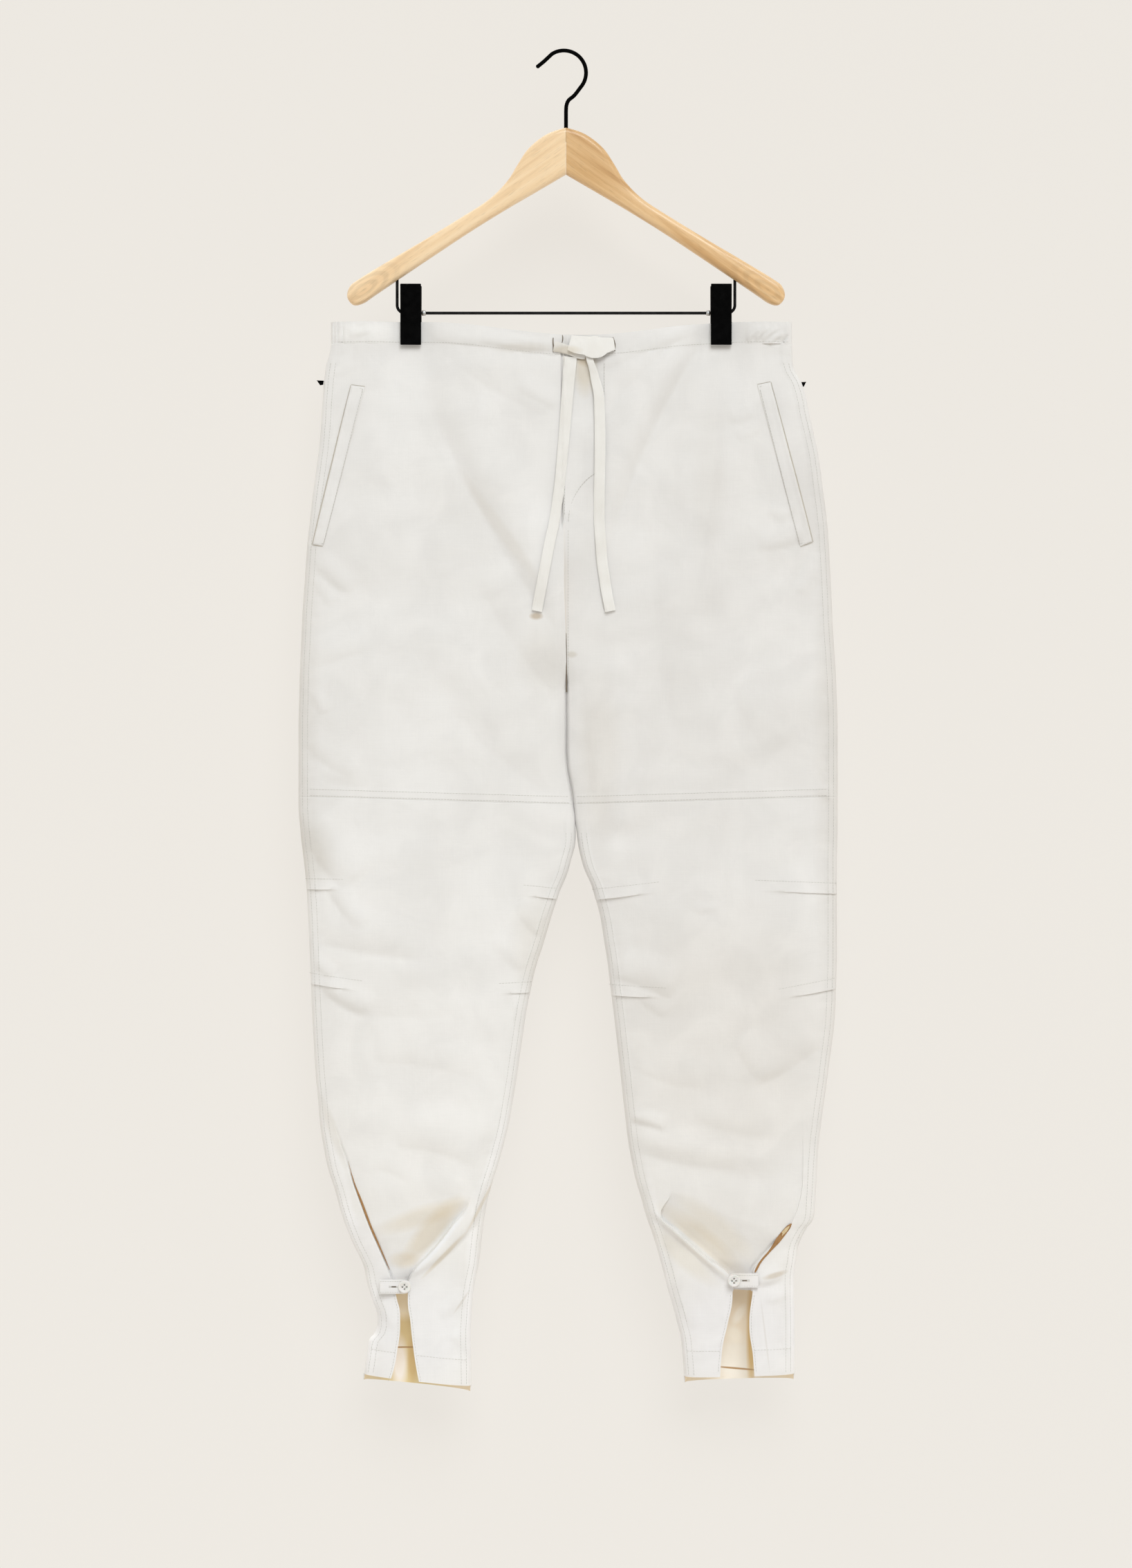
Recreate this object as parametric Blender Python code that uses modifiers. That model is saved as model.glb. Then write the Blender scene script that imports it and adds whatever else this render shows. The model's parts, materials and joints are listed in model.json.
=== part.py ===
"""White cotton snow overtrousers, hanging by two clips from a wooden hanger.

Metres, +Z up. The origin is the inner top of the hanger's hook, where a rail carries it.
The front faces -Y. Left and right are as seen from the front.
The cloth is a wall all round: each leg is a tube pressed nearly flat, whose front and back
panels meet at the side seam and the inseam. Above the crotch the two legs' tubes are one.
"""

import bpy
import bmesh
import itertools
import math
from collections import namedtuple
import numpy as np
from mathutils import Vector
from mathutils.bvhtree import BVHTree

# Cloth
WALL = 0.0012
CASING_WALL = 0.0024
CASING_RAISE = 0.0006
SEAM_GAP = 0.0003
EDGE_RADIUS = 0.003
LEAST_DEPTH = 0.0019
FLATNESS = 3.0
FRONT = -1
BACK = 1

# Waist, where two clips hold the casing and it sags between them
WAIST_TOP = -0.2735
WAIST_SEAM = -0.2955
WAIST_SAG = 0.014
SAG_CENTRE = 0.015
SAG_HALF_WIDTH = 0.165
SAG_ENDS = -0.40
CLIP_X = 0.157
PINCH_WIDTH = 0.022
PINCH_ENDS = -0.37
GATHER_PITCH = 0.023
GATHER_HEIGHT = 0.0009
GATHER_DRIFT = 1.3
GATHER_DRIFT_RATE = 40.0
GATHER_ENDS = 0.014
GATHER_STARTS = 0.030
CASING_STEPS = 40

# Heights where the body parts into two legs
TURN_STARTS = -0.530
CROTCH = -0.6475
INSEAM_TURNS = 0.020

# Ankles: the front falls behind its two tension folds within FOLD_RUN of each
SCOOP_TOP = -1.150
SCOOP_BOTTOM = -1.235
SCOOP_DEPTH = 0.0125
SCOOP_OUTER_SHARE = 0.65
PLEAT_TOP = -1.070
PLEAT_STEP = 0.0018
PLEAT_SHARE = 0.75
FALL_STARTS = 0.0006
FALL_ENDS = 0.0022
FOLD_RUN = 0.0025
SLIT_TOP = -1.250

# The folds fade out towards the seams and under the casing
RELIEF_WIDTH = 0.020
RELIEF_TOP = -0.330

# Drawstring tape
TAPE_WIDTH = 0.011
TAPE_THICKNESS = 0.0010
KNOT_THICKNESS = 0.0022

# Hanger
HANGER_THICKNESS = 0.014
HANGER_ROUNDING = 0.004
HOOK_WIRE = 0.0020
BAR_WIRE = 0.0015
BAR_X = 0.171
BAR_Z = -0.264
BAR_BEND = 0.008
BAR_ENDS = -0.220
BORE_CLEARANCE = 0.0004
STEM_BORE_Z = -0.078
STEM_BORE_DEPTH = 0.030
BAR_BORE_Z = -0.234
BAR_BORE_DEPTH = 0.032
CLIP_WIDTH = 0.021
CLIP_ROUNDING = 0.0004
CLIP_TOP = -0.2355
CLIP_BOTTOM = -0.2968

# Each section: height, the outer and inner edge of the leg, and how far the front and back
# panels stand from the plane of the seams.
Section = namedtuple("Section", "z outer inner front back")
LEFT_SECTIONS = (
    Section(-0.2700, -0.2370, -0.0020, 0.0120, 0.0120),
    Section(-0.2955, -0.2380, -0.0020, 0.0120, 0.0125),
    Section(-0.3210, -0.2436, -0.0020, 0.0150, 0.0165),
    Section(-0.3920, -0.2492, -0.0020, 0.0190, 0.0225),
    Section(-0.4634, -0.2583, -0.0020, 0.0220, 0.0265),
    Section(-0.5348, -0.2646, -0.0020, 0.0230, 0.0280),
    Section(-0.5940, -0.2680, -0.0002, 0.0230, 0.0270),
    Section(-0.6475, -0.2700, 0.0000, 0.0225, 0.0250),
    Section(-0.7010, -0.2709, 0.0000, 0.0215, 0.0230),
    Section(-0.7530, -0.2709, 0.0058, 0.0205, 0.0215),
    Section(-0.7875, -0.2690, 0.0094, 0.0205, 0.0205),
    Section(-0.8204, -0.2653, 0.0045, 0.0210, 0.0200),
    Section(-0.8519, -0.2625, -0.0070, 0.0220, 0.0195),
    Section(-0.9016, -0.2600, -0.0224, 0.0235, 0.0190),
    Section(-0.9436, -0.2583, -0.0345, 0.0230, 0.0190),
    Section(-1.0030, -0.2555, -0.0448, 0.0215, 0.0190),
    Section(-1.0584, -0.2513, -0.0532, 0.0215, 0.0180),
    Section(-1.1137, -0.2445, -0.0651, 0.0225, 0.0170),
    Section(-1.1536, -0.2365, -0.0770, 0.0220, 0.0160),
    Section(-1.1850, -0.2290, -0.0830, 0.0200, 0.0155),
    Section(-1.2040, -0.2149, -0.0855, 0.0185, 0.0150),
    Section(-1.2264, -0.2037, -0.0880, 0.0175, 0.0145),
    Section(-1.2425, -0.2023, -0.0915, 0.0170, 0.0145),
    Section(-1.2600, -0.1974, -0.0942, 0.0170, 0.0145),
    Section(-1.2845, -0.1911, -0.0960, 0.0175, 0.0150),
    Section(-1.2960, -0.1930, -0.0966, 0.0180, 0.0155),
    Section(-1.3040, -0.1995, -0.0966, 0.0180, 0.0160),
    Section(-1.3160, -0.2015, -0.0962, 0.0180, 0.0165),
    Section(-1.3540, -0.2070, -0.0958, 0.0180, 0.0170),
)
RIGHT_SECTIONS = (
    Section(-0.2700, 0.2275, -0.0017, 0.0120, 0.0120),
    Section(-0.2955, 0.2289, -0.0017, 0.0120, 0.0125),
    Section(-0.3164, 0.2300, -0.0017, 0.0145, 0.0160),
    Section(-0.3367, 0.2395, -0.0017, 0.0160, 0.0180),
    Section(-0.3661, 0.2464, -0.0017, 0.0178, 0.0208),
    Section(-0.4382, 0.2597, -0.0017, 0.0212, 0.0252),
    Section(-0.5215, 0.2674, -0.0017, 0.0230, 0.0280),
    Section(-0.5824, 0.2702, -0.0003, 0.0230, 0.0275),
    Section(-0.6475, 0.2740, 0.0010, 0.0225, 0.0250),
    Section(-0.7010, 0.2751, 0.0010, 0.0215, 0.0230),
    Section(-0.7530, 0.2751, 0.0070, 0.0205, 0.0215),
    Section(-0.7850, 0.2751, 0.0105, 0.0205, 0.0205),
    Section(-0.8197, 0.2744, 0.0161, 0.0210, 0.0200),
    Section(-0.8463, 0.2744, 0.0266, 0.0220, 0.0195),
    Section(-0.8995, 0.2744, 0.0385, 0.0235, 0.0190),
    Section(-0.9457, 0.2735, 0.0448, 0.0230, 0.0190),
    Section(-1.0290, 0.2660, 0.0546, 0.0215, 0.0185),
    Section(-1.0800, 0.2590, 0.0602, 0.0220, 0.0175),
    Section(-1.1228, 0.2548, 0.0665, 0.0225, 0.0170),
    Section(-1.1634, 0.2525, 0.0770, 0.0215, 0.0160),
    Section(-1.1795, 0.2510, 0.0815, 0.0205, 0.0155),
    Section(-1.1928, 0.2425, 0.0862, 0.0195, 0.0155),
    Section(-1.2200, 0.2338, 0.0945, 0.0175, 0.0150),
    Section(-1.2523, 0.2310, 0.1030, 0.0170, 0.0145),
    Section(-1.2845, 0.2317, 0.1120, 0.0175, 0.0150),
    Section(-1.3083, 0.2317, 0.1169, 0.0180, 0.0160),
    Section(-1.3540, 0.2317, 0.1200, 0.0180, 0.0170),
)

# Two lines that run down each front below the knee. They close in on the ankle tab as the
# edges of its two tension folds, and go on below it as the edges of the slit.
FoldLine = namedtuple("FoldLine", "z outer inner")
LEFT_FOLD_LINES = (
    FoldLine(-0.750, -0.2360, -0.0300),
    FoldLine(-0.900, -0.2320, -0.0550),
    FoldLine(-1.050, -0.2350, -0.0800),
    FoldLine(-1.100, -0.2285, -0.0880),
    FoldLine(-1.141, -0.2163, -0.0940),
    FoldLine(-1.162, -0.2085, -0.1008),
    FoldLine(-1.185, -0.2000, -0.1210),
    FoldLine(-1.214, -0.1880, -0.1463),
    FoldLine(-1.242, -0.1764, -0.1575),
    FoldLine(-1.260, -0.1708, -0.1596),
    FoldLine(-1.281, -0.1673, -0.1572),
    FoldLine(-1.312, -0.1701, -0.1537),
    FoldLine(-1.350, -0.1790, -0.1472),
)
RIGHT_FOLD_LINES = (
    FoldLine(-0.750, 0.2410, 0.0400),
    FoldLine(-0.900, 0.2400, 0.0700),
    FoldLine(-1.050, 0.2400, 0.0880),
    FoldLine(-1.100, 0.2400, 0.0960),
    FoldLine(-1.140, 0.2395, 0.1000),
    FoldLine(-1.154, 0.2380, 0.1043),
    FoldLine(-1.186, 0.2275, 0.1290),
    FoldLine(-1.212, 0.2060, 0.1500),
    FoldLine(-1.234, 0.1900, 0.1666),
    FoldLine(-1.252, 0.1883, 0.1680),
    FoldLine(-1.285, 0.1848, 0.1631),
    FoldLine(-1.316, 0.1883, 0.1570),
    FoldLine(-1.350, 0.1908, 0.1550),
)

# The knee tucks: short pleats whose lower edge runs from a seam towards the middle
Tuck = namedtuple("Tuck", "x0 z0 x1 z1 height")
LEFT_TUCKS = (
    Tuck(-0.2640, -0.8463, -0.2240, -0.8470, 0.0016),
    Tuck(-0.0100, -0.8561, -0.0430, -0.8526, 0.0014),
    Tuck(-0.2600, -0.9415, -0.2050, -0.9492, 0.0016),
    Tuck(-0.0340, -0.9506, -0.0680, -0.9520, 0.0014),
)
RIGHT_TUCKS = (
    Tuck(0.0260, -0.8575, 0.0940, -0.8495, 0.0020),
    Tuck(0.2740, -0.8510, 0.1900, -0.8477, 0.0014),
    Tuck(0.0430, -0.9534, 0.1010, -0.9562, 0.0018),
    Tuck(0.2720, -0.9470, 0.2140, -0.9576, 0.0016),
)
TUCK_REACH = 0.009

# The large folds: a soft ridge, or a trough where the height is negative, along each line
Fold = namedtuple("Fold", "x0 z0 x1 z1 width height")
LEFT_FRONT_FOLDS = (
    Fold(-0.140, -0.350, -0.030, -0.560, 0.013, -0.0030),
    Fold(-0.110, -0.350, -0.015, -0.540, 0.015, 0.0022),
    Fold(-0.165, -0.320, -0.205, -0.400, 0.014, -0.0015),
    Fold(-0.255, -0.515, -0.225, -0.548, 0.010, -0.0018),
    Fold(-0.225, -0.595, -0.165, -0.620, 0.018, -0.0018),
    Fold(-0.150, -0.560, -0.040, -0.720, 0.020, 0.0020),
    Fold(-0.262, -0.700, -0.222, -0.740, 0.013, -0.0022),
    Fold(-0.115, -0.650, -0.030, -0.745, 0.016, -0.0020),
    Fold(-0.255, -0.822, -0.228, -0.842, 0.012, -0.0022),
    Fold(-0.250, -0.896, -0.165, -0.911, 0.012, -0.0028),
    Fold(-0.245, -0.915, -0.150, -0.930, 0.012, 0.0022),
    Fold(-0.165, -0.946, -0.080, -0.950, 0.012, -0.0016),
    Fold(-0.245, -0.955, -0.205, -0.972, 0.011, -0.0026),
    Fold(-0.185, -1.000, -0.120, -0.985, 0.020, 0.0020),
    Fold(-0.190, -1.030, -0.100, -1.045, 0.016, -0.0018),
    Fold(-0.205, -1.085, -0.105, -1.075, 0.016, 0.0025),
    Fold(-0.180, -1.118, -0.105, -1.128, 0.014, -0.0018),
    Fold(-0.205, -1.150, -0.110, -1.140, 0.015, 0.0030),
    Fold(-0.150, -1.236, -0.070, -1.138, 0.009, 0.0035),
    Fold(-0.140, -1.248, -0.093, -1.186, 0.008, -0.0025),
    Fold(-0.192, -1.262, -0.180, -1.310, 0.008, 0.0016),
    Fold(-0.130, -1.262, -0.112, -1.320, 0.010, -0.0016),
)
RIGHT_FRONT_FOLDS = (
    Fold(0.120, -0.325, 0.040, -0.470, 0.013, -0.0024),
    Fold(0.105, -0.310, 0.022, -0.440, 0.014, 0.0020),
    Fold(0.172, -0.320, 0.160, -0.400, 0.014, -0.0018),
    Fold(0.222, -0.312, 0.198, -0.300, 0.010, -0.0016),
    Fold(0.225, -0.520, 0.190, -0.600, 0.018, -0.0016),
    Fold(0.034, -0.600, 0.058, -0.760, 0.014, -0.0034),
    Fold(0.016, -0.640, 0.036, -0.780, 0.011, 0.0022),
    Fold(0.075, -0.560, 0.110, -0.740, 0.022, 0.0020),
    Fold(0.205, -0.690, 0.160, -0.760, 0.020, -0.0018),
    Fold(0.058, -0.790, 0.072, -0.840, 0.013, -0.0024),
    Fold(0.060, -0.866, 0.076, -0.935, 0.010, -0.0024),
    Fold(0.110, -0.875, 0.160, -0.890, 0.018, 0.0018),
    Fold(0.062, -0.925, 0.100, -0.962, 0.011, -0.0030),
    Fold(0.075, -1.010, 0.150, -1.058, 0.012, -0.0026),
    Fold(0.150, -1.025, 0.195, -1.055, 0.014, 0.0022),
    Fold(0.252, -1.010, 0.203, -1.052, 0.013, -0.0024),
    Fold(0.063, -1.080, 0.105, -1.092, 0.010, -0.0028),
    Fold(0.080, -1.114, 0.200, -1.140, 0.011, -0.0028),
    Fold(0.085, -1.098, 0.210, -1.122, 0.013, 0.0026),
    Fold(0.120, -1.150, 0.225, -1.162, 0.014, 0.0026),
    Fold(0.094, -1.170, 0.168, -1.238, 0.008, 0.0035),
    Fold(0.222, -1.218, 0.196, -1.244, 0.008, 0.0032),
    Fold(0.140, -1.262, 0.128, -1.320, 0.009, -0.0016),
    Fold(0.206, -1.262, 0.212, -1.330, 0.009, 0.0016),
)
LEFT_BACK_FOLDS = (
    Fold(-0.150, -0.340, -0.040, -0.520, 0.020, -0.0026),
    Fold(-0.110, -0.480, -0.012, -0.640, 0.020, 0.0024),
    Fold(-0.240, -0.690, -0.150, -0.760, 0.020, -0.0022),
    Fold(-0.235, -0.880, -0.120, -0.900, 0.018, -0.0026),
    Fold(-0.070, -0.930, -0.190, -0.965, 0.018, -0.0024),
    Fold(-0.220, -1.060, -0.110, -1.085, 0.018, 0.0022),
    Fold(-0.190, -1.150, -0.130, -1.240, 0.016, -0.0022),
)
RIGHT_BACK_FOLDS = (
    Fold(0.150, -0.340, 0.045, -0.530, 0.020, -0.0024),
    Fold(0.120, -0.500, 0.014, -0.645, 0.020, 0.0022),
    Fold(0.245, -0.700, 0.160, -0.780, 0.020, -0.0022),
    Fold(0.235, -0.870, 0.110, -0.895, 0.018, -0.0026),
    Fold(0.080, -0.940, 0.205, -0.955, 0.018, -0.0022),
    Fold(0.110, -1.050, 0.225, -1.080, 0.018, 0.0022),
    Fold(0.215, -1.150, 0.160, -1.240, 0.016, -0.0022),
)

# Rows of points down a panel: heights at the outer and the inner edge, and the number of
# steps to the next row. A tuck has a row on its edge and one just under it.
Row = namedtuple("Row", "outer inner steps")
TUCK_UNDER = 0.0016
UPPER_ROWS = (
    Row(WAIST_SEAM, WAIST_SEAM, 4),
    Row(-0.3700, -0.3700, 9),
    Row(-0.6100, -0.6100, 2),
    Row(CROTCH, CROTCH, 4),
    Row(-0.7535, -0.7615, 0),
)
LEFT_LOWER_ROWS = (
    Row(-0.7535 - SEAM_GAP, -0.7615 - SEAM_GAP, 3),
    Row(-0.8255, -0.8350, 1),
    Row(-0.8462, -0.8558, 1),
    Row(-0.8462 - TUCK_UNDER, -0.8558 - TUCK_UNDER, 3),
    Row(-0.9260, -0.9350, 1),
    Row(-0.9445, -0.9508, 1),
    Row(-0.9445 - TUCK_UNDER, -0.9508 - TUCK_UNDER, 4),
    Row(-1.0600, -1.0650, 5),
    Row(-1.1500, -1.1500, 6),
    Row(SLIT_TOP, SLIT_TOP, 5),
    Row(-1.3400, -1.3520, 0),
)
RIGHT_LOWER_ROWS = LEFT_LOWER_ROWS[:2] + (
    Row(-0.8500, -0.8565, 1),
    Row(-0.8500 - TUCK_UNDER, -0.8565 - TUCK_UNDER, 3),
    Row(-0.9280, -0.9350, 1),
    Row(-0.9490, -0.9540, 1),
    Row(-0.9490 - TUCK_UNDER, -0.9540 - TUCK_UNDER, 4),
) + LEFT_LOWER_ROWS[7:-1] + (
    Row(-1.3410, -1.3430, 0),
)
LEFT_BACK_ROWS = (
    Row(WAIST_SEAM, WAIST_SEAM, 2),
    Row(-0.3400, -0.3400, 6),
    Row(-0.6100, -0.6100, 2),
    Row(CROTCH, CROTCH, 3),
    Row(-0.7535, -0.7615, 3),
    Row(-0.8460, -0.8550, 5),
    Row(-1.0600, -1.0650, 3),
    Row(-1.1600, -1.1600, 8),
    Row(-1.3400, -1.3520, 0),
)
RIGHT_BACK_ROWS = LEFT_BACK_ROWS[:-1] + (Row(-1.3410, -1.3430, 0),)

# The casing's rows of points: share of its height above the seam, and how far it rolls out
Roll = namedtuple("Roll", "share out")
CASING_ROLL = (Roll(0.0, 0.0), Roll(0.45, 0.0008), Roll(1.0, 0.0))

# Steps across a panel, and the angles at which it turns round a pressed edge
TURN_ANGLES = (0.0, math.radians(45.0), math.radians(90.0))
UPPER_STEPS = 14
BACK_STEPS = 9
STRIP_STEPS = 3
MIDDLE_STEPS = 8

COLLECTION = "snow_overtrousers_on_hanger"


def smoothly(value, start, end):
    """0 before start, 1 past end, and a soft step between; start may be above end."""
    share = np.clip((value - start) / (end - start), 0.0, 1.0)
    return share * share * (3.0 - 2.0 * share)


def smooth_through(heights, values):
    """A function of height through these values, smooth and without overshoot."""
    z = np.array(heights[::-1])
    v = np.array(values[::-1])
    step = np.diff(z)
    slope = np.diff(v) / step
    bend = np.zeros(len(v))
    bend[0] = slope[0]
    bend[-1] = slope[-1]
    for i in range(1, len(v) - 1):
        if slope[i - 1] * slope[i] > 0:
            bend[i] = 2.0 * slope[i - 1] * slope[i] / (slope[i - 1] + slope[i])

    def value_at(height):
        height = np.clip(height, z[0], z[-1])
        i = np.clip(np.searchsorted(z, height) - 1, 0, len(step) - 1)
        t = (height - z[i]) / step[i]
        from_below = v[i] + bend[i] * step[i] * t
        from_above = v[i + 1] - bend[i + 1] * step[i] * (1.0 - t)
        blend = t * t * (3.0 - 2.0 * t)
        return from_below + (from_above - from_below) * blend

    return value_at


def along_line(x, z, line):
    """Each point's share of the way along a line from (x0, z0) to (x1, z1), and its distance from it."""
    run = np.array([line.x1 - line.x0, line.z1 - line.z0])
    length = np.linalg.norm(run)
    run = run / length
    share = ((x - line.x0) * run[0] + (z - line.z0) * run[1]) / length
    aside = (x - line.x0) * run[1] - (z - line.z0) * run[0]
    return share, aside


def fold_height(x, z, fold):
    share, aside = along_line(x, z, fold)
    taper = np.clip(1.0 - np.abs(2.0 * np.clip(share, -0.2, 1.2) - 1.0) ** 4 / 1.4 ** 4, 0.0, 1.0)
    beyond = np.maximum(np.abs(share - 0.5) - 0.5, 0.0) * 8.0
    return fold.height * taper * np.exp(-(aside / fold.width) ** 2 - beyond ** 2)


def tuck_height(x, z, tuck):
    """The cloth above a tuck's edge stands out, and falls back to the panel above it."""
    share = np.clip((x - tuck.x0) / (tuck.x1 - tuck.x0), -0.5, 1.0)
    above = z - (tuck.z0 + (tuck.z1 - tuck.z0) * share)
    fade = 1.0 - smoothly(share, 0.35, 1.0)
    return tuck.height * fade * np.exp(-np.maximum(above, 0.0) / TUCK_REACH) * (above > -0.0008)


def waist_sag(x):
    share = np.clip((x - SAG_CENTRE) / SAG_HALF_WIDTH, -1.0, 1.0)
    return WAIST_SAG * np.cos(share * math.pi / 2.0) ** 2


def open_at_clips(x, z):
    """1 where the cloth swells freely, towards 0 where a clip presses front and back together."""
    pinch = smoothly(z, PINCH_ENDS, CLIP_BOTTOM)
    beyond_clip = np.maximum(np.abs(np.abs(x) - CLIP_X) - CLIP_WIDTH / 2.0, 0.0)
    return 1.0 - pinch * np.exp(-(beyond_clip / PINCH_WIDTH) ** 2)


class Leg:
    """One leg and its half of the body: where its surface lies, for each place seen from the front."""

    def __init__(self, side, sections, fold_lines, tucks, front_folds, back_folds):
        heights = [section.z for section in sections]
        line_heights = [line.z for line in fold_lines]
        self.side = side
        self.outer = smooth_through(heights, [section.outer for section in sections])
        self.inner = smooth_through(heights, [section.inner for section in sections])
        self.full = {
            FRONT: smooth_through(heights, [section.front for section in sections]),
            BACK: smooth_through(heights, [section.back for section in sections]),
        }
        self.outer_line = smooth_through(line_heights, [line.outer for line in fold_lines])
        self.inner_line = smooth_through(line_heights, [line.inner for line in fold_lines])
        self.tucks = {FRONT: tucks, BACK: ()}
        self.folds = {FRONT: front_folds, BACK: back_folds}

    def swell(self, x, z):
        """0 at the leg's edges and 1 where it is fullest; the body is full at its centre seam."""
        across = np.clip((x - self.outer(z)) / (self.inner(z) - self.outer(z)), 0.0, 1.0)
        legs = smoothly(z, TURN_STARTS, CROTCH)
        from_middle = np.minimum(np.abs(across * (1.0 + legs) - 1.0), 1.0)
        return np.sqrt(1.0 - from_middle ** FLATNESS)

    def scoop(self, x, z):
        """How far the front sinks behind the two tension folds that run up from the ankle tab."""
        outer_line = self.outer_line(z)
        inner_line = self.inner_line(z)
        within = (outer_line - inner_line) * self.side
        from_inner = (x - inner_line) * self.side
        inside = smoothly(from_inner, FALL_STARTS, FALL_ENDS)
        inside = inside * smoothly(within - from_inner, FALL_STARTS, FALL_ENDS)
        share = np.clip(from_inner / within, 0.0, 1.0)
        shallower = 1.0 + (SCOOP_OUTER_SHARE - 1.0) * share
        bowl = SCOOP_DEPTH * smoothly(z, SCOOP_TOP, SCOOP_BOTTOM) * shallower
        pleat = PLEAT_STEP * smoothly(z, PLEAT_TOP, SCOOP_TOP) * smoothly(share, PLEAT_SHARE, 1.0)
        return inside * (bowl + pleat)

    def depth(self, x, z, face):
        """The distance of the front or back panel's outer side from the plane of the seams."""
        free = self.full[face](z) - EDGE_RADIUS
        depth = EDGE_RADIUS + free * self.swell(x, z) * open_at_clips(x, z)
        away_from_edge = smoothly(np.abs(x - self.outer(z)), EDGE_RADIUS, RELIEF_WIDTH)
        legs = smoothly(z, TURN_STARTS, CROTCH)
        from_inner = smoothly(np.abs(x - self.inner(z)), EDGE_RADIUS, RELIEF_WIDTH)
        away_from_edge = away_from_edge * (from_inner * legs + (1.0 - legs))
        relief = sum(fold_height(x, z, fold) for fold in self.folds[face])
        below_casing = 1.0 - smoothly(z, RELIEF_TOP, WAIST_SEAM)
        depth = depth + relief * away_from_edge * below_casing
        for tuck in self.tucks[face]:
            depth = depth + tuck_height(x, z, tuck)
        if face == FRONT:
            depth = depth - self.scoop(x, z)
        return np.maximum(depth, LEAST_DEPTH)


LEFT = Leg(-1, LEFT_SECTIONS, LEFT_FOLD_LINES, LEFT_TUCKS, LEFT_FRONT_FOLDS, LEFT_BACK_FOLDS)
RIGHT = Leg(1, RIGHT_SECTIONS, RIGHT_FOLD_LINES, RIGHT_TUCKS, RIGHT_FRONT_FOLDS, RIGHT_BACK_FOLDS)
LEGS = {"left": LEFT, "right": RIGHT}


def material(name, colour, roughness, metallic=0.0):
    made = bpy.data.materials.new(name)
    made.use_nodes = True
    shader = made.node_tree.nodes["Principled BSDF"]
    shader.inputs["Base Color"].default_value = (*colour, 1.0)
    shader.inputs["Roughness"].default_value = roughness
    shader.inputs["Metallic"].default_value = metallic
    return made


def collection(name):
    made = bpy.data.collections.new(name)
    bpy.context.scene.collection.children.link(made)
    return made


def clear_scene():
    for obj in list(bpy.data.objects):
        bpy.data.objects.remove(obj)


def add(name, data, finish, group):
    obj = bpy.data.objects.new(name, data)
    if finish is not None:
        data.materials.append(finish)
    group.objects.link(obj)
    return obj


def wall_from_grid(name, outer, inward, wall, finish, group, keep=None):
    """A closed wall from a grid of outer points, its inner side moved along inward by the wall."""
    rows, columns = outer.shape[:2]
    if keep is None:
        keep = np.ones((rows - 1, columns - 1), bool)
    mesh = bmesh.new()
    vertices = {}

    def vertex(layer, i, j):
        if (layer, i, j) not in vertices:
            point = outer[i, j] + inward[i, j] * wall * layer
            vertices[layer, i, j] = mesh.verts.new(point)
        return vertices[layer, i, j]

    def kept(i, j):
        return 0 <= i < rows - 1 and 0 <= j < columns - 1 and keep[i, j]

    def rim(i0, j0, i1, j1):
        corners = ((0, i0, j0), (0, i1, j1), (1, i1, j1), (1, i0, j0))
        mesh.faces.new([vertex(*corner) for corner in corners])

    for i in range(rows - 1):
        for j in range(columns - 1):
            if not kept(i, j):
                continue
            corners = ((i, j), (i, j + 1), (i + 1, j + 1), (i + 1, j))
            mesh.faces.new([vertex(0, *corner) for corner in corners])
            mesh.faces.new([vertex(1, *corner) for corner in reversed(corners)])
            if not kept(i - 1, j):
                rim(i, j, i, j + 1)
            if not kept(i + 1, j):
                rim(i + 1, j, i + 1, j + 1)
            if not kept(i, j - 1):
                rim(i, j, i + 1, j)
            if not kept(i, j + 1):
                rim(i, j + 1, i + 1, j + 1)
    bmesh.ops.recalc_face_normals(mesh, faces=mesh.faces)
    data = bpy.data.meshes.new(name)
    mesh.to_mesh(data)
    mesh.free()
    data.shade_smooth()
    data.set_sharp_from_angle(angle=math.radians(50.0))
    return add(name, data, finish, group)


def inward_normals(outer, face):
    """Unit vectors from a panel's outer side to its inner side, across the wall."""
    down = np.gradient(outer, axis=0)
    over = np.gradient(outer, axis=1)
    normal = np.cross(over, down)
    normal /= np.linalg.norm(normal, axis=2, keepdims=True)
    outward = np.sign(normal[..., 1:2].sum()) * face
    return -normal * outward


def row_heights(rows):
    """The heights of all rows of points, at the outer and at the inner edge."""
    heights = []
    for row, following in zip(rows, rows[1:]):
        for step in range(row.steps):
            share = step / row.steps
            heights.append((
                row.outer + (following.outer - row.outer) * share,
                row.inner + (following.inner - row.inner) * share,
            ))
    heights.append((rows[-1].outer, rows[-1].inner))
    return heights


def plain_columns(leg, z, steps):
    """Places across a leg between its two edge turns, evenly spread."""
    start = leg.outer(z) - leg.side * EDGE_RADIUS
    end = leg.inner(z) + leg.side * EDGE_RADIUS
    return np.linspace(start, end, steps + 1)


def folded_columns(leg, z):
    """Places across a lower front: a strip, the part between the two fold lines, and a strip."""
    start = leg.outer(z) - leg.side * EDGE_RADIUS
    end = leg.inner(z) + leg.side * EDGE_RADIUS
    outer_line = leg.outer_line(z)
    inner_line = leg.inner_line(z)
    run = FOLD_RUN * leg.side
    outer_strip = np.linspace(start, outer_line, STRIP_STEPS + 1)
    middle = np.linspace(outer_line - run, inner_line + run, MIDDLE_STEPS + 1)
    inner_strip = np.linspace(inner_line, end, STRIP_STEPS + 1)
    return np.concatenate([outer_strip, middle, inner_strip])


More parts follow.
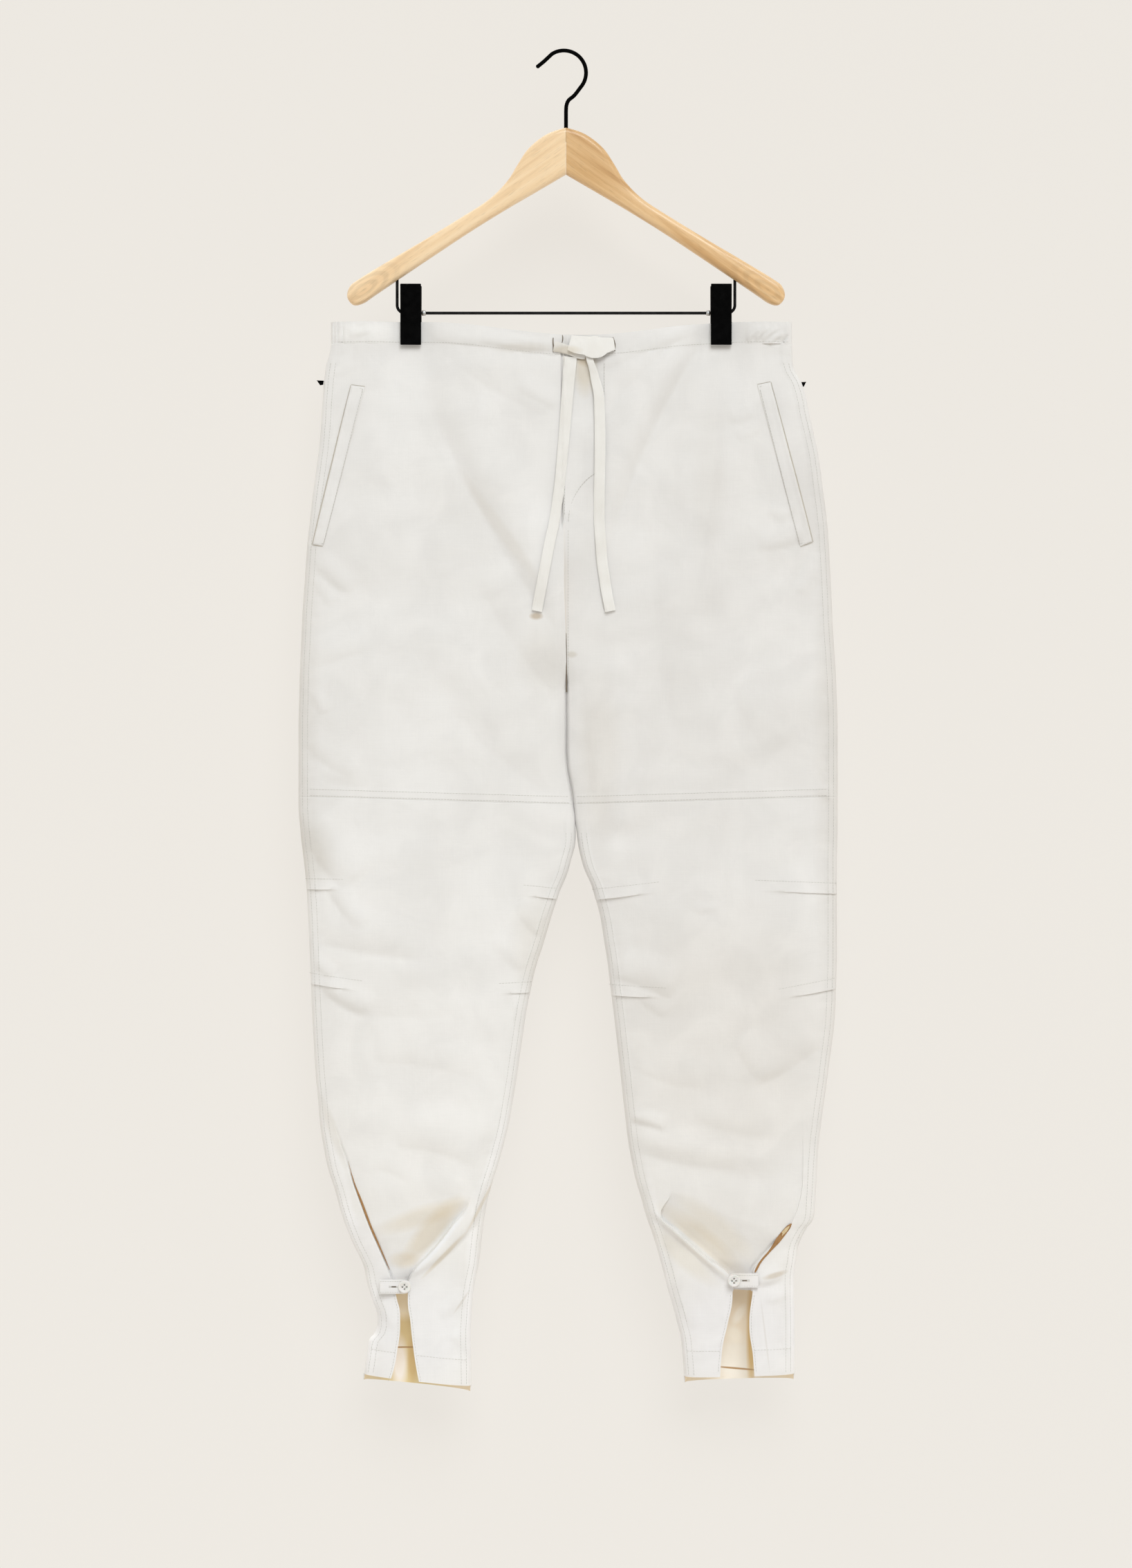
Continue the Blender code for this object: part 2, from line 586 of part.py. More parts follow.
def panel(name, leg, face, rows, columns_at, finish, group, keep_at=None):
    """A panel from the side seam to the inseam, or to the centre seam above the crotch."""
    outer = []
    seam_rows = []
    for outer_z, inner_z in row_heights(rows):
        middle_z = (outer_z + inner_z) / 2.0
        places = columns_at(leg, middle_z)
        turned = smoothly(middle_z, CROTCH + INSEAM_TURNS, CROTCH)
        outer_edge = leg.outer(outer_z)
        inner_edge = leg.inner(inner_z)
        x = [outer_edge - leg.side * EDGE_RADIUS * (1.0 - math.cos(a)) for a in TURN_ANGLES[:-1]]
        x += list(places)
        x += [inner_edge + leg.side * EDGE_RADIUS * (1.0 - math.cos(a)) for a in TURN_ANGLES[-2::-1]]
        round_edge = [math.sin(a) for a in TURN_ANGLES[:-1]]
        out = round_edge + [1.0] * len(places) + [1.0 + (s - 1.0) * turned for s in reversed(round_edge)]
        x = np.array(x)
        out = np.array(out)
        share = (x - outer_edge) / (inner_edge - outer_edge)
        z = outer_z + (inner_z - outer_z) * share
        sag = 1.0 - smoothly(z, WAIST_SEAM, SAG_ENDS)
        z = z - waist_sag(x) * sag
        if outer_z == WAIST_SEAM:
            z = z - SEAM_GAP
        half_gap = SEAM_GAP / 2.0
        y = face * (half_gap + (leg.depth(x, z, face) - half_gap) * out)
        outer.append(np.stack([x, y, z], axis=1))
        seam_rows.append(turned)
    outer = np.array(outer)
    inward = inward_normals(outer, face)
    turned = np.array(seam_rows)[:, None]
    inward[:, 0] = (-leg.side, 0.0, 0.0)
    inward[:, -1] = turned * (leg.side, 0.0, 0.0) + (1.0 - turned) * (0.0, -face, 0.0)
    for end in (0, -1):
        inward[end, 1:-1, 2] = 0.0
    inward /= np.linalg.norm(inward, axis=2, keepdims=True)
    keep = keep_at(outer) if keep_at else None
    return wall_from_grid(name, outer, inward, WALL, finish, group, keep)


def open_slit(outer):
    """Leaves out the cells between the two fold lines, below the ankle tab."""
    rows, columns = outer.shape[:2]
    keep = np.ones((rows - 1, columns - 1), bool)
    first = len(TURN_ANGLES) - 1 + STRIP_STEPS
    last = first + MIDDLE_STEPS + 2
    below = outer[:-1, first, 2] < SLIT_TOP + SEAM_GAP
    keep[below, first:last] = False
    return keep


def casing(name, face, finish, group):
    """The waistband: the cloth turned down over the drawstring, sagging between the clips."""
    left_end = LEFT.outer(WAIST_SEAM)
    right_end = RIGHT.outer(WAIST_SEAM)
    places = np.linspace(left_end + EDGE_RADIUS, right_end - EDGE_RADIUS, CASING_STEPS + 1)
    turn = [(1.0 - math.cos(a), math.sin(a)) for a in TURN_ANGLES[:-1]]
    x = [left_end + EDGE_RADIUS * run for run, rise in turn] + list(places)
    x += [right_end - EDGE_RADIUS * run for run, rise in reversed(turn)]
    out = [rise for run, rise in turn] + [1.0] * len(places) + [rise for run, rise in reversed(turn)]
    x = np.array(x)
    out = np.array(out)
    outer = []
    for roll in CASING_ROLL:
        z = WAIST_SEAM + (WAIST_TOP - WAIST_SEAM) * roll.share - waist_sag(x)
        depth = np.where(x < 0.0, LEFT.depth(x, z, face), RIGHT.depth(x, z, face))
        off_clips = smoothly(np.abs(np.abs(x) - CLIP_X), GATHER_ENDS, GATHER_STARTS)
        drift = GATHER_DRIFT * np.sin(x * GATHER_DRIFT_RATE)
        ripple = (1.0 + np.sin(x * 2.0 * math.pi / GATHER_PITCH + drift)) / 2.0
        depth = depth + CASING_RAISE + (roll.out + GATHER_HEIGHT * ripple) * off_clips
        y = face * (SEAM_GAP / 2.0 + (depth - SEAM_GAP / 2.0) * out)
        outer.append(np.stack([x, y, z], axis=1))
    outer = np.array(outer)
    inward = inward_normals(outer, face)
    inward[:, 0] = (1.0, 0.0, 0.0)
    inward[:, -1] = (-1.0, 0.0, 0.0)
    inward[:, 1:-1, 2] = 0.0
    inward /= np.linalg.norm(inward, axis=2, keepdims=True)
    return wall_from_grid(name, outer, inward, CASING_WALL, finish, group)


def front_of(objects, step):
    """A function that gives how far forward these objects reach within half a step of a place."""
    trees = []
    nearby = (-step / 2.0, 0.0, step / 2.0)
    for obj in objects:
        points = [vertex.co for vertex in obj.data.vertices]
        faces = [polygon.vertices for polygon in obj.data.polygons]
        trees.append(BVHTree.FromPolygons(points, faces))

    def y_at(x, z):
        foremost = 0.0
        for tree, over, up in itertools.product(trees, nearby, nearby):
            start = Vector((x + over, -1.0, z + up))
            hit = tree.ray_cast(start, Vector((0.0, 1.0, 0.0)))[0]
            if hit is not None:
                foremost = min(foremost, hit.y)
        return foremost

    return y_at


def patch(name, x, z, y_at, lift, thickness, finish, group):
    """A piece that lies on the cloth: its grid of places, moved out from the surface below it."""
    lift = np.broadcast_to(lift, x.shape)
    thickness = np.broadcast_to(thickness, x.shape)
    outer = np.zeros((*x.shape, 3))
    inward = np.zeros((*x.shape, 3))
    for i, j in np.ndindex(x.shape):
        outer[i, j] = (x[i, j], y_at(x[i, j], z[i, j]) - lift[i, j] - thickness[i, j], z[i, j])
        inward[i, j, 1] = thickness[i, j]
    return wall_from_grid(name, outer, inward, 1.0, finish, group)


def between_corners(corners, step):
    """A grid of places in a four-cornered patch: top left, top right, bottom right, bottom left."""
    top_left, top_right, bottom_right, bottom_left = (np.array(corner) for corner in corners)
    rows = math.ceil(np.linalg.norm(bottom_left - top_left) / step) + 1
    columns = math.ceil(np.linalg.norm(top_right - top_left) / step) + 1
    down, over = np.meshgrid(np.linspace(0, 1, rows), np.linspace(0, 1, columns), indexing="ij")
    down = down[..., None]
    over = over[..., None]
    top = top_left + (top_right - top_left) * over
    bottom = bottom_left + (bottom_right - bottom_left) * over
    places = top + (bottom - top) * down
    return places[..., 0], places[..., 1]


def ribbon_places(path, width, steps):
    """A grid of places along a flat tape whose middle follows a smooth line through the path."""
    path = np.array(path)
    lengths = np.concatenate([[0.0], np.cumsum(np.linalg.norm(np.diff(path, axis=0), axis=1))])
    falling = list(-lengths)
    x_at = smooth_through(falling, list(path[:, 0]))
    z_at = smooth_through(falling, list(path[:, 1]))
    run = np.linspace(0.0, lengths[-1], steps + 1)
    middle = np.stack([x_at(-run), z_at(-run)], axis=1)
    along = np.gradient(middle, axis=0)
    along /= np.linalg.norm(along, axis=1, keepdims=True)
    aside = np.stack([-along[:, 1], along[:, 0]], axis=1)
    across = np.linspace(-width / 2.0, width / 2.0, 3)
    places = middle[:, None, :] + aside[:, None, :] * across[None, :, None]
    return places[..., 0], places[..., 1]


# Pieces that lie on the cloth: corners from the top left, clockwise, and the paths of the tape
WELT_STEP = 0.0085
WELT_THICKNESS = 0.0012
FLY_STEP = 0.0120
FLY_THICKNESS = 0.0010
PATCH_LIFT = 0.0005
KNOT_STEPS = 10
KNOT_LIFT = 0.0006
TAIL_STEPS = 18
TAIL_LIFT = 0.0008
POCKET_WELTS = {
    "left": ((-0.2170, -0.3380), (-0.2030, -0.3400), (-0.2457, -0.5005), (-0.2560, -0.4990)),
    "right": ((0.1932, -0.3380), (0.2065, -0.3350), (0.2490, -0.4965), (0.2366, -0.5010)),
}
FLY = ((-0.0035, -0.3135), (0.0400, -0.3135), (0.0400, -0.4400), (-0.0035, -0.4800))
KNOT_PATH = (
    (-0.0126, -0.2980), (0.0040, -0.3015), (0.0190, -0.3058), (0.0340, -0.3035), (0.0483, -0.2975),
)
TAIL_PATHS = {
    "left": (
        (0.0050, -0.3130), (-0.0032, -0.4053), (-0.0091, -0.4592), (-0.0172, -0.5019), (-0.0294, -0.5670),
    ),
    "right": (
        (0.0232, -0.3135), (0.0287, -0.3304), (0.0343, -0.3626), (0.0343, -0.4053), (0.0333, -0.4592),
        (0.0354, -0.5019), (0.0389, -0.5341), (0.0448, -0.5670),
    ),
}


def trimmings(cloth, cotton, tape, group):
    """The pieces sewn on the fronts, and the drawstring that lies on them."""
    for side in LEGS:
        x, z = between_corners(POCKET_WELTS[side], WELT_STEP)
        y_at = front_of([cloth["front_upper_" + side]], WELT_STEP)
        patch("pocket_welt_" + side, x, z, y_at, PATCH_LIFT, WELT_THICKNESS, cotton, group)
    body = [cloth["front_upper_left"], cloth["front_upper_right"]]
    x, z = between_corners(FLY, FLY_STEP)
    fly = patch(
        "fly_placket", x, z, front_of(body, FLY_STEP), PATCH_LIFT, FLY_THICKNESS, cotton, group,
    )
    y_at = front_of(body + [fly, cloth["waistband_front"]], WELT_STEP)
    x, z = ribbon_places(KNOT_PATH, TAPE_WIDTH, KNOT_STEPS)
    middle = np.sin(np.linspace(0.0, math.pi, KNOT_STEPS + 1))[:, None]
    thickness = TAPE_THICKNESS + (KNOT_THICKNESS - TAPE_THICKNESS) * middle ** 2
    patch("drawstring_knot", x, z, y_at, KNOT_LIFT, thickness, tape, group)
    for side, path in TAIL_PATHS.items():
        x, z = ribbon_places(path, TAPE_WIDTH, TAIL_STEPS)
        patch("drawstring_tail_" + side, x, z, y_at, TAIL_LIFT, TAPE_THICKNESS, tape, group)


def flat_outline(name, points, half_thickness, rounding, rotation, finish, group):
    """A 2D curve filled and extruded to both sides, its edges rounded within its outline."""
    data = bpy.data.curves.new(name, "CURVE")
    data.dimensions = "2D"
    data.fill_mode = "BOTH"
    data.extrude = half_thickness - rounding
    data.bevel_depth = rounding
    data.bevel_resolution = 1
    data.offset = -rounding
    spline = data.splines.new("POLY")
    spline.use_cyclic_u = True
    spline.points.add(len(points) - 1)
    for knot, (x, y) in zip(spline.points, points):
        knot.co = (x, y, 0.0, 1.0)
    obj = add(name, data, finish, group)
    obj.rotation_euler = rotation
    return obj


def mesh_of(obj, group):
    """The curve object as a welded mesh, so that it can be drilled."""
    bpy.context.view_layer.update()
    evaluated = obj.evaluated_get(bpy.context.evaluated_depsgraph_get())
    data = bpy.data.meshes.new_from_object(evaluated)
    mesh = bmesh.new()
    mesh.from_mesh(data)
    bmesh.ops.remove_doubles(mesh, verts=mesh.verts, dist=0.00002)
    bmesh.ops.recalc_face_normals(mesh, faces=mesh.faces)
    mesh.to_mesh(data)
    mesh.free()
    data.shade_smooth()
    data.set_sharp_from_angle(angle=math.radians(50.0))
    name = obj.name
    placed = obj.matrix_world.copy()
    bpy.data.objects.remove(obj)
    made = bpy.data.objects.new(name, data)
    made.matrix_world = placed
    group.objects.link(made)
    return made


def wire(name, points, radius, finish, group):
    data = bpy.data.curves.new(name, "CURVE")
    data.dimensions = "3D"
    data.bevel_depth = radius
    data.bevel_resolution = 2
    data.use_fill_caps = True
    spline = data.splines.new("POLY")
    spline.points.add(len(points) - 1)
    for knot, point in zip(spline.points, points):
        knot.co = (*point, 1.0)
    return add(name, data, finish, group)


def drill(obj, name, centre, radius, depth, cutters):
    """Bores a hole of this depth, from centre along the cutter's own upward axis."""
    mesh = bmesh.new()
    bmesh.ops.create_cone(
        mesh, cap_ends=True, segments=16, radius1=radius, radius2=radius, depth=depth,
    )
    data = bpy.data.meshes.new(name)
    mesh.to_mesh(data)
    mesh.free()
    cutter = add(name, data, None, cutters)
    cutter.location = centre
    cutter.hide_render = True
    cutter.display_type = "WIRE"
    cut = obj.modifiers.new("hole " + name, "BOOLEAN")
    cut.operation = "DIFFERENCE"
    cut.object = cutter
    return cutter


def arc(centre, radius, start, end, steps):
    """Points of an arc in the plane of the hanger, from one angle in degrees to another."""
    angles = np.radians(np.linspace(start, end, steps + 1))
    return [(centre[0] + radius * math.cos(a), 0.0, centre[1] + radius * math.sin(a)) for a in angles]


# One arm of the hanger: its outline from the mitre, along the top, round the end and back
ARM_OUTLINE = (
    (0.0003, -0.0765), (0.0200, -0.0833), (0.0380, -0.0975), (0.0495, -0.1145), (0.0595, -0.1305),
    (0.0780, -0.1490), (0.1080, -0.1685), (0.1440, -0.1905), (0.1806, -0.2120), (0.2100, -0.2300),
    (0.2190, -0.2375), (0.2215, -0.2480), (0.2150, -0.2560), (0.2050, -0.2540), (0.1945, -0.2470),
    (0.1720, -0.2317), (0.1360, -0.2075), (0.0975, -0.1820), (0.0637, -0.1610), (0.0273, -0.1397),
    (0.0003, -0.1239),
)
HOOK_CENTRE = (-0.0022, -0.0205)
HOOK_RADIUS = 0.0225
HOOK_STARTS = 122.0
HOOK_STOPS = -55.0
HOOK_STEPS = 14
HOOK_TIP = ((-0.0284, 0.0, -0.0140), (-0.0224, 0.0, -0.0091))
HOOK_NECK = ((0.0105, 0.0, -0.0420), (0.0035, 0.0, -0.0469), (0.0004, 0.0, -0.0525), (0.0, 0.0, -0.0600))
HOOK_ENDS = -0.0905
BEND_STEPS = 4


def hanger(wood, black, steel, group, cutters):
    stem_bore = HOOK_WIRE + BORE_CLEARANCE
    bar_bore = BAR_WIRE + BORE_CLEARANCE
    for side, sign in (("left", -1), ("right", 1)):
        outline = [(x * sign, z) for x, z in ARM_OUTLINE]
        arm = flat_outline(
            "hanger_arm_" + side, outline, HANGER_THICKNESS / 2.0, HANGER_ROUNDING,
            (math.pi / 2.0, 0.0, 0.0), wood[side], group,
        )
        arm = mesh_of(arm, group)
        drill(arm, "stem_bore_" + side, (0.0, 0.0, STEM_BORE_Z), stem_bore, STEM_BORE_DEPTH, cutters)
        drill(arm, "bar_bore_" + side, (BAR_X * sign, 0.0, BAR_BORE_Z), bar_bore, BAR_BORE_DEPTH, cutters)
    rounds = arc(HOOK_CENTRE, HOOK_RADIUS, HOOK_STARTS, HOOK_STOPS, HOOK_STEPS)
    hook = list(HOOK_TIP) + rounds + list(HOOK_NECK) + [(0.0, 0.0, HOOK_ENDS)]
    wire("hanger_hook", hook, HOOK_WIRE, black, group)
    bend_x = BAR_X - BAR_BEND
    bend_z = BAR_Z + BAR_BEND
    left_bend = arc((-bend_x, bend_z), BAR_BEND, 180.0, 270.0, BEND_STEPS)
    right_bend = arc((bend_x, bend_z), BAR_BEND, 270.0, 360.0, BEND_STEPS)
    bar = [(-BAR_X, 0.0, BAR_ENDS)] + left_bend + right_bend + [(BAR_X, 0.0, BAR_ENDS)]
    wire("hanger_bar", bar, BAR_WIRE, steel, group)


# The side of one clip jaw: its distance from the plane of the seams, and its height
JAW_OUTLINE = (
    (0.0080, CLIP_TOP), (0.0110, CLIP_TOP), (0.0112, -0.2450), (0.0088, -0.2640), (0.0082, -0.2800),
    (0.0082, CLIP_BOTTOM), (0.0060, CLIP_BOTTOM), (0.0042, -0.2930), (0.0042, -0.2715),
    (0.0021, -0.2665), (0.0021, -0.2610), (0.0060, -0.2500),
)
FERRULE_LENGTH = 0.004
FERRULE_RADIUS = 0.0027
FERRULE_GAP = 0.0005
FERRULE_STEPS = 16


def clips(black, steel, group):
    for side, sign in (("left", -1), ("right", 1)):
        for jaw, face in (("front", FRONT), ("back", BACK)):
            outline = [(y * face, z) for y, z in JAW_OUTLINE]
            clip = flat_outline(
                "clip_" + jaw + "_" + side, outline, CLIP_WIDTH / 2.0, CLIP_ROUNDING,
                (math.pi / 2.0, 0.0, math.pi / 2.0), black, group,
            )
            clip.location.x = CLIP_X * sign
        ferrule_x = CLIP_X - CLIP_WIDTH / 2.0 - FERRULE_GAP - FERRULE_LENGTH / 2.0
        ferrule("clip_ferrule_" + side, sign * ferrule_x, steel, group)


def turned(name, profile, steps, finish, group):
    """A profile in the XZ plane, turned round the Z axis."""
    data = bpy.data.meshes.new(name)
    edges = [(i, i + 1) for i in range(len(profile) - 1)]
    if profile[0][0] > 0.0:
        edges.append((len(profile) - 1, 0))
    data.from_pydata([(x, 0.0, z) for x, z in profile], edges, [])
    obj = add(name, data, finish, group)
    screw = obj.modifiers.new("turn", "SCREW")
    screw.steps = steps
    screw.render_steps = steps
    screw.use_merge_vertices = True
    screw.merge_threshold = 0.00002
    screw.use_smooth_shade = True
    return obj


def ferrule(name, x, finish, group):
    """A short collar on the bar, at the clip's inner side."""
    half = FERRULE_LENGTH / 2.0
    bore = BAR_WIRE + SEAM_GAP
    profile = ((bore, half), (FERRULE_RADIUS, half), (FERRULE_RADIUS, -half), (bore, -half))
    collar = turned(name, profile, FERRULE_STEPS, finish, group)
    collar.location = (x, 0.0, BAR_Z)
    collar.rotation_euler = (0.0, math.pi / 2.0, 0.0)


# Each ankle tab: the ends of its middle line, round end first, and its button's place
TAB_WIDTH = 0.0150
TAB_THICKNESS = 0.0016
TAB_ROUNDING = 0.0002
TAB_CAP_STEPS = 8
TAB_STEP = 0.0030
TAB_LIFT = 0.0004
TABS = {
    "left": (-0.1572, -0.1885, -1.2498),
    "right": (0.1645, 0.1953, -1.2443),
}
# The button's profile: shares of its radius and of its height, from the sunk middle outwards
BUTTON_RADIUS = 0.0063
BUTTON_HEIGHT = 0.0026
BUTTON_INSET = 0.0062
BUTTON_STEPS = 16
BUTTON_PROFILE = (
    (0.0, 0.70), (0.62, 0.72), (0.78, 1.0), (0.93, 0.95), (1.0, 0.55), (0.90, 0.10), (0.70, 0.0), (0.0, 0.0),
)
HOLE_RADIUS = 0.0008
HOLE_OFFSET = 0.0015


def ankle_tab(side, front, cotton, plastic, group, cutters):
    """The buttoned tab that draws the ankle in, and its four-hole button."""
    round_end, square_end, z = TABS[side]
    way = LEGS[side].side
    half = TAB_WIDTH / 2.0
    cap = [
        (round_end + way * half * (1.0 - math.cos(a)), z + half * math.sin(a))
        for a in np.radians(np.linspace(-80.0, 80.0, TAB_CAP_STEPS + 1))
    ]
    outline = [(square_end, z - half)] + cap + [(square_end, z + half)]
    tab = flat_outline(
        "ankle_tab_" + side, outline, TAB_THICKNESS / 2.0, TAB_ROUNDING,
        (math.pi / 2.0, 0.0, 0.0), cotton, group,
    )
    corners = (
        (round_end, z + half), (square_end, z + half), (square_end, z - half), (round_end, z - half),
    )
    y_at = front_of([front], TAB_STEP)
    foremost = min(y_at(*place) for place in zip(*map(np.ravel, between_corners(corners, TAB_STEP))))
    tab.location.y = foremost - TAB_LIFT - TAB_THICKNESS / 2.0
    profile = [(r * BUTTON_RADIUS, h * BUTTON_HEIGHT) for r, h in BUTTON_PROFILE]
    button = turned("ankle_button_" + side, profile, BUTTON_STEPS, plastic, group)
    button_y = foremost - TAB_LIFT - TAB_THICKNESS - SEAM_GAP
    centre = Vector((round_end + way * BUTTON_INSET, button_y, z))
    button.location = centre
    button.rotation_euler = (math.pi / 2.0, 0.0, 0.0)
    for count, (over, up) in enumerate(((-1, -1), (-1, 1), (1, -1), (1, 1))):
        place = centre + Vector((over * HOLE_OFFSET, -BUTTON_HEIGHT / 2.0, up * HOLE_OFFSET))
        name = "button_hole_" + side + "_" + str(count + 1)
        hole = drill(button, name, place, HOLE_RADIUS, 2.0 * BUTTON_HEIGHT, cutters)
        hole.rotation_euler = (math.pi / 2.0, 0.0, 0.0)


# The side eyes: the height of each, and their outline as distance out from the seam, and height
SIDE_EYES = {"left": -0.3345, "right": -0.3360}
SIDE_EYE_OUTLINE = ((0.0003, 0.0028), (0.0075, 0.0030), (0.0039, -0.0035), (0.0009, -0.0026))
SIDE_EYE_THICKNESS = 0.0030
SIDE_EYE_ROUNDING = 0.0002


def side_eyes(black, group):
    """The small dark eye at each side seam, seen from its edge: a wedge that points down."""
    for side, height in SIDE_EYES.items():
        leg = LEGS[side]
        seam = leg.outer(height)
        outline = [(seam + leg.side * out, height + up) for out, up in SIDE_EYE_OUTLINE]
        flat_outline(
            "side_eye_" + side, outline, SIDE_EYE_THICKNESS / 2.0, SIDE_EYE_ROUNDING,
            (math.pi / 2.0, 0.0, 0.0), black, group,
        )


def main():
    clear_scene()
    parts = collection(COLLECTION)
    cutters = collection("cutters")
    cotton = material("white cotton", (0.80, 0.80, 0.77), 0.85)
    tape = material("white cotton tape", (0.82, 0.81, 0.77), 0.85)
    black = material("black coated steel", (0.02, 0.02, 0.02), 0.45)
    steel = material("dark wire", (0.03, 0.03, 0.03), 0.40, 0.3)
    bright = material("zinc plated steel", (0.55, 0.55, 0.55), 0.35, 1.0)
    plastic = material("white plastic", (0.82, 0.82, 0.80), 0.35)
    wood = {
        "left": material("pale beech", (0.80, 0.58, 0.36), 0.45),
        "right": material("darker beech", (0.66, 0.42, 0.22), 0.45),
    }
    lower_rows = {"left": LEFT_LOWER_ROWS, "right": RIGHT_LOWER_ROWS}
    back_rows = {"left": LEFT_BACK_ROWS, "right": RIGHT_BACK_ROWS}
    cloth = {}
    for side, leg in LEGS.items():
        upper = "front_upper_" + side
        lower = "front_lower_" + side
        back = "back_" + side
        cloth[upper] = panel(
            upper, leg, FRONT, UPPER_ROWS, lambda leg, z: plain_columns(leg, z, UPPER_STEPS), cotton, parts,
        )
        cloth[lower] = panel(
            lower, leg, FRONT, lower_rows[side], folded_columns, cotton, parts, open_slit,
        )
        cloth[back] = panel(
            back, leg, BACK, back_rows[side], lambda leg, z: plain_columns(leg, z, BACK_STEPS), cotton, parts,
        )
        ankle_tab(side, cloth[lower], cotton, plastic, parts, cutters)
    cloth["waistband_front"] = casing("waistband_front", FRONT, cotton, parts)
    cloth["waistband_back"] = casing("waistband_back", BACK, cotton, parts)
    trimmings(cloth, cotton, tape, parts)
    side_eyes(black, parts)
    hanger(wood, black, steel, parts, cutters)
    clips(black, bright, parts)


main()
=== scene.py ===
"""The looks of white cotton snow overtrousers that hang by two clips from a wooden hanger.

The cloth repeats the construction's own sizes and surface as finer, thinner shells, and adds the
creases, seams, stitches and knotted tape of the real garment. Metres, +Z up, and the front
faces -Y. Left and right are as seen from the front.
"""

import json
import math
from collections import namedtuple

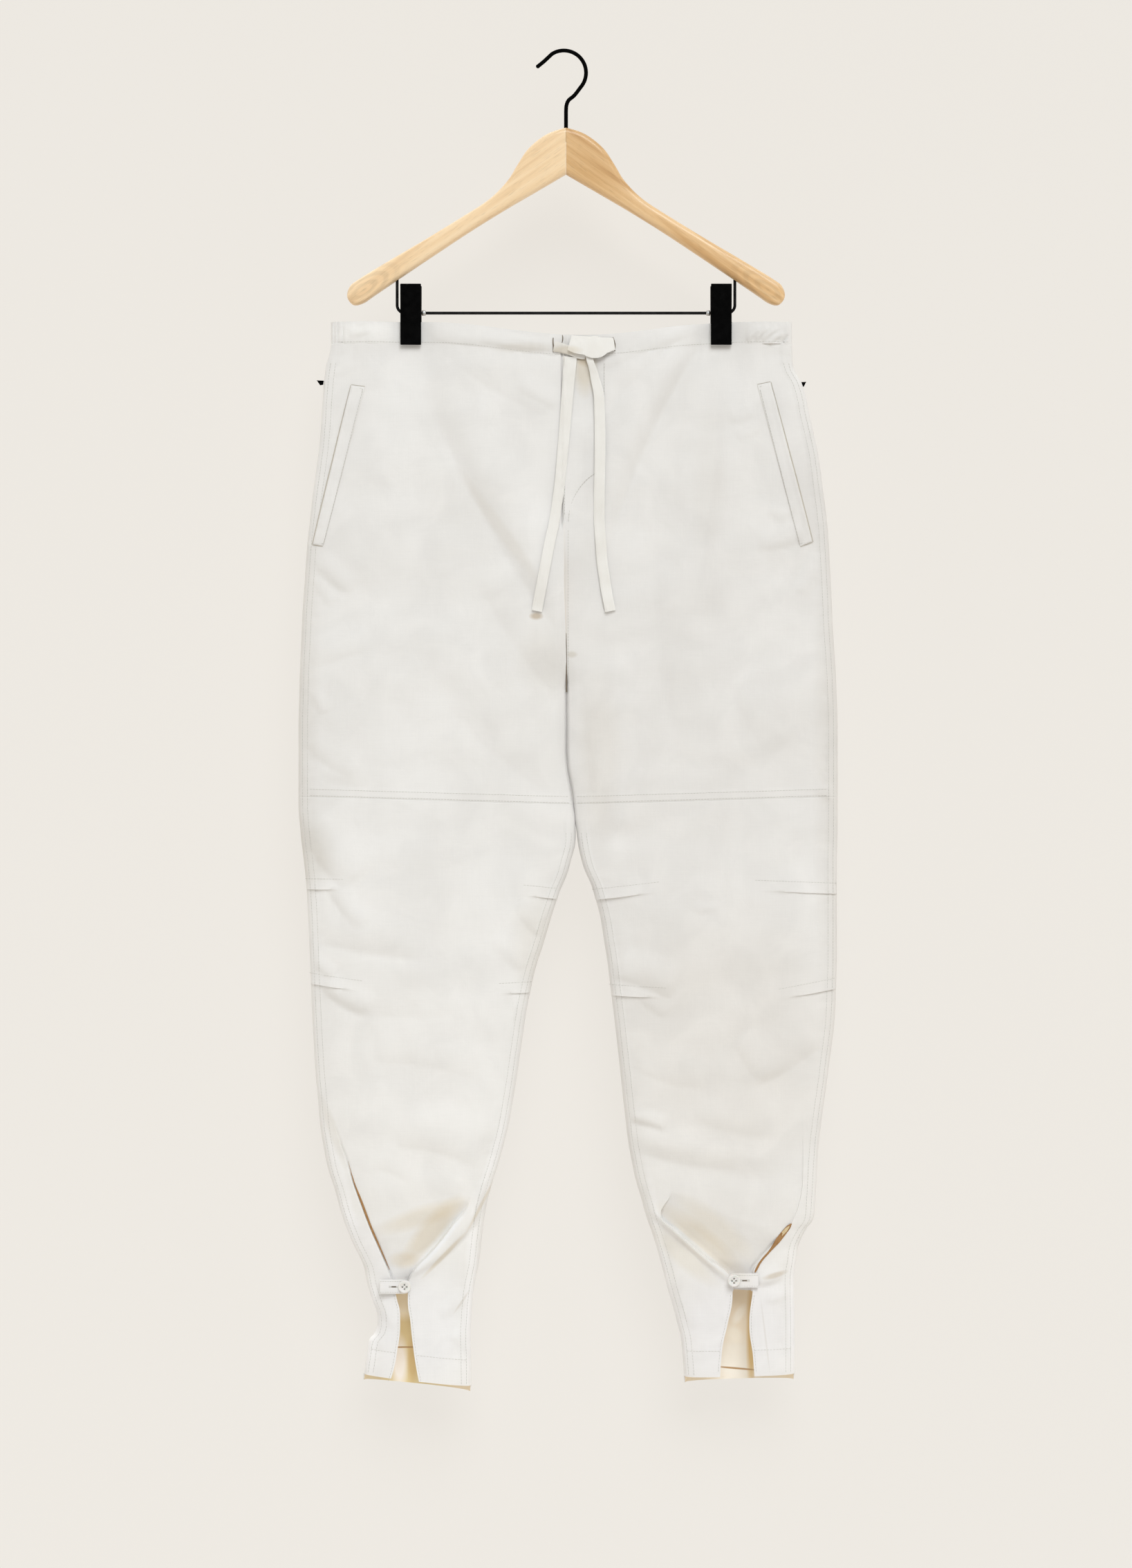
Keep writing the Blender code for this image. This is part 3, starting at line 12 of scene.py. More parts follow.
import bpy
import bmesh
import numpy as np
from mathutils import Matrix, Vector
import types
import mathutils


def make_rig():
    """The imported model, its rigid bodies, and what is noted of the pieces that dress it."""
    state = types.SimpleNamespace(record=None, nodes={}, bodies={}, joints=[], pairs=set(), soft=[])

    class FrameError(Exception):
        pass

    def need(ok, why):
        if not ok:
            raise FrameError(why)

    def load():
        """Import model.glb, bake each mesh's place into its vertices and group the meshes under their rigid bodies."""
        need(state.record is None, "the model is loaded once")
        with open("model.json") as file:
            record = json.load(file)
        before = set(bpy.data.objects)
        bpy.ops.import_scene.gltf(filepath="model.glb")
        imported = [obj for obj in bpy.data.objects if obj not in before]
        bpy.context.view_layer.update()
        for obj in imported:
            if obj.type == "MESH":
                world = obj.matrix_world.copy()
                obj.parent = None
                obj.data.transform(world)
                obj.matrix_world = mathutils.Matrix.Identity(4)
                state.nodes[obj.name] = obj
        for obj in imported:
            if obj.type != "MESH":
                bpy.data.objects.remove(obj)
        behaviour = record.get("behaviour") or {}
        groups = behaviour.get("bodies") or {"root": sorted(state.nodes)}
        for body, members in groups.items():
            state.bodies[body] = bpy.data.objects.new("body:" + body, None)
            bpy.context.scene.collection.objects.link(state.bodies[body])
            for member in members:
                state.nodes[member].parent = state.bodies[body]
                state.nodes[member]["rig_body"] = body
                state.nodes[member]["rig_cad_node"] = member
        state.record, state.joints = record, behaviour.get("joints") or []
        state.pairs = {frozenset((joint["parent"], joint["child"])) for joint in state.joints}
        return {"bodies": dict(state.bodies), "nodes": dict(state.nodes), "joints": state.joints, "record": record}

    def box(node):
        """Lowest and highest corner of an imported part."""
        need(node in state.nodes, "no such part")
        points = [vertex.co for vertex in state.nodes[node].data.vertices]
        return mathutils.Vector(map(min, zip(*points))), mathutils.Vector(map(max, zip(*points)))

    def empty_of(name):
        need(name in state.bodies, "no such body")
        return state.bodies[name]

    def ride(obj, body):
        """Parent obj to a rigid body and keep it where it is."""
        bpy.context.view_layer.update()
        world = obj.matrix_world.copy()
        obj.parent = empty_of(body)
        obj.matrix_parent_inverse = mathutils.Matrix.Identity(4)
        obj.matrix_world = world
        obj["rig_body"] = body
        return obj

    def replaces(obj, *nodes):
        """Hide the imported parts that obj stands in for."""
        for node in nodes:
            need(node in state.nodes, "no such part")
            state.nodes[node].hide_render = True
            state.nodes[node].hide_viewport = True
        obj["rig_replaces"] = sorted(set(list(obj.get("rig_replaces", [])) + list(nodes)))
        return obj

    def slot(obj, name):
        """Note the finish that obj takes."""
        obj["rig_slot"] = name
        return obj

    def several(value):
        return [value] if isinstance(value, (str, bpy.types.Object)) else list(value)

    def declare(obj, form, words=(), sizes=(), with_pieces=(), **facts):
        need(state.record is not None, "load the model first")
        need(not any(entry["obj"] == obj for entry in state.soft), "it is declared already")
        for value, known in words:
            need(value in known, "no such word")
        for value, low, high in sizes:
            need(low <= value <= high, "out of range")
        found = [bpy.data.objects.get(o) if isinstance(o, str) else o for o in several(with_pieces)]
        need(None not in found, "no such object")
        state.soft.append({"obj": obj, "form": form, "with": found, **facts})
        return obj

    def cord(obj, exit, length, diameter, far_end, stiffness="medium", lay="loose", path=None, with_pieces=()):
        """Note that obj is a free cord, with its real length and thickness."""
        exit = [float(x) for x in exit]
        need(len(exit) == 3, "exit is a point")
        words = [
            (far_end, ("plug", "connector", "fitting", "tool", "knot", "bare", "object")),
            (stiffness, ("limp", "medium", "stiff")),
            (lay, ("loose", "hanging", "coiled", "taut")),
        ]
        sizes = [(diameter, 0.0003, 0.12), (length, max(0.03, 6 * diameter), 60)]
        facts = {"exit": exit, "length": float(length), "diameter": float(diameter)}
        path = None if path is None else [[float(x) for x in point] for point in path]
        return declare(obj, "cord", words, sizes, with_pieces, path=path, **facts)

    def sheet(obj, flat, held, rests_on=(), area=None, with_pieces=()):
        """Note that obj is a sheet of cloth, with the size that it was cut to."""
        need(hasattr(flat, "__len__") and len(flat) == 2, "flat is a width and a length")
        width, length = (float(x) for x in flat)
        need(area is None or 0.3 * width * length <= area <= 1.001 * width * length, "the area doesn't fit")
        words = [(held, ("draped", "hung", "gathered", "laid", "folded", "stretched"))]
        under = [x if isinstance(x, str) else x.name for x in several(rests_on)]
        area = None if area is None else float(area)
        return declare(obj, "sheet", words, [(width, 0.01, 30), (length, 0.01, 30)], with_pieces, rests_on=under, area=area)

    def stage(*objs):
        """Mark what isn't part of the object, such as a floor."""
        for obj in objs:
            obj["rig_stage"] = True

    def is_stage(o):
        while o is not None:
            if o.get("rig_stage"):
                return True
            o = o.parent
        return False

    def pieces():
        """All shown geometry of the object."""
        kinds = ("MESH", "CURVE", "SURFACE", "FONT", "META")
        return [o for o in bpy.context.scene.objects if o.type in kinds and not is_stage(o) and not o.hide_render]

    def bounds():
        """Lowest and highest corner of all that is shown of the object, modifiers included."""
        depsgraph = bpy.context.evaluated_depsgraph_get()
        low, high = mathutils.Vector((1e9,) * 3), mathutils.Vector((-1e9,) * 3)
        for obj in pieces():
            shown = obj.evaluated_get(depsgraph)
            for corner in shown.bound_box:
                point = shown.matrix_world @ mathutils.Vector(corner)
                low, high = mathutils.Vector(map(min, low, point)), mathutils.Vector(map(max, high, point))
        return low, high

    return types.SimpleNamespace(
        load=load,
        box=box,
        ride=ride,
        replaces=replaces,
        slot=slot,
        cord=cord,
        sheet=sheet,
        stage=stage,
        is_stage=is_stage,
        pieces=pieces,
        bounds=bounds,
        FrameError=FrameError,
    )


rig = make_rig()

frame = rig.load()
cad_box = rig.bounds()

FRONT = -1
BACK = 1

# The construction's own sizes
CASING_WALL = 0.0024
CASING_RAISE = 0.0006
SEAM_GAP = 0.0003
EDGE_RADIUS = 0.003
LEAST_DEPTH = 0.0019
FLATNESS = 3.0
# Waist, where two clips hold the casing and it sags between them
WAIST_TOP = -0.2735
WAIST_SEAM = -0.2955
WAIST_SAG = 0.014
SAG_CENTRE = 0.015
SAG_HALF_WIDTH = 0.165
SAG_ENDS = -0.40
CLIP_X = 0.157
PINCH_WIDTH = 0.022
PINCH_ENDS = -0.37
GATHER_PITCH = 0.023
GATHER_DRIFT = 1.3
GATHER_DRIFT_RATE = 40.0
GATHER_ENDS = 0.014
GATHER_STARTS = 0.030

# Heights where the body parts into two legs
TURN_STARTS = -0.530
CROTCH = -0.6475
INSEAM_TURNS = 0.020

# Ankles: the front falls behind its two tension folds within FOLD_RUN of each
SCOOP_TOP = -1.150
SCOOP_BOTTOM = -1.235
SCOOP_DEPTH = 0.0125
SCOOP_OUTER_SHARE = 0.45
PLEAT_TOP = -1.070
PLEAT_STEP = 0.0018
PLEAT_SHARE = 0.75
FALL_STARTS = 0.0006
FALL_ENDS = 0.0022
FOLD_RUN = 0.0025
SLIT_TOP = -1.250

# The folds fade out under the casing
RELIEF_TOP = -0.330

# Drawstring tape
TAPE_WIDTH = 0.011

# Hanger
HANGER_THICKNESS = 0.014
HANGER_ROUNDING = 0.0055
HOOK_WIRE = 0.0020
BAR_WIRE = 0.0015
BAR_X = 0.171
BAR_Z = -0.264
BAR_BEND = 0.008
BAR_ENDS = -0.220
CLIP_WIDTH = 0.021
CLIP_ROUNDING = 0.0006
CLIP_TOP = -0.2355
CLIP_BOTTOM = -0.2968


def table(kind, rows):
    """Rows of plain numbers as rows of named ones."""
    return tuple(kind(*row) for row in rows)


# Each section: height, the outer and inner edge of the leg, and how far the front and back
# panels stand from the plane of the seams.
Section = namedtuple("Section", "z outer inner front back")
LEFT_SECTIONS = table(Section, (
    (-0.2700, -0.2370, -0.0020, 0.0120, 0.0120),
    (-0.2955, -0.2380, -0.0020, 0.0120, 0.0125),
    (-0.3210, -0.2436, -0.0020, 0.0150, 0.0165),
    (-0.3920, -0.2492, -0.0020, 0.0190, 0.0225),
    (-0.4634, -0.2583, -0.0020, 0.0220, 0.0265),
    (-0.5348, -0.2646, -0.0020, 0.0230, 0.0280),
    (-0.5940, -0.2680, -0.0002, 0.0230, 0.0270),
    (-0.6475, -0.2700, 0.0004, 0.0225, 0.0250),
    (-0.7010, -0.2709, 0.0004, 0.0215, 0.0230),
    (-0.7530, -0.2709, 0.0062, 0.0205, 0.0215),
    (-0.7875, -0.2690, 0.0098, 0.0205, 0.0205),
    (-0.8204, -0.2653, 0.0045, 0.0210, 0.0200),
    (-0.8519, -0.2625, -0.0070, 0.0220, 0.0195),
    (-0.9016, -0.2600, -0.0224, 0.0235, 0.0190),
    (-0.9436, -0.2583, -0.0345, 0.0230, 0.0190),
    (-1.0030, -0.2555, -0.0448, 0.0215, 0.0190),
    (-1.0584, -0.2513, -0.0532, 0.0215, 0.0180),
    (-1.1137, -0.2445, -0.0651, 0.0225, 0.0170),
    (-1.1536, -0.2335, -0.0770, 0.0220, 0.0160),
    (-1.1795, -0.2262, -0.0824, 0.0202, 0.0155),
    (-1.1935, -0.2210, -0.0843, 0.0192, 0.0152),
    (-1.2075, -0.2151, -0.0860, 0.0183, 0.0150),
    (-1.2215, -0.2082, -0.0875, 0.0176, 0.0147),
    (-1.2320, -0.2042, -0.0893, 0.0173, 0.0145),
    (-1.2425, -0.2023, -0.0915, 0.0170, 0.0145),
    (-1.2600, -0.1974, -0.0942, 0.0170, 0.0145),
    (-1.2845, -0.1911, -0.0960, 0.0175, 0.0150),
    (-1.2960, -0.1930, -0.0966, 0.0180, 0.0155),
    (-1.3040, -0.1995, -0.0966, 0.0180, 0.0160),
    (-1.3160, -0.2015, -0.0962, 0.0180, 0.0165),
    (-1.3540, -0.2070, -0.0958, 0.0180, 0.0170),
))
RIGHT_SECTIONS = table(Section, (
    (-0.2700, 0.2275, -0.0017, 0.0120, 0.0120),
    (-0.2955, 0.2289, -0.0017, 0.0120, 0.0125),
    (-0.3164, 0.2300, -0.0017, 0.0145, 0.0160),
    (-0.3367, 0.2395, -0.0017, 0.0160, 0.0180),
    (-0.3661, 0.2464, -0.0017, 0.0178, 0.0208),
    (-0.4382, 0.2597, -0.0017, 0.0212, 0.0252),
    (-0.5215, 0.2674, -0.0017, 0.0230, 0.0280),
    (-0.5824, 0.2702, -0.0003, 0.0230, 0.0275),
    (-0.6475, 0.2740, 0.0006, 0.0225, 0.0250),
    (-0.7010, 0.2751, 0.0006, 0.0215, 0.0230),
    (-0.7530, 0.2751, 0.0066, 0.0205, 0.0215),
    (-0.7850, 0.2751, 0.0102, 0.0205, 0.0205),
    (-0.8197, 0.2744, 0.0161, 0.0210, 0.0200),
    (-0.8463, 0.2744, 0.0266, 0.0220, 0.0195),
    (-0.8995, 0.2744, 0.0385, 0.0235, 0.0190),
    (-0.9457, 0.2735, 0.0448, 0.0230, 0.0190),
    (-1.0290, 0.2660, 0.0546, 0.0215, 0.0185),
    (-1.0800, 0.2590, 0.0602, 0.0220, 0.0175),
    (-1.1228, 0.2548, 0.0665, 0.0225, 0.0170),
    (-1.1634, 0.2525, 0.0770, 0.0215, 0.0160),
    (-1.1795, 0.2510, 0.0815, 0.0205, 0.0155),
    (-1.1928, 0.2425, 0.0862, 0.0195, 0.0155),
    (-1.2200, 0.2338, 0.0945, 0.0175, 0.0150),
    (-1.2523, 0.2310, 0.1030, 0.0170, 0.0145),
    (-1.2845, 0.2317, 0.1120, 0.0175, 0.0150),
    (-1.3083, 0.2317, 0.1169, 0.0180, 0.0160),
    (-1.3540, 0.2317, 0.1200, 0.0180, 0.0170),
))

# Two lines that run down each front below the knee. They close in on the ankle tab as the
# edges of its two tension folds, and go on below it as the edges of the slit.
FoldLine = namedtuple("FoldLine", "z outer inner")
LEFT_FOLD_LINES = table(FoldLine, (
    (-0.750, -0.2360, -0.0300),
    (-0.900, -0.2320, -0.0550),
    (-1.050, -0.2375, -0.0800),
    (-1.075, -0.2362, -0.0845),
    (-1.100, -0.2300, -0.0880),
    (-1.117, -0.2233, -0.0905),
    (-1.141, -0.2163, -0.0935),
    (-1.154, -0.2115, -0.0945),
    (-1.165, -0.2074, -0.0975),
    (-1.185, -0.2000, -0.1125),
    (-1.202, -0.1930, -0.1256),
    (-1.214, -0.1880, -0.1358),
    (-1.237, -0.1785, -0.1550),
    (-1.246, -0.1750, -0.1583),
    (-1.260, -0.1708, -0.1596),
    (-1.281, -0.1673, -0.1572),
    (-1.312, -0.1701, -0.1537),
    (-1.350, -0.1790, -0.1472),
))
RIGHT_FOLD_LINES = table(FoldLine, (
    (-0.750, 0.2410, 0.0400),
    (-0.900, 0.2400, 0.0700),
    (-1.050, 0.2400, 0.0880),
    (-1.100, 0.2400, 0.0960),
    (-1.140, 0.2395, 0.1000),
    (-1.154, 0.2380, 0.1040),
    (-1.165, 0.2355, 0.0985),
    (-1.176, 0.2318, 0.0945),
    (-1.190, 0.2245, 0.1080),
    (-1.207, 0.2100, 0.1262),
    (-1.222, 0.1975, 0.1450),
    (-1.237, 0.1890, 0.1640),
    (-1.252, 0.1883, 0.1680),
    (-1.285, 0.1848, 0.1631),
    (-1.316, 0.1883, 0.1570),
    (-1.350, 0.1908, 0.1550),
))
# The knee tucks: short pleats whose lower edge runs from a seam towards the middle
Tuck = namedtuple("Tuck", "x0 z0 x1 z1 height")
LEFT_TUCKS = table(Tuck, (
    (-0.2640, -0.8463, -0.2240, -0.8470, 0.0016),
    (-0.0100, -0.8561, -0.0430, -0.8526, 0.0014),
    (-0.2600, -0.9415, -0.2050, -0.9492, 0.0016),
    (-0.0340, -0.9506, -0.0680, -0.9520, 0.0014),
))
RIGHT_TUCKS = table(Tuck, (
    (0.0260, -0.8575, 0.0940, -0.8495, 0.0020),
    (0.2740, -0.8510, 0.1900, -0.8477, 0.0014),
    (0.0430, -0.9534, 0.1010, -0.9562, 0.0018),
    (0.2720, -0.9470, 0.2140, -0.9576, 0.0016),
))
TUCK_REACH = 0.009

# The large folds: a soft ridge, or a trough where the height is negative, along each line
Fold = namedtuple("Fold", "x0 z0 x1 z1 width height")
LEFT_FRONT_FOLDS = table(Fold, (
    (-0.140, -0.350, -0.030, -0.560, 0.013, -0.0030),
    (-0.110, -0.350, -0.015, -0.540, 0.015, 0.0022),
    (-0.165, -0.320, -0.205, -0.400, 0.014, -0.0015),
    (-0.255, -0.515, -0.225, -0.548, 0.010, -0.0018),
    (-0.225, -0.595, -0.165, -0.620, 0.018, -0.0018),
    (-0.150, -0.560, -0.040, -0.720, 0.020, 0.0020),
    (-0.262, -0.700, -0.222, -0.740, 0.013, -0.0022),
    (-0.115, -0.650, -0.030, -0.745, 0.016, -0.0020),
    (-0.255, -0.822, -0.228, -0.842, 0.012, -0.0022),
    (-0.250, -0.896, -0.165, -0.911, 0.012, -0.0028),
    (-0.245, -0.915, -0.150, -0.930, 0.012, 0.0022),
    (-0.165, -0.946, -0.080, -0.950, 0.012, -0.0016),
    (-0.245, -0.955, -0.205, -0.972, 0.011, -0.0026),
    (-0.185, -1.000, -0.120, -0.985, 0.020, 0.0020),
    (-0.190, -1.030, -0.100, -1.045, 0.016, -0.0018),
    (-0.205, -1.085, -0.105, -1.075, 0.016, 0.0025),
    (-0.180, -1.118, -0.105, -1.128, 0.014, -0.0018),
    (-0.205, -1.150, -0.110, -1.140, 0.015, 0.0030),
    (-0.150, -1.236, -0.070, -1.138, 0.009, 0.0035),
    (-0.140, -1.248, -0.093, -1.186, 0.008, -0.0025),
    (-0.192, -1.262, -0.180, -1.310, 0.008, 0.0016),
    (-0.130, -1.262, -0.112, -1.320, 0.010, -0.0016),
))
RIGHT_FRONT_FOLDS = table(Fold, (
    (0.120, -0.325, 0.040, -0.470, 0.013, -0.0024),
    (0.105, -0.310, 0.022, -0.440, 0.014, 0.0020),
    (0.172, -0.320, 0.160, -0.400, 0.014, -0.0018),
    (0.222, -0.312, 0.198, -0.300, 0.010, -0.0016),
    (0.225, -0.520, 0.190, -0.600, 0.018, -0.0016),
    (0.034, -0.600, 0.058, -0.760, 0.014, -0.0034),
    (0.016, -0.640, 0.036, -0.780, 0.011, 0.0022),
    (0.075, -0.560, 0.110, -0.740, 0.022, 0.0020),
    (0.205, -0.690, 0.160, -0.760, 0.020, -0.0018),
    (0.058, -0.790, 0.072, -0.840, 0.013, -0.0024),
    (0.060, -0.866, 0.076, -0.935, 0.010, -0.0024),
    (0.110, -0.875, 0.160, -0.890, 0.018, 0.0018),
    (0.062, -0.925, 0.100, -0.962, 0.011, -0.0030),
    (0.075, -1.010, 0.150, -1.058, 0.012, -0.0026),
    (0.150, -1.025, 0.195, -1.055, 0.014, 0.0022),
    (0.252, -1.010, 0.203, -1.052, 0.013, -0.0024),
    (0.063, -1.080, 0.105, -1.092, 0.010, -0.0028),
    (0.080, -1.114, 0.200, -1.140, 0.011, -0.0028),
    (0.085, -1.098, 0.210, -1.122, 0.013, 0.0026),
    (0.120, -1.150, 0.225, -1.162, 0.014, 0.0026),
    (0.094, -1.170, 0.168, -1.238, 0.008, 0.0035),
    (0.222, -1.218, 0.196, -1.244, 0.008, 0.0032),
    (0.140, -1.262, 0.128, -1.320, 0.009, -0.0016),
    (0.206, -1.262, 0.212, -1.330, 0.009, 0.0016),
))
LEFT_BACK_FOLDS = table(Fold, (
    (-0.150, -0.340, -0.040, -0.520, 0.020, -0.0026),
    (-0.110, -0.480, -0.012, -0.640, 0.020, 0.0024),
    (-0.240, -0.690, -0.150, -0.760, 0.020, -0.0022),
    (-0.235, -0.880, -0.120, -0.900, 0.018, -0.0026),
    (-0.070, -0.930, -0.190, -0.965, 0.018, -0.0024),
    (-0.220, -1.060, -0.110, -1.085, 0.018, 0.0022),
    (-0.190, -1.150, -0.130, -1.240, 0.016, -0.0022),
))
RIGHT_BACK_FOLDS = table(Fold, (
    (0.150, -0.340, 0.045, -0.530, 0.020, -0.0024),
    (0.120, -0.500, 0.014, -0.645, 0.020, 0.0022),
    (0.245, -0.700, 0.160, -0.780, 0.020, -0.0022),
    (0.235, -0.870, 0.110, -0.895, 0.018, -0.0026),
    (0.080, -0.940, 0.205, -0.955, 0.018, -0.0022),
    (0.110, -1.050, 0.225, -1.080, 0.018, 0.0022),
    (0.215, -1.150, 0.160, -1.240, 0.016, -0.0022),
))

# What the scene adds to the cloth: its real thickness, the size of its cells, and its relief
THICKNESS = 0.0007
HEM_THICKNESS = 0.0012
FRONT_CELL = 0.0026
BACK_CELL = 0.0038
CASING_CELL = 0.0012
CRISP = 0.0004
STRIP_STARTS = 0.0034
STRIP_ENDS = 0.0112
STRIP_HEIGHT = 0.00016
INSEAM_SHARE = 1.6
INSEAM_STRIP_TOP = -0.780
INSEAM_FADE = 0.004
PUCKER_PITCH = 0.0105
PUCKER_HEIGHT = 0.00016
# How far the puckers reach from a side seam, the hem's seam and the knee seam
SIDE_PUCKER_RUN = 0.007
HEM_PUCKER_RUN = 0.006
KNEE_PUCKER_RUN = 0.008
HEM_WIDTH = 0.0280
HEM_HEIGHT = 0.0001
HEM_THINS = (0.002, 0.012)
HEM_LAST_CELL = 0.0012
STRIP_FADES = (-1.090, -0.980)
BACK_DROP = 0.0068
UNDERLAP = 0.0040
KNEE_UNDER = 0.0009
WAIST_UNDER = 0.0018
FLY_LINE = -0.0042
FLY_GROOVE = 0.0024
FLY_GROOVE_TOP = WAIST_SEAM - 0.012
KNEE_LAP = 0.0090
KNEE_LAP_HEIGHT = 0.00014
KNEE_DIP = 0.00018
SEAM_GROOVE = 0.0007
TUCK_DROP = 0.0014
TUCK_TIP = 0.0009
TUCK_STRENGTH = 1.35
FOLD_SHARE = 0.5
RELIEF_REACH = 0.010
DRAPE_FALL = 3.2
SCOOP_STEEPNESS = 1.5
SCOOP_CORNER = 0.0030
CORNER_RUN = 0.014
GAPE_STARTS = 0.012
GAPE_ENDS = 0.025
SLIT_FADE = 0.012
CASING_THINNER = 0.8
CASING_STEP = 0.00012
CASING_RIPPLE = 0.00022
CASING_ROLL = 0.0009
FINE_GATHER_PITCH = 0.0091
FOLD_LAP = 0.0016
FOLD_LAP_RUN = 0.006
DROOP_RUN = 0.002
UNEVENNESS = 0.00030
UNEVEN_WAVES = 16
UNEVEN_LENGTHS = (0.022, 0.120)
GATHER_RUN = 0.022
GATHER_DEPTH = 0.00016
BELOW_GATHER_PITCH = 0.0135

# Drawn folds that are finer than the solids'. Each has a crisp foot line from (x0, z0) to (x1, z1),
# which bends by bow to its right hand. From it the cloth rises by height within the distance rise,
# to the line's right hand, or to its left hand where rise is negative, and then falls off softly.
Drape = namedtuple("Drape", "x0 z0 x1 z1 bow rise height")
LEFT_FRONT_DRAPES = table(Drape, (
    (-0.1250, -0.385, -0.017, -0.575, 0.006, -0.022, 0.0052),
    (-0.118, -0.312, -0.030, -0.366, 0.004, -0.022, 0.0026),
    (-0.048, -0.345, -0.012, -0.364, 0.000, -0.008, 0.0014),
    (-0.2080, -0.318, -0.232, -0.372, 0.002, -0.010, 0.0014),
    (-0.2540, -0.522, -0.2240, -0.548, 0.002, -0.008, 0.0029),
    (-0.2560, -0.540, -0.2420, -0.560, 0.000, -0.006, 0.0017),
    (-0.082, -0.552, -0.004, -0.662, 0.004, -0.034, 0.0049),
    (-0.2500, -0.622, -0.200, -0.6060, 0.001, -0.012, 0.0019),
    (-0.2590, -0.652, -0.2500, -0.670, 0.000, -0.006, 0.0020),
    (-0.115, -0.668, -0.030, -0.742, 0.004, -0.030, 0.0028),
    (-0.150, -0.610, -0.100, -0.665, 0.003, -0.040, 0.0016),
    (-0.262, -0.706, -0.222, -0.733, 0.002, -0.010, 0.0026),
    (-0.244, -0.736, -0.212, -0.742, 0.001, -0.008, 0.0013),
    (-0.2640, -0.792, -0.2300, -0.842, 0.005, -0.018, 0.0052),
    (-0.2400, -0.850, -0.2140, -0.884, 0.002, -0.009, 0.0029),
    (-0.2436, -0.9030, -0.155, -0.917, 0.002, -0.015, 0.0038),
    (-0.2570, -0.925, -0.2380, -0.9370, 0.001, -0.006, 0.0026),
    (-0.2440, -0.952, -0.2060, -0.9740, 0.002, -0.009, 0.0038),
    (-0.212, -0.972, -0.118, -0.974, 0.003, -0.020, 0.0022),
    (-0.0500, -0.868, -0.026, -0.898, 0.003, -0.010, 0.0026),
    (-0.0740, -0.905, -0.042, -0.934, 0.002, -0.012, 0.0020),
    (-0.0560, -0.960, -0.048, -0.990, 0.002, -0.007, 0.0017),
    (-0.185, -1.022, -0.100, -1.036, -0.003, -0.020, 0.0023),
    (-0.165, -1.108, -0.096, -1.126, -0.004, -0.018, 0.0035),
    (-0.1930, -1.1300, -0.1600, -1.1420, -0.002, -0.012, 0.0020),
    (-0.1210, -1.2800, -0.0990, -1.2640, 0.001, -0.006, 0.0020),
    (-0.1180, -1.3030, -0.1020, -1.3130, 0.000, -0.007, 0.0017),
    (-0.1540, -1.2376, -0.0700, -1.1389, 0.0144, -0.006, 0.0042),
    (-0.1900, -1.2680, -0.1780, -1.2900, 0.001, -0.006, 0.0017),
))
RIGHT_FRONT_DRAPES = table(Drape, (
    (0.140, -0.2850, 0.0300, -0.3265, 0.001, 0.009, 0.0020),
    (0.117, -0.2900, 0.0504, -0.3535, 0.002, 0.012, 0.0023),
    (0.1330, -0.3000, 0.0450, -0.4950, 0.007, 0.016, 0.0070),
    (0.1554, -0.3500, 0.1330, -0.5350, -0.004, -0.015, 0.0032),
    (0.1720, -0.3790, 0.1900, -0.3700, 0.001, -0.007, 0.0014),
    (0.1780, -0.3960, 0.1960, -0.3860, 0.001, -0.007, 0.0014),
    (0.2040, -0.4690, 0.2180, -0.4780, 0.001, -0.008, 0.0017),
    (0.1990, -0.5060, 0.2380, -0.4960, 0.002, -0.009, 0.0026),
    (0.2300, -0.5420, 0.2430, -0.5080, 0.002, 0.007, 0.0020),
    (0.0140, -0.6320, 0.0330, -0.7750, 0.003, -0.030, 0.0055),
    (0.0900, -0.5150, 0.1130, -0.7100, 0.006, -0.050, 0.0058),
    (0.1650, -0.6450, 0.1960, -0.7040, 0.003, -0.022, 0.0023),
    (0.1300, -0.8700, 0.1510, -0.8695, 0.001, -0.004, 0.0014),
    (0.2500, -0.7500, 0.2700, -0.7600, 0.001, -0.006, 0.0017),
    (0.0520, -0.9400, 0.1000, -0.9560, -0.002, -0.013, 0.0049),
    (0.0740, -0.9600, 0.0960, -0.9760, 0.001, -0.009, 0.0023),
    (0.0714, -1.0300, 0.1300, -1.0480, 0.003, -0.013, 0.0026),
    (0.1694, -1.0045, 0.1920, -1.0400, 0.002, -0.013, 0.0029),
    (0.1920, -1.0470, 0.2520, -1.0100, 0.002, -0.016, 0.0029),
    (0.0640, -1.0830, 0.0960, -1.0900, -0.001, -0.006, 0.0041),
    (0.0770, -1.1130, 0.1650, -1.1300, 0.004, -0.014, 0.0026),
    (0.1350, -1.0830, 0.2050, -1.0980, 0.003, -0.016, 0.0020),
    (0.0880, -1.1790, 0.1610, -1.2430, 0.0000, -0.004, 0.0036),
    (0.1090, -1.2640, 0.1250, -1.2900, 0.001, -0.007, 0.0014),
    (0.1960, -1.2480, 0.2180, -1.2420, 0.001, -0.007, 0.0043),
    (0.2060, -1.2660, 0.2260, -1.2600, 0.001, -0.006, 0.0020),
))
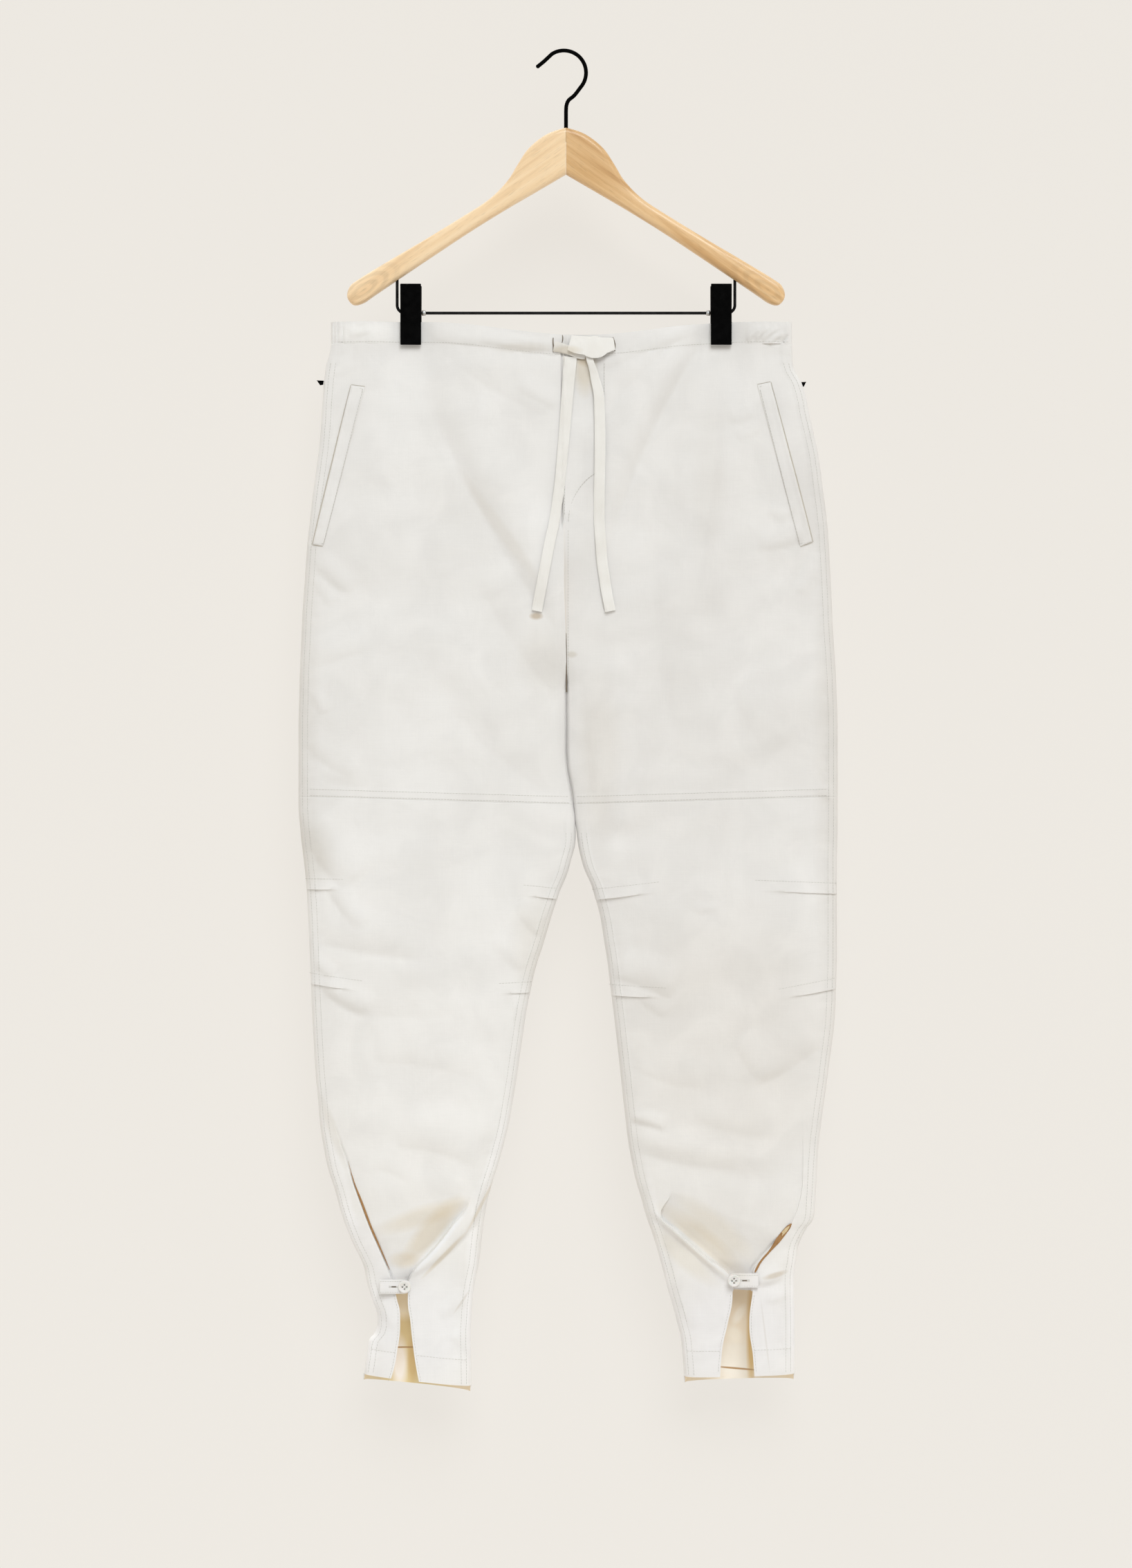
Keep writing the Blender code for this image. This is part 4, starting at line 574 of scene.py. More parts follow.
LEFT_BACK_DRAPES = table(Drape, (
    (-0.120, -0.330, -0.050, -0.440, 0.004, -0.016, 0.0024),
    (-0.060, -0.560, -0.010, -0.640, 0.003, -0.020, 0.0034),
    (-0.262, -0.520, -0.205, -0.552, 0.002, -0.012, 0.0024),
    (-0.130, -0.640, -0.020, -0.735, 0.005, -0.024, 0.0029),
    (-0.258, -0.838, -0.180, -0.848, 0.003, -0.013, 0.0029),
    (-0.030, -0.900, -0.115, -0.925, 0.003, 0.013, 0.0026),
    (-0.250, -0.962, -0.170, -0.992, 0.003, -0.013, 0.0026),
    (-0.070, -1.050, -0.150, -1.078, 0.003, 0.012, 0.0024),
    (-0.235, -1.130, -0.160, -1.165, 0.003, -0.012, 0.0026),
    (-0.100, -1.180, -0.140, -1.240, 0.002, 0.010, 0.0024),
))
RIGHT_BACK_DRAPES = table(Drape, (
    (0.110, -0.330, 0.052, -0.430, 0.003, 0.015, 0.0024),
    (0.050, -0.570, 0.008, -0.640, 0.003, 0.018, 0.0031),
    (0.264, -0.540, 0.205, -0.575, 0.002, 0.012, 0.0022),
    (0.120, -0.660, 0.020, -0.750, 0.004, 0.022, 0.0031),
    (0.265, -0.842, 0.180, -0.852, 0.003, 0.013, 0.0029),
    (0.048, -0.915, 0.130, -0.935, 0.003, -0.013, 0.0026),
    (0.262, -0.990, 0.190, -1.012, 0.003, 0.013, 0.0026),
    (0.070, -1.075, 0.150, -1.098, 0.003, -0.012, 0.0024),
    (0.245, -1.120, 0.170, -1.152, 0.003, 0.012, 0.0026),
    (0.115, -1.190, 0.150, -1.245, 0.002, -0.010, 0.0024),
))
# Rolls and puckers of the waistband
CASING_DRAPES = table(Drape, (
    (-0.0820, -0.2975, -0.0130, -0.3052, 0.0016, -0.0060, 0.0023),
    (-0.1470, -0.2905, -0.0800, -0.3000, 0.0014, -0.0060, 0.0010),
    (-0.0560, -0.2935, -0.0200, -0.2985, 0.0005, -0.0030, 0.0010),
    (-0.2358, -0.2960, -0.2358, -0.2740, 0.0002, 0.0010, -0.0013),
    (-0.2318, -0.2955, -0.2322, -0.2745, -0.0002, 0.0010, -0.0015),
    (-0.2276, -0.2960, -0.2272, -0.2745, 0.0003, 0.0012, -0.0013),
    (-0.2170, -0.2900, -0.1980, -0.2860, 0.0010, -0.0050, 0.0014),
    (-0.2100, -0.2790, -0.2000, -0.2760, 0.0006, -0.0040, 0.0010),
    (0.1870, -0.2940, 0.1975, -0.2822, -0.0012, -0.0034, 0.0022),
    (0.1945, -0.2925, 0.2065, -0.2815, -0.0012, -0.0030, 0.0024),
    (0.2020, -0.2932, 0.2150, -0.2835, -0.0012, -0.0028, 0.0024),
    (0.2080, -0.2965, 0.2200, -0.2886, -0.0010, -0.0026, 0.0024),
    (0.2000, -0.2988, 0.2210, -0.3020, 0.0010, -0.0030, 0.0022),
    (0.2200, -0.2970, 0.2252, -0.2890, -0.0006, -0.0014, -0.0022),
))


def smoothly(value, start, end):
    """0 before start, 1 past end, and a soft step between; start may be above end."""
    share = np.clip((value - start) / (end - start), 0.0, 1.0)
    return share * share * (3.0 - 2.0 * share)


def smooth_through(heights, values):
    """A function of height through these values, smooth and without overshoot."""
    z = np.array(heights[::-1])
    v = np.array(values[::-1])
    step = np.diff(z)
    slope = np.diff(v) / step
    bend = np.zeros(len(v))
    bend[0] = slope[0]
    bend[-1] = slope[-1]
    for i in range(1, len(v) - 1):
        if slope[i - 1] * slope[i] > 0:
            bend[i] = 2.0 * slope[i - 1] * slope[i] / (slope[i - 1] + slope[i])

    def value_at(height):
        height = np.clip(height, z[0], z[-1])
        i = np.clip(np.searchsorted(z, height) - 1, 0, len(step) - 1)
        t = (height - z[i]) / step[i]
        from_below = v[i] + bend[i] * step[i] * t
        from_above = v[i + 1] - bend[i + 1] * step[i] * (1.0 - t)
        blend = t * t * (3.0 - 2.0 * t)
        return from_below + (from_above - from_below) * blend

    return value_at


def along_line(x, z, line):
    """Each point's share of the way along a line from (x0, z0) to (x1, z1), and its distance from it."""
    run = np.array([line.x1 - line.x0, line.z1 - line.z0])
    length = np.linalg.norm(run)
    run = run / length
    share = ((x - line.x0) * run[0] + (z - line.z0) * run[1]) / length
    aside = (x - line.x0) * run[1] - (z - line.z0) * run[0]
    return share, aside


def thinning(share, power):
    """How a fold thins towards its ends, and how far past them a place lies."""
    taper = np.clip(1.0 - np.abs(2.0 * np.clip(share, -0.2, 1.2) - 1.0) ** power / 1.4 ** power, 0.0, 1.0)
    return taper, np.maximum(np.abs(share - 0.5) - 0.5, 0.0) * 8.0


def fold_height(x, z, fold):
    """A soft ridge, or a trough, that fades away on both sides."""
    share, aside = along_line(x, z, fold)
    taper, beyond = thinning(share, 4)
    return fold.height * taper * np.exp(-(aside / fold.width) ** 2 - beyond ** 2)


def above_tuck(x, z, tuck):
    """How far places lie above a tuck's edge, and the share of the tuck's strength there."""
    share = np.clip((x - tuck.x0) / (tuck.x1 - tuck.x0), -0.5, 1.0)
    above = z - (tuck.z0 + (tuck.z1 - tuck.z0) * share)
    return above, 1.0 - smoothly(share, 0.35, 1.0)


def tuck_height(x, z, tuck):
    """The cloth above a tuck's edge stands out, and falls back to the panel above it."""
    above, strength = above_tuck(x, z, tuck)
    edge = smoothly(above, -TUCK_DROP, -TUCK_DROP / 4.0)
    return TUCK_STRENGTH * tuck.height * strength * np.exp(-np.maximum(above, 0.0) / TUCK_REACH) * edge


def waist_sag(x):
    """How far the waistband sags between the clips."""
    share = np.clip((x - SAG_CENTRE) / SAG_HALF_WIDTH, -1.0, 1.0)
    return WAIST_SAG * np.cos(share * math.pi / 2.0) ** 2


def open_at_clips(x, z):
    """1 where the cloth swells freely, towards 0 where a clip presses front and back together."""
    pinch = smoothly(z, PINCH_ENDS, CLIP_BOTTOM)
    beyond_clip = np.maximum(np.abs(np.abs(x) - CLIP_X) - CLIP_WIDTH / 2.0, 0.0)
    return 1.0 - pinch * np.exp(-(beyond_clip / PINCH_WIDTH) ** 2)


def off_clips(x):
    """0 where a clip holds the cloth flat, and 1 away from it."""
    return smoothly(np.abs(np.abs(x) - CLIP_X), GATHER_ENDS, GATHER_STARTS)


def wavering(x, pitch, drift, rate, phase=0.0):
    """A wave whose pitch is drawn out and pressed together as it runs."""
    return np.sin(x * 2.0 * math.pi / pitch + drift * np.sin(x * rate) + phase)


def gathers(x, z):
    """Small upright waves where the panels are drawn into the waistband, away from the clips."""
    below = np.maximum(WAIST_SEAM - waist_sag(x) - z, 0.0)
    drift = 1.9 * np.sin(x * 37.0) + 0.8 * np.sin(x * 113.0)
    wave = np.sin(x * 2.0 * math.pi / BELOW_GATHER_PITCH + drift)
    fade = np.exp(-(below / GATHER_RUN) ** 2) * smoothly(below, 0.0, 0.004)
    return GATHER_DEPTH * wave * off_clips(x) * fade


def drape_height(x, z, drape):
    """A fold that climbs quickly from its crisp foot line, and falls off slowly behind its crest."""
    share, aside = along_line(x, z, drape)
    within = np.clip(share, 0.0, 1.0)
    aside = aside - drape.bow * 4.0 * within * (1.0 - within)
    from_foot = aside / drape.rise
    climb = 1.0 - (1.0 - np.clip(from_foot, 0.0, 1.0)) ** 2
    fall = 1.0 - smoothly(from_foot, 1.0, DRAPE_FALL)
    ends, beyond = thinning(share, 3)
    return drape.height * climb * fall * ends * np.exp(-beyond ** 2)


class Unevenness:
    """The cloth's own slight waves: a seeded sum of long and short ones in many directions."""

    def __init__(self, seed):
        random = np.random.default_rng(seed)
        self.waves = []
        for _ in range(UNEVEN_WAVES):
            length = random.uniform(*UNEVEN_LENGTHS)
            angle = random.uniform(0.0, math.pi)
            phase = random.uniform(0.0, 2.0 * math.pi)
            self.waves.append((length, math.cos(angle), math.sin(angle), phase))

    def __call__(self, x, z):
        total = 0.0
        for length, over, up, phase in self.waves:
            turn = 2.0 * math.pi / length
            bend = 0.6 * np.sin((x * up - z * over) * turn * 0.4 + phase * 2.0)
            share = length / UNEVEN_LENGTHS[1]
            total = total + share * np.sin((x * over + z * up) * turn + phase + bend)
        return UNEVENNESS * total


class Leg:
    """One leg and its half of the body: where its surface lies, for each place seen from the front."""

    def __init__(self, side, sections, fold_lines, tucks, folds, drapes, knee, hem, brow, gap, seed):
        heights = [section.z for section in sections]
        line_heights = [line.z for line in fold_lines]
        self.side = side
        self.outer = smooth_through(heights, [section.outer for section in sections])
        self.inner = smooth_through(heights, [section.inner for section in sections])
        self.full = {
            FRONT: smooth_through(heights, [section.front for section in sections]),
            BACK: smooth_through(heights, [section.back for section in sections]),
        }
        self.outer_line = smooth_through(line_heights, [line.outer for line in fold_lines])
        self.inner_line = smooth_through(line_heights, [line.inner for line in fold_lines])
        self.tucks = {FRONT: tucks, BACK: ()}
        self.folds = folds
        self.drapes = drapes
        self.knee = knee
        self.brow = brow
        self.gap = gap
        self.hem = hem
        self.uneven = {FRONT: Unevenness(seed), BACK: Unevenness(seed + 1)}

    def slanted(self, x, heights):
        """The height of a line across the leg, given at the outer and at the inner edge."""
        outer_x = self.outer(heights[0])
        inner_x = self.inner(heights[1])
        share = (x - outer_x) / (inner_x - outer_x)
        return heights[0] + (heights[1] - heights[0]) * share

    def swell(self, x, z):
        """0 at the leg's edges and 1 where it is fullest; the body is full at its centre seam."""
        across = np.clip((x - self.outer(z)) / (self.inner(z) - self.outer(z)), 0.0, 1.0)
        legs = smoothly(z, TURN_STARTS, CROTCH)
        from_middle = np.minimum(np.abs(across * (1.0 + legs) - 1.0), 1.0)
        return np.sqrt(1.0 - from_middle ** FLATNESS)

    def scoop(self, x, z):
        """How far the front sinks behind the two tension folds that run up from the ankle tab."""
        outer_line = self.outer_line(z)
        inner_line = self.inner_line(z)
        within = (outer_line - inner_line) * self.side
        from_inner = (x - inner_line) * self.side
        from_outer = within - from_inner
        inside = smoothly(from_inner, FALL_STARTS, FALL_ENDS)
        inside = inside * smoothly(from_outer, FALL_STARTS, FALL_ENDS)
        share = np.clip(from_inner / within, 0.0, 1.0)
        brow = self.brow[0] + (self.brow[1] - self.brow[0]) * share
        fallen = np.clip((brow - z) / (brow - SCOOP_BOTTOM), 0.0, 1.0)
        shallower = 1.0 + (SCOOP_OUTER_SHARE - 1.0) * share
        bowl = SCOOP_DEPTH * (1.0 - (1.0 - fallen) ** SCOOP_STEEPNESS) * shallower
        corner = SCOOP_CORNER * np.exp(-from_inner / CORNER_RUN) * smoothly(fallen, 0.0, 0.35)
        pleat = PLEAT_STEP * smoothly(z, PLEAT_TOP, SCOOP_TOP) * smoothly(share, PLEAT_SHARE, 1.0)
        top, place, width, deep = self.gap
        gap = deep * smoothly(z, top + GAPE_STARTS, top - GAPE_ENDS)
        gap = gap * smoothly(z, SLIT_TOP, SLIT_TOP + SLIT_FADE)
        gap = gap * np.exp(-((from_outer - place) / width) ** 2)
        return inside * (bowl + corner + pleat) + gap

    @staticmethod
    def felled(from_edge):
        """The stitched strip of a felled seam, by distance from the leg's edge."""
        rise = smoothly(from_edge, STRIP_STARTS, STRIP_STARTS + CRISP)
        return STRIP_HEIGHT * rise * (1.0 - smoothly(from_edge, STRIP_ENDS, STRIP_ENDS + CRISP))

    def sewing_relief(self, x, z, face):
        """Felled seams, the hem's double cloth and the knee seam, as the needle draws them in."""
        from_outer = np.abs(x - self.outer(z))
        from_inner = np.abs(x - self.inner(z))
        on_inseam = smoothly(z, INSEAM_STRIP_TOP + INSEAM_FADE, INSEAM_STRIP_TOP)
        relief = 0.0
        if face == FRONT:
            relief = self.felled(from_outer) + INSEAM_SHARE * self.felled(from_inner) * on_inseam
            relief = relief * smoothly(z, *STRIP_FADES)
        near = np.exp(-((from_outer - STRIP_ENDS) / SIDE_PUCKER_RUN) ** 2)
        near = near + np.exp(-((from_inner - STRIP_ENDS) / SIDE_PUCKER_RUN) ** 2) * on_inseam
        relief = relief + PUCKER_HEIGHT * wavering(z, PUCKER_PITCH, 1.7, 31.0) * near
        above_hem = z - self.slanted(x, self.hem) - HEM_WIDTH
        relief = relief + HEM_HEIGHT * (1.0 - smoothly(above_hem, -CRISP, 0.0))
        wave = wavering(x, PUCKER_PITCH, 1.5, 43.0)
        relief = relief + PUCKER_HEIGHT * wave * np.exp(-(above_hem / HEM_PUCKER_RUN) ** 2)
        if face == FRONT:
            above_knee = z - self.slanted(x, self.knee)
            lap = 1.0 - smoothly(above_knee, KNEE_LAP, KNEE_LAP + 2 * CRISP)
            lap = smoothly(above_knee, -CRISP, 0.0) * lap
            relief = relief + KNEE_LAP_HEIGHT * lap - KNEE_DIP * np.exp(-(above_knee / SEAM_GROOVE) ** 2)
            relief = relief + 0.6 * PUCKER_HEIGHT * wave * np.exp(-(above_knee / KNEE_PUCKER_RUN) ** 2)
        return relief

    def depth(self, x, z, face):
        """The distance of the front or back panel's outer side from the plane of the seams."""
        free = self.full[face](z) - EDGE_RADIUS
        depth = EDGE_RADIUS + free * self.swell(x, z) * open_at_clips(x, z)
        away_from_edge = smoothly(np.abs(x - self.outer(z)), EDGE_RADIUS, RELIEF_REACH)
        legs = smoothly(z, TURN_STARTS, CROTCH)
        from_inner = smoothly(np.abs(x - self.inner(z)), EDGE_RADIUS, RELIEF_REACH)
        away_from_edge = away_from_edge * (from_inner * legs + (1.0 - legs))
        relief = FOLD_SHARE * sum(fold_height(x, z, fold) for fold in self.folds[face])
        relief = relief * (1.0 - smoothly(z, RELIEF_TOP, WAIST_SEAM)) + self.uneven[face](x, z)
        relief = relief + sum(drape_height(x, z, drape) for drape in self.drapes[face])
        depth = depth + relief * away_from_edge * (0.2 + 0.8 * open_at_clips(x, z))
        depth = depth + self.sewing_relief(x, z, face) + gathers(x, z)
        for tuck in self.tucks[face]:
            depth = depth + tuck_height(x, z, tuck)
        if face == FRONT:
            depth = depth - self.scoop(x, z)
            fly_ends = FLY[3][1]
            beside_fly = smoothly(z, fly_ends - 0.004, fly_ends) * smoothly(z, WAIST_SEAM, FLY_GROOVE_TOP)
            depth = depth - FLY_GROOVE * beside_fly * np.exp(-((x - FLY_LINE) / SEAM_GROOVE) ** 2)
        return np.maximum(depth, LEAST_DEPTH)


KNEE = (-0.7535, -0.7615)
LEFT = Leg(
    -1, LEFT_SECTIONS, LEFT_FOLD_LINES, LEFT_TUCKS, {FRONT: LEFT_FRONT_FOLDS, BACK: LEFT_BACK_FOLDS},
    {FRONT: LEFT_FRONT_DRAPES, BACK: LEFT_BACK_DRAPES}, KNEE, (-1.3376, -1.3496),
    (-1.1600, -1.1890), (-1.0900, 0.0022, 0.0013, 0.0012), 11,
)
RIGHT = Leg(
    1, RIGHT_SECTIONS, RIGHT_FOLD_LINES, RIGHT_TUCKS, {FRONT: RIGHT_FRONT_FOLDS, BACK: RIGHT_BACK_FOLDS},
    {FRONT: RIGHT_FRONT_DRAPES, BACK: RIGHT_BACK_DRAPES}, KNEE, (-1.3372, -1.3402),
    (-1.1510, -1.2000), (-1.1830, 0.0030, 0.0022, 0.0016), 23,
)
LEGS = {"left": LEFT, "right": RIGHT}


# The sharpest angle in degrees that a smooth surface still passes over
CLOTH_EDGE = 55.0
HARD_EDGE = 40.0
TURNED_EDGE = 45.0


def linked(name, data):
    """A new object in the scene, made of this data."""
    obj = bpy.data.objects.new(name, data)
    bpy.context.scene.collection.objects.link(obj)
    return obj


def shade(data, edge_angle):
    """Smooth shading that stops at sharp edges."""
    data.shade_smooth()
    data.set_sharp_from_angle(angle=math.radians(edge_angle))


def mesh_object(name, points, faces, finish, inner_faces=None):
    """A smooth-shaded mesh object from arrays of points and of four-cornered faces.

    The finish is one material, or a pair of them: the second is for the inner faces.
    """
    data = bpy.data.meshes.new(name)
    data.vertices.add(len(points))
    data.vertices.foreach_set("co", np.asarray(points, np.float32).ravel())
    data.loops.add(faces.size)
    data.loops.foreach_set("vertex_index", faces.astype(np.int32).ravel())
    data.polygons.add(len(faces))
    data.polygons.foreach_set("loop_start", np.arange(0, faces.size, 4, dtype=np.int32))
    data.update(calc_edges=True)
    shade(data, CLOTH_EDGE)
    if isinstance(finish, tuple):
        for each in finish:
            data.materials.append(each)
        data.polygons.foreach_set("material_index", inner_faces.astype(np.int32))
    else:
        data.materials.append(finish)
    return linked(name, data)


def belongs(piece, slot, *nodes):
    """The piece rides on the part's one body and stands for these nodes."""
    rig.ride(piece, "root")
    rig.slot(piece, slot)
    if nodes:
        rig.replaces(piece, *nodes)
    return piece


def shell(name, outer, inward, finish, keep=None):
    """A closed thin shell: a grid of outer points, the same grid moved inward, and rims between."""
    rows, columns = outer.shape[:2]
    if keep is None:
        keep = np.ones((rows - 1, columns - 1), bool)
    index = np.arange(rows * columns).reshape(rows, columns)
    under = index + rows * columns
    above_left, above_right = index[:-1, :-1], index[:-1, 1:]
    below_left, below_right = index[1:, :-1], index[1:, 1:]
    padded = np.pad(keep, 1)
    faces = [np.stack([above_left, above_right, below_right, below_left], -1)[keep]]
    faces.append(faces[0][:, ::-1] + rows * columns)
    rims = (
        (padded[:-2, 1:-1], above_right, above_left),
        (padded[2:, 1:-1], below_left, below_right),
        (padded[1:-1, :-2], above_left, below_left),
        (padded[1:-1, 2:], below_right, above_right),
    )
    for neighbour, start, end in rims:
        open_side = keep & ~neighbour
        start = start[open_side]
        end = end[open_side]
        faces.append(np.stack([start, end, under.ravel()[end], under.ravel()[start]], -1))
    inner_faces = np.zeros(sum(len(group) for group in faces), bool)
    inner_faces[len(faces[0]):2 * len(faces[0])] = True
    faces = np.concatenate(faces)
    points = np.concatenate([outer.reshape(-1, 3), (outer + inward).reshape(-1, 3)])
    used, faces = np.unique(faces, return_inverse=True)
    points = points[used]
    faces = faces.reshape(-1, 4)
    corners = points[faces]
    across = np.cross(corners[:, 2] - corners[:, 0], corners[:, 3] - corners[:, 1])
    if (corners.mean(axis=1) * across).sum() < 0.0:
        faces = faces[:, ::-1]
    return mesh_object(name, points, faces, finish, inner_faces)


def smoothed(grid, passes):
    """The grid with each value averaged with its neighbours, several times."""
    for _ in range(passes):
        padded = np.pad(grid, ((1, 1), (1, 1), (0, 0)), mode="edge")
        grid = (padded[:-2, 1:-1] + padded[2:, 1:-1] + padded[1:-1, :-2] + padded[1:-1, 2:] + grid) / 5.0
    return grid


def inward_normals(outer, face):
    """Unit vectors from a panel's outer side to its inner side, steady across folded cells."""
    normal = np.cross(np.gradient(outer, axis=1), np.gradient(outer, axis=0))
    facing = np.sign(normal[..., 1:2].sum()) * face
    normal = -normal * facing
    normal = np.where(normal[..., 1:2] * face < 0.0, normal, 0.0)
    normal /= np.maximum(np.linalg.norm(normal, axis=2, keepdims=True), 1e-12)
    normal = smoothed(normal, 4)
    normal[..., 1] -= face * 0.000001
    return normal / np.maximum(np.linalg.norm(normal, axis=2, keepdims=True), 1e-12)


# Where columns of points run down a panel: on a line of the leg, moved outwards by the offset,
# with this many cells to the next station
Station = namedtuple("Station", "line offset cells")
TURN_ANGLES = np.radians([0.0, 18.0, 36.0, 54.0, 72.0, 90.0])
OUTER_STRIP = (
    Station("outer", -EDGE_RADIUS, 1),
    Station("outer", -STRIP_STARTS, 1),
    Station("outer", -STRIP_STARTS - CRISP, 3),
    Station("outer", -STRIP_ENDS, 1),
)
INNER_STRIP = (
    Station("inner", STRIP_ENDS + CRISP, 1),
    Station("inner", STRIP_ENDS, 3),
    Station("inner", STRIP_STARTS + CRISP, 1),
    Station("inner", STRIP_STARTS, 1),
    Station("inner", EDGE_RADIUS, 0),
)
UPPER_STATIONS = OUTER_STRIP + (Station("outer", -STRIP_ENDS - CRISP, 92),) + INNER_STRIP
BACK_STATIONS = (
    Station("outer", -EDGE_RADIUS, 2),
    Station("outer", -STRIP_ENDS, 58),
    Station("inner", STRIP_ENDS, 2),
    Station("inner", EDGE_RADIUS, 0),
)
LOWER_STATIONS = OUTER_STRIP + (
    Station("outer", -STRIP_ENDS - CRISP, 9),
    Station("outer_line", 0.0, 1),
    Station("outer_line", -FALL_STARTS, 3),
    Station("outer_line", -FALL_ENDS, 3),
    Station("outer_line", -0.0045, 61),
    Station("inner_line", FALL_ENDS, 3),
    Station("inner_line", FALL_STARTS, 1),
    Station("inner_line", 0.0, 17),
) + INNER_STRIP
SLIT_STATIONS = (5, 11)


def column_of_station(stations, number):
    """The column of points that runs down a station's line."""
    return len(TURN_ANGLES) - 1 + sum(station.cells for station in stations[:number])


class Columns:
    """The places of a panel's columns at any heights, between and round its edge turns."""

    def __init__(self, leg, stations):
        self.leg = leg
        starts, ends, shares = [], [], []
        for station, following in zip(stations, stations[1:]):
            for cell in range(station.cells):
                starts.append(station)
                ends.append(following)
                shares.append(cell / station.cells)
        starts.append(stations[-1])
        ends.append(stations[-1])
        shares.append(0.0)
        self.ends = [
            (np.array([s.line for s in group]), np.array([s.offset for s in group]))
            for group in (starts, ends)
        ]
        self.shares = np.array(shares)
        self.count = len(shares) + 2 * (len(TURN_ANGLES) - 1)

    def place(self, which, z):
        lines, offsets = self.ends[which]
        x = np.zeros(len(lines))
        for line in set(lines):
            on_line = lines == line
            x[on_line] = getattr(self.leg, line)(z[on_line])
        return x + self.leg.side * offsets

    def at(self, z):
        turns = len(TURN_ANGLES) - 1
        middle = z[turns:-turns]
        across = self.place(0, middle) * (1.0 - self.shares) + self.place(1, middle) * self.shares
        turn = EDGE_RADIUS * (1.0 - np.cos(TURN_ANGLES[:-1])) * self.leg.side
        outer = self.leg.outer(z[:turns]) - turn
        inner = self.leg.inner(z[-turns:]) + turn[::-1]
        return np.concatenate([outer, across, inner])


def level(outer_z, inner_z=None):
    """A guide straight across the leg, given at its two edges."""
    heights = (outer_z, outer_z if inner_z is None else inner_z)
    return lambda leg, x: leg.slanted(x, heights)


def beside(heights, move):
    """A guide parallel to a seam or hem, this much above it."""
    return level(heights[0] + move, heights[1] + move)


def along_tucks(outer_tuck, inner_tuck, move):
    """A guide along the edges of two tucks, one from each seam, this much above them."""
    places = []
    for tuck in (outer_tuck, inner_tuck):
        beyond = -0.3
        places.append((tuck.x0 + (tuck.x1 - tuck.x0) * beyond, tuck.z0 + (tuck.z1 - tuck.z0) * beyond))
        places.append((tuck.x1, tuck.z1))
    places.sort()
    x_places, z_places = zip(*places)
    return lambda leg, x: np.interp(x, x_places, z_places) + move


def rows_between(columns, guides, cell):
    """The (x, z) places of all rows of a panel: they pass evenly from each guide to the next."""
    leg = columns.leg
    for number, guide in enumerate(guides):
        last = number == len(guides) - 1
        following = guide if last else guides[number + 1]
        z = np.full(columns.count, float(np.mean(guide(leg, np.array([leg.outer(-0.7), leg.inner(-0.7)])))))
        x = columns.at(z)
        gap = float(np.mean(guide(leg, x) - following(leg, x)))
        steps = 1 if last else max(1, round(gap / cell))
        for step in range(steps):
            share = step / steps
            for _ in range(3):
                z = guide(leg, x) * (1.0 - share) + following(leg, x) * share
                x = columns.at(z)
            yield x, z


def panel(name, leg, face, guides, stations, cell, finish, slit=False):
    """A panel of cloth from the side seam to the inseam, or to the centre seam above the crotch."""
    columns = Columns(leg, stations)
    rise = np.sin(TURN_ANGLES[:-1])
    flat = np.ones(columns.count - 2 * len(rise))
    rows = []
    turned_rows = []
    nominal = []
    for x, z in rows_between(columns, guides, cell):
        turned = float(smoothly(z[-1], CROTCH + INSEAM_TURNS, CROTCH))
        out = np.concatenate([rise, flat, 1.0 + (rise[::-1] - 1.0) * turned])
        under = WAIST_UNDER * smoothly(z, WAIST_SEAM + 0.5 * CRISP, WAIST_SEAM + 2.5 * CRISP)
        if slit:
            under = KNEE_UNDER * smoothly(z - leg.slanted(x, leg.knee), 0.0, CRISP)
        z = z - waist_sag(x) * (1.0 - smoothly(z, WAIST_SEAM, SAG_ENDS))
        half_gap = SEAM_GAP / 2.0
        depth = leg.depth(x, z, face)
        depth = np.maximum(depth - under, np.minimum(depth, THICKNESS + SEAM_GAP))
        y = face * (half_gap + (depth - half_gap) * out)
        nominal.append(z)
        if face == FRONT:
            x = x + folded_under(leg, x, z)
            z = z - tuck_droop(leg, x, z)
        rows.append(np.stack([x, y, z], axis=1))
        turned_rows.append(turned)
    outer = np.array(rows)
    inward = inward_normals(outer, face)
    turned = np.array(turned_rows)[:, None]
    inward[:, 0] = (-leg.side, 0.0, 0.0)
    inward[:, -1] = turned * (leg.side, 0.0, 0.0) + (1.0 - turned) * (0.0, -face, 0.0)
    for end in (0, -1):
        inward[end, 1:-1, 2] = 0.0
    inward /= np.linalg.norm(inward, axis=2, keepdims=True)
    nominal = np.array(nominal)
    above_hem = nominal - np.array([leg.slanted(row[:, 0], leg.hem) for row in outer])
    wall = HEM_THICKNESS + (THICKNESS - HEM_THICKNESS) * smoothly(above_hem, *HEM_THINS)
    keep = None
    if slit:
        keep = np.ones((outer.shape[0] - 1, outer.shape[1] - 1), bool)
        first, last = (column_of_station(stations, number) for number in SLIT_STATIONS)
        keep[nominal[:-1, first] < SLIT_TOP, first:last] = False
    return shell(name, outer, inward * wall[..., None], finish, keep)


def folded_under(leg, x, z):
    """The cloth that falls behind the outer tension fold also runs a little way under it."""
    from_line = (leg.outer_line(z) - x) * leg.side
    fallen = smoothly(from_line, FALL_STARTS, FALL_ENDS)
    amount = smoothly(z, PLEAT_TOP - 0.010, PLEAT_TOP - 0.045) * smoothly(z, SLIT_TOP, SLIT_TOP + 0.01)
    return leg.side * FOLD_LAP * fallen * amount * np.exp(-np.maximum(from_line, 0.0) / FOLD_LAP_RUN)


def tuck_droop(leg, x, z):
    """A tuck's folded edge hangs a little over the cloth below it."""
    total = 0.0
    for tuck in leg.tucks[FRONT]:
        above, strength = above_tuck(x, z, tuck)
        near = np.exp(-np.maximum(above, 0.0) / DROOP_RUN)
        near = near * smoothly(above, -TUCK_DROP / 2.0, -TUCK_DROP / 8.0)
        total = total + TUCK_TIP * strength * near
    return total


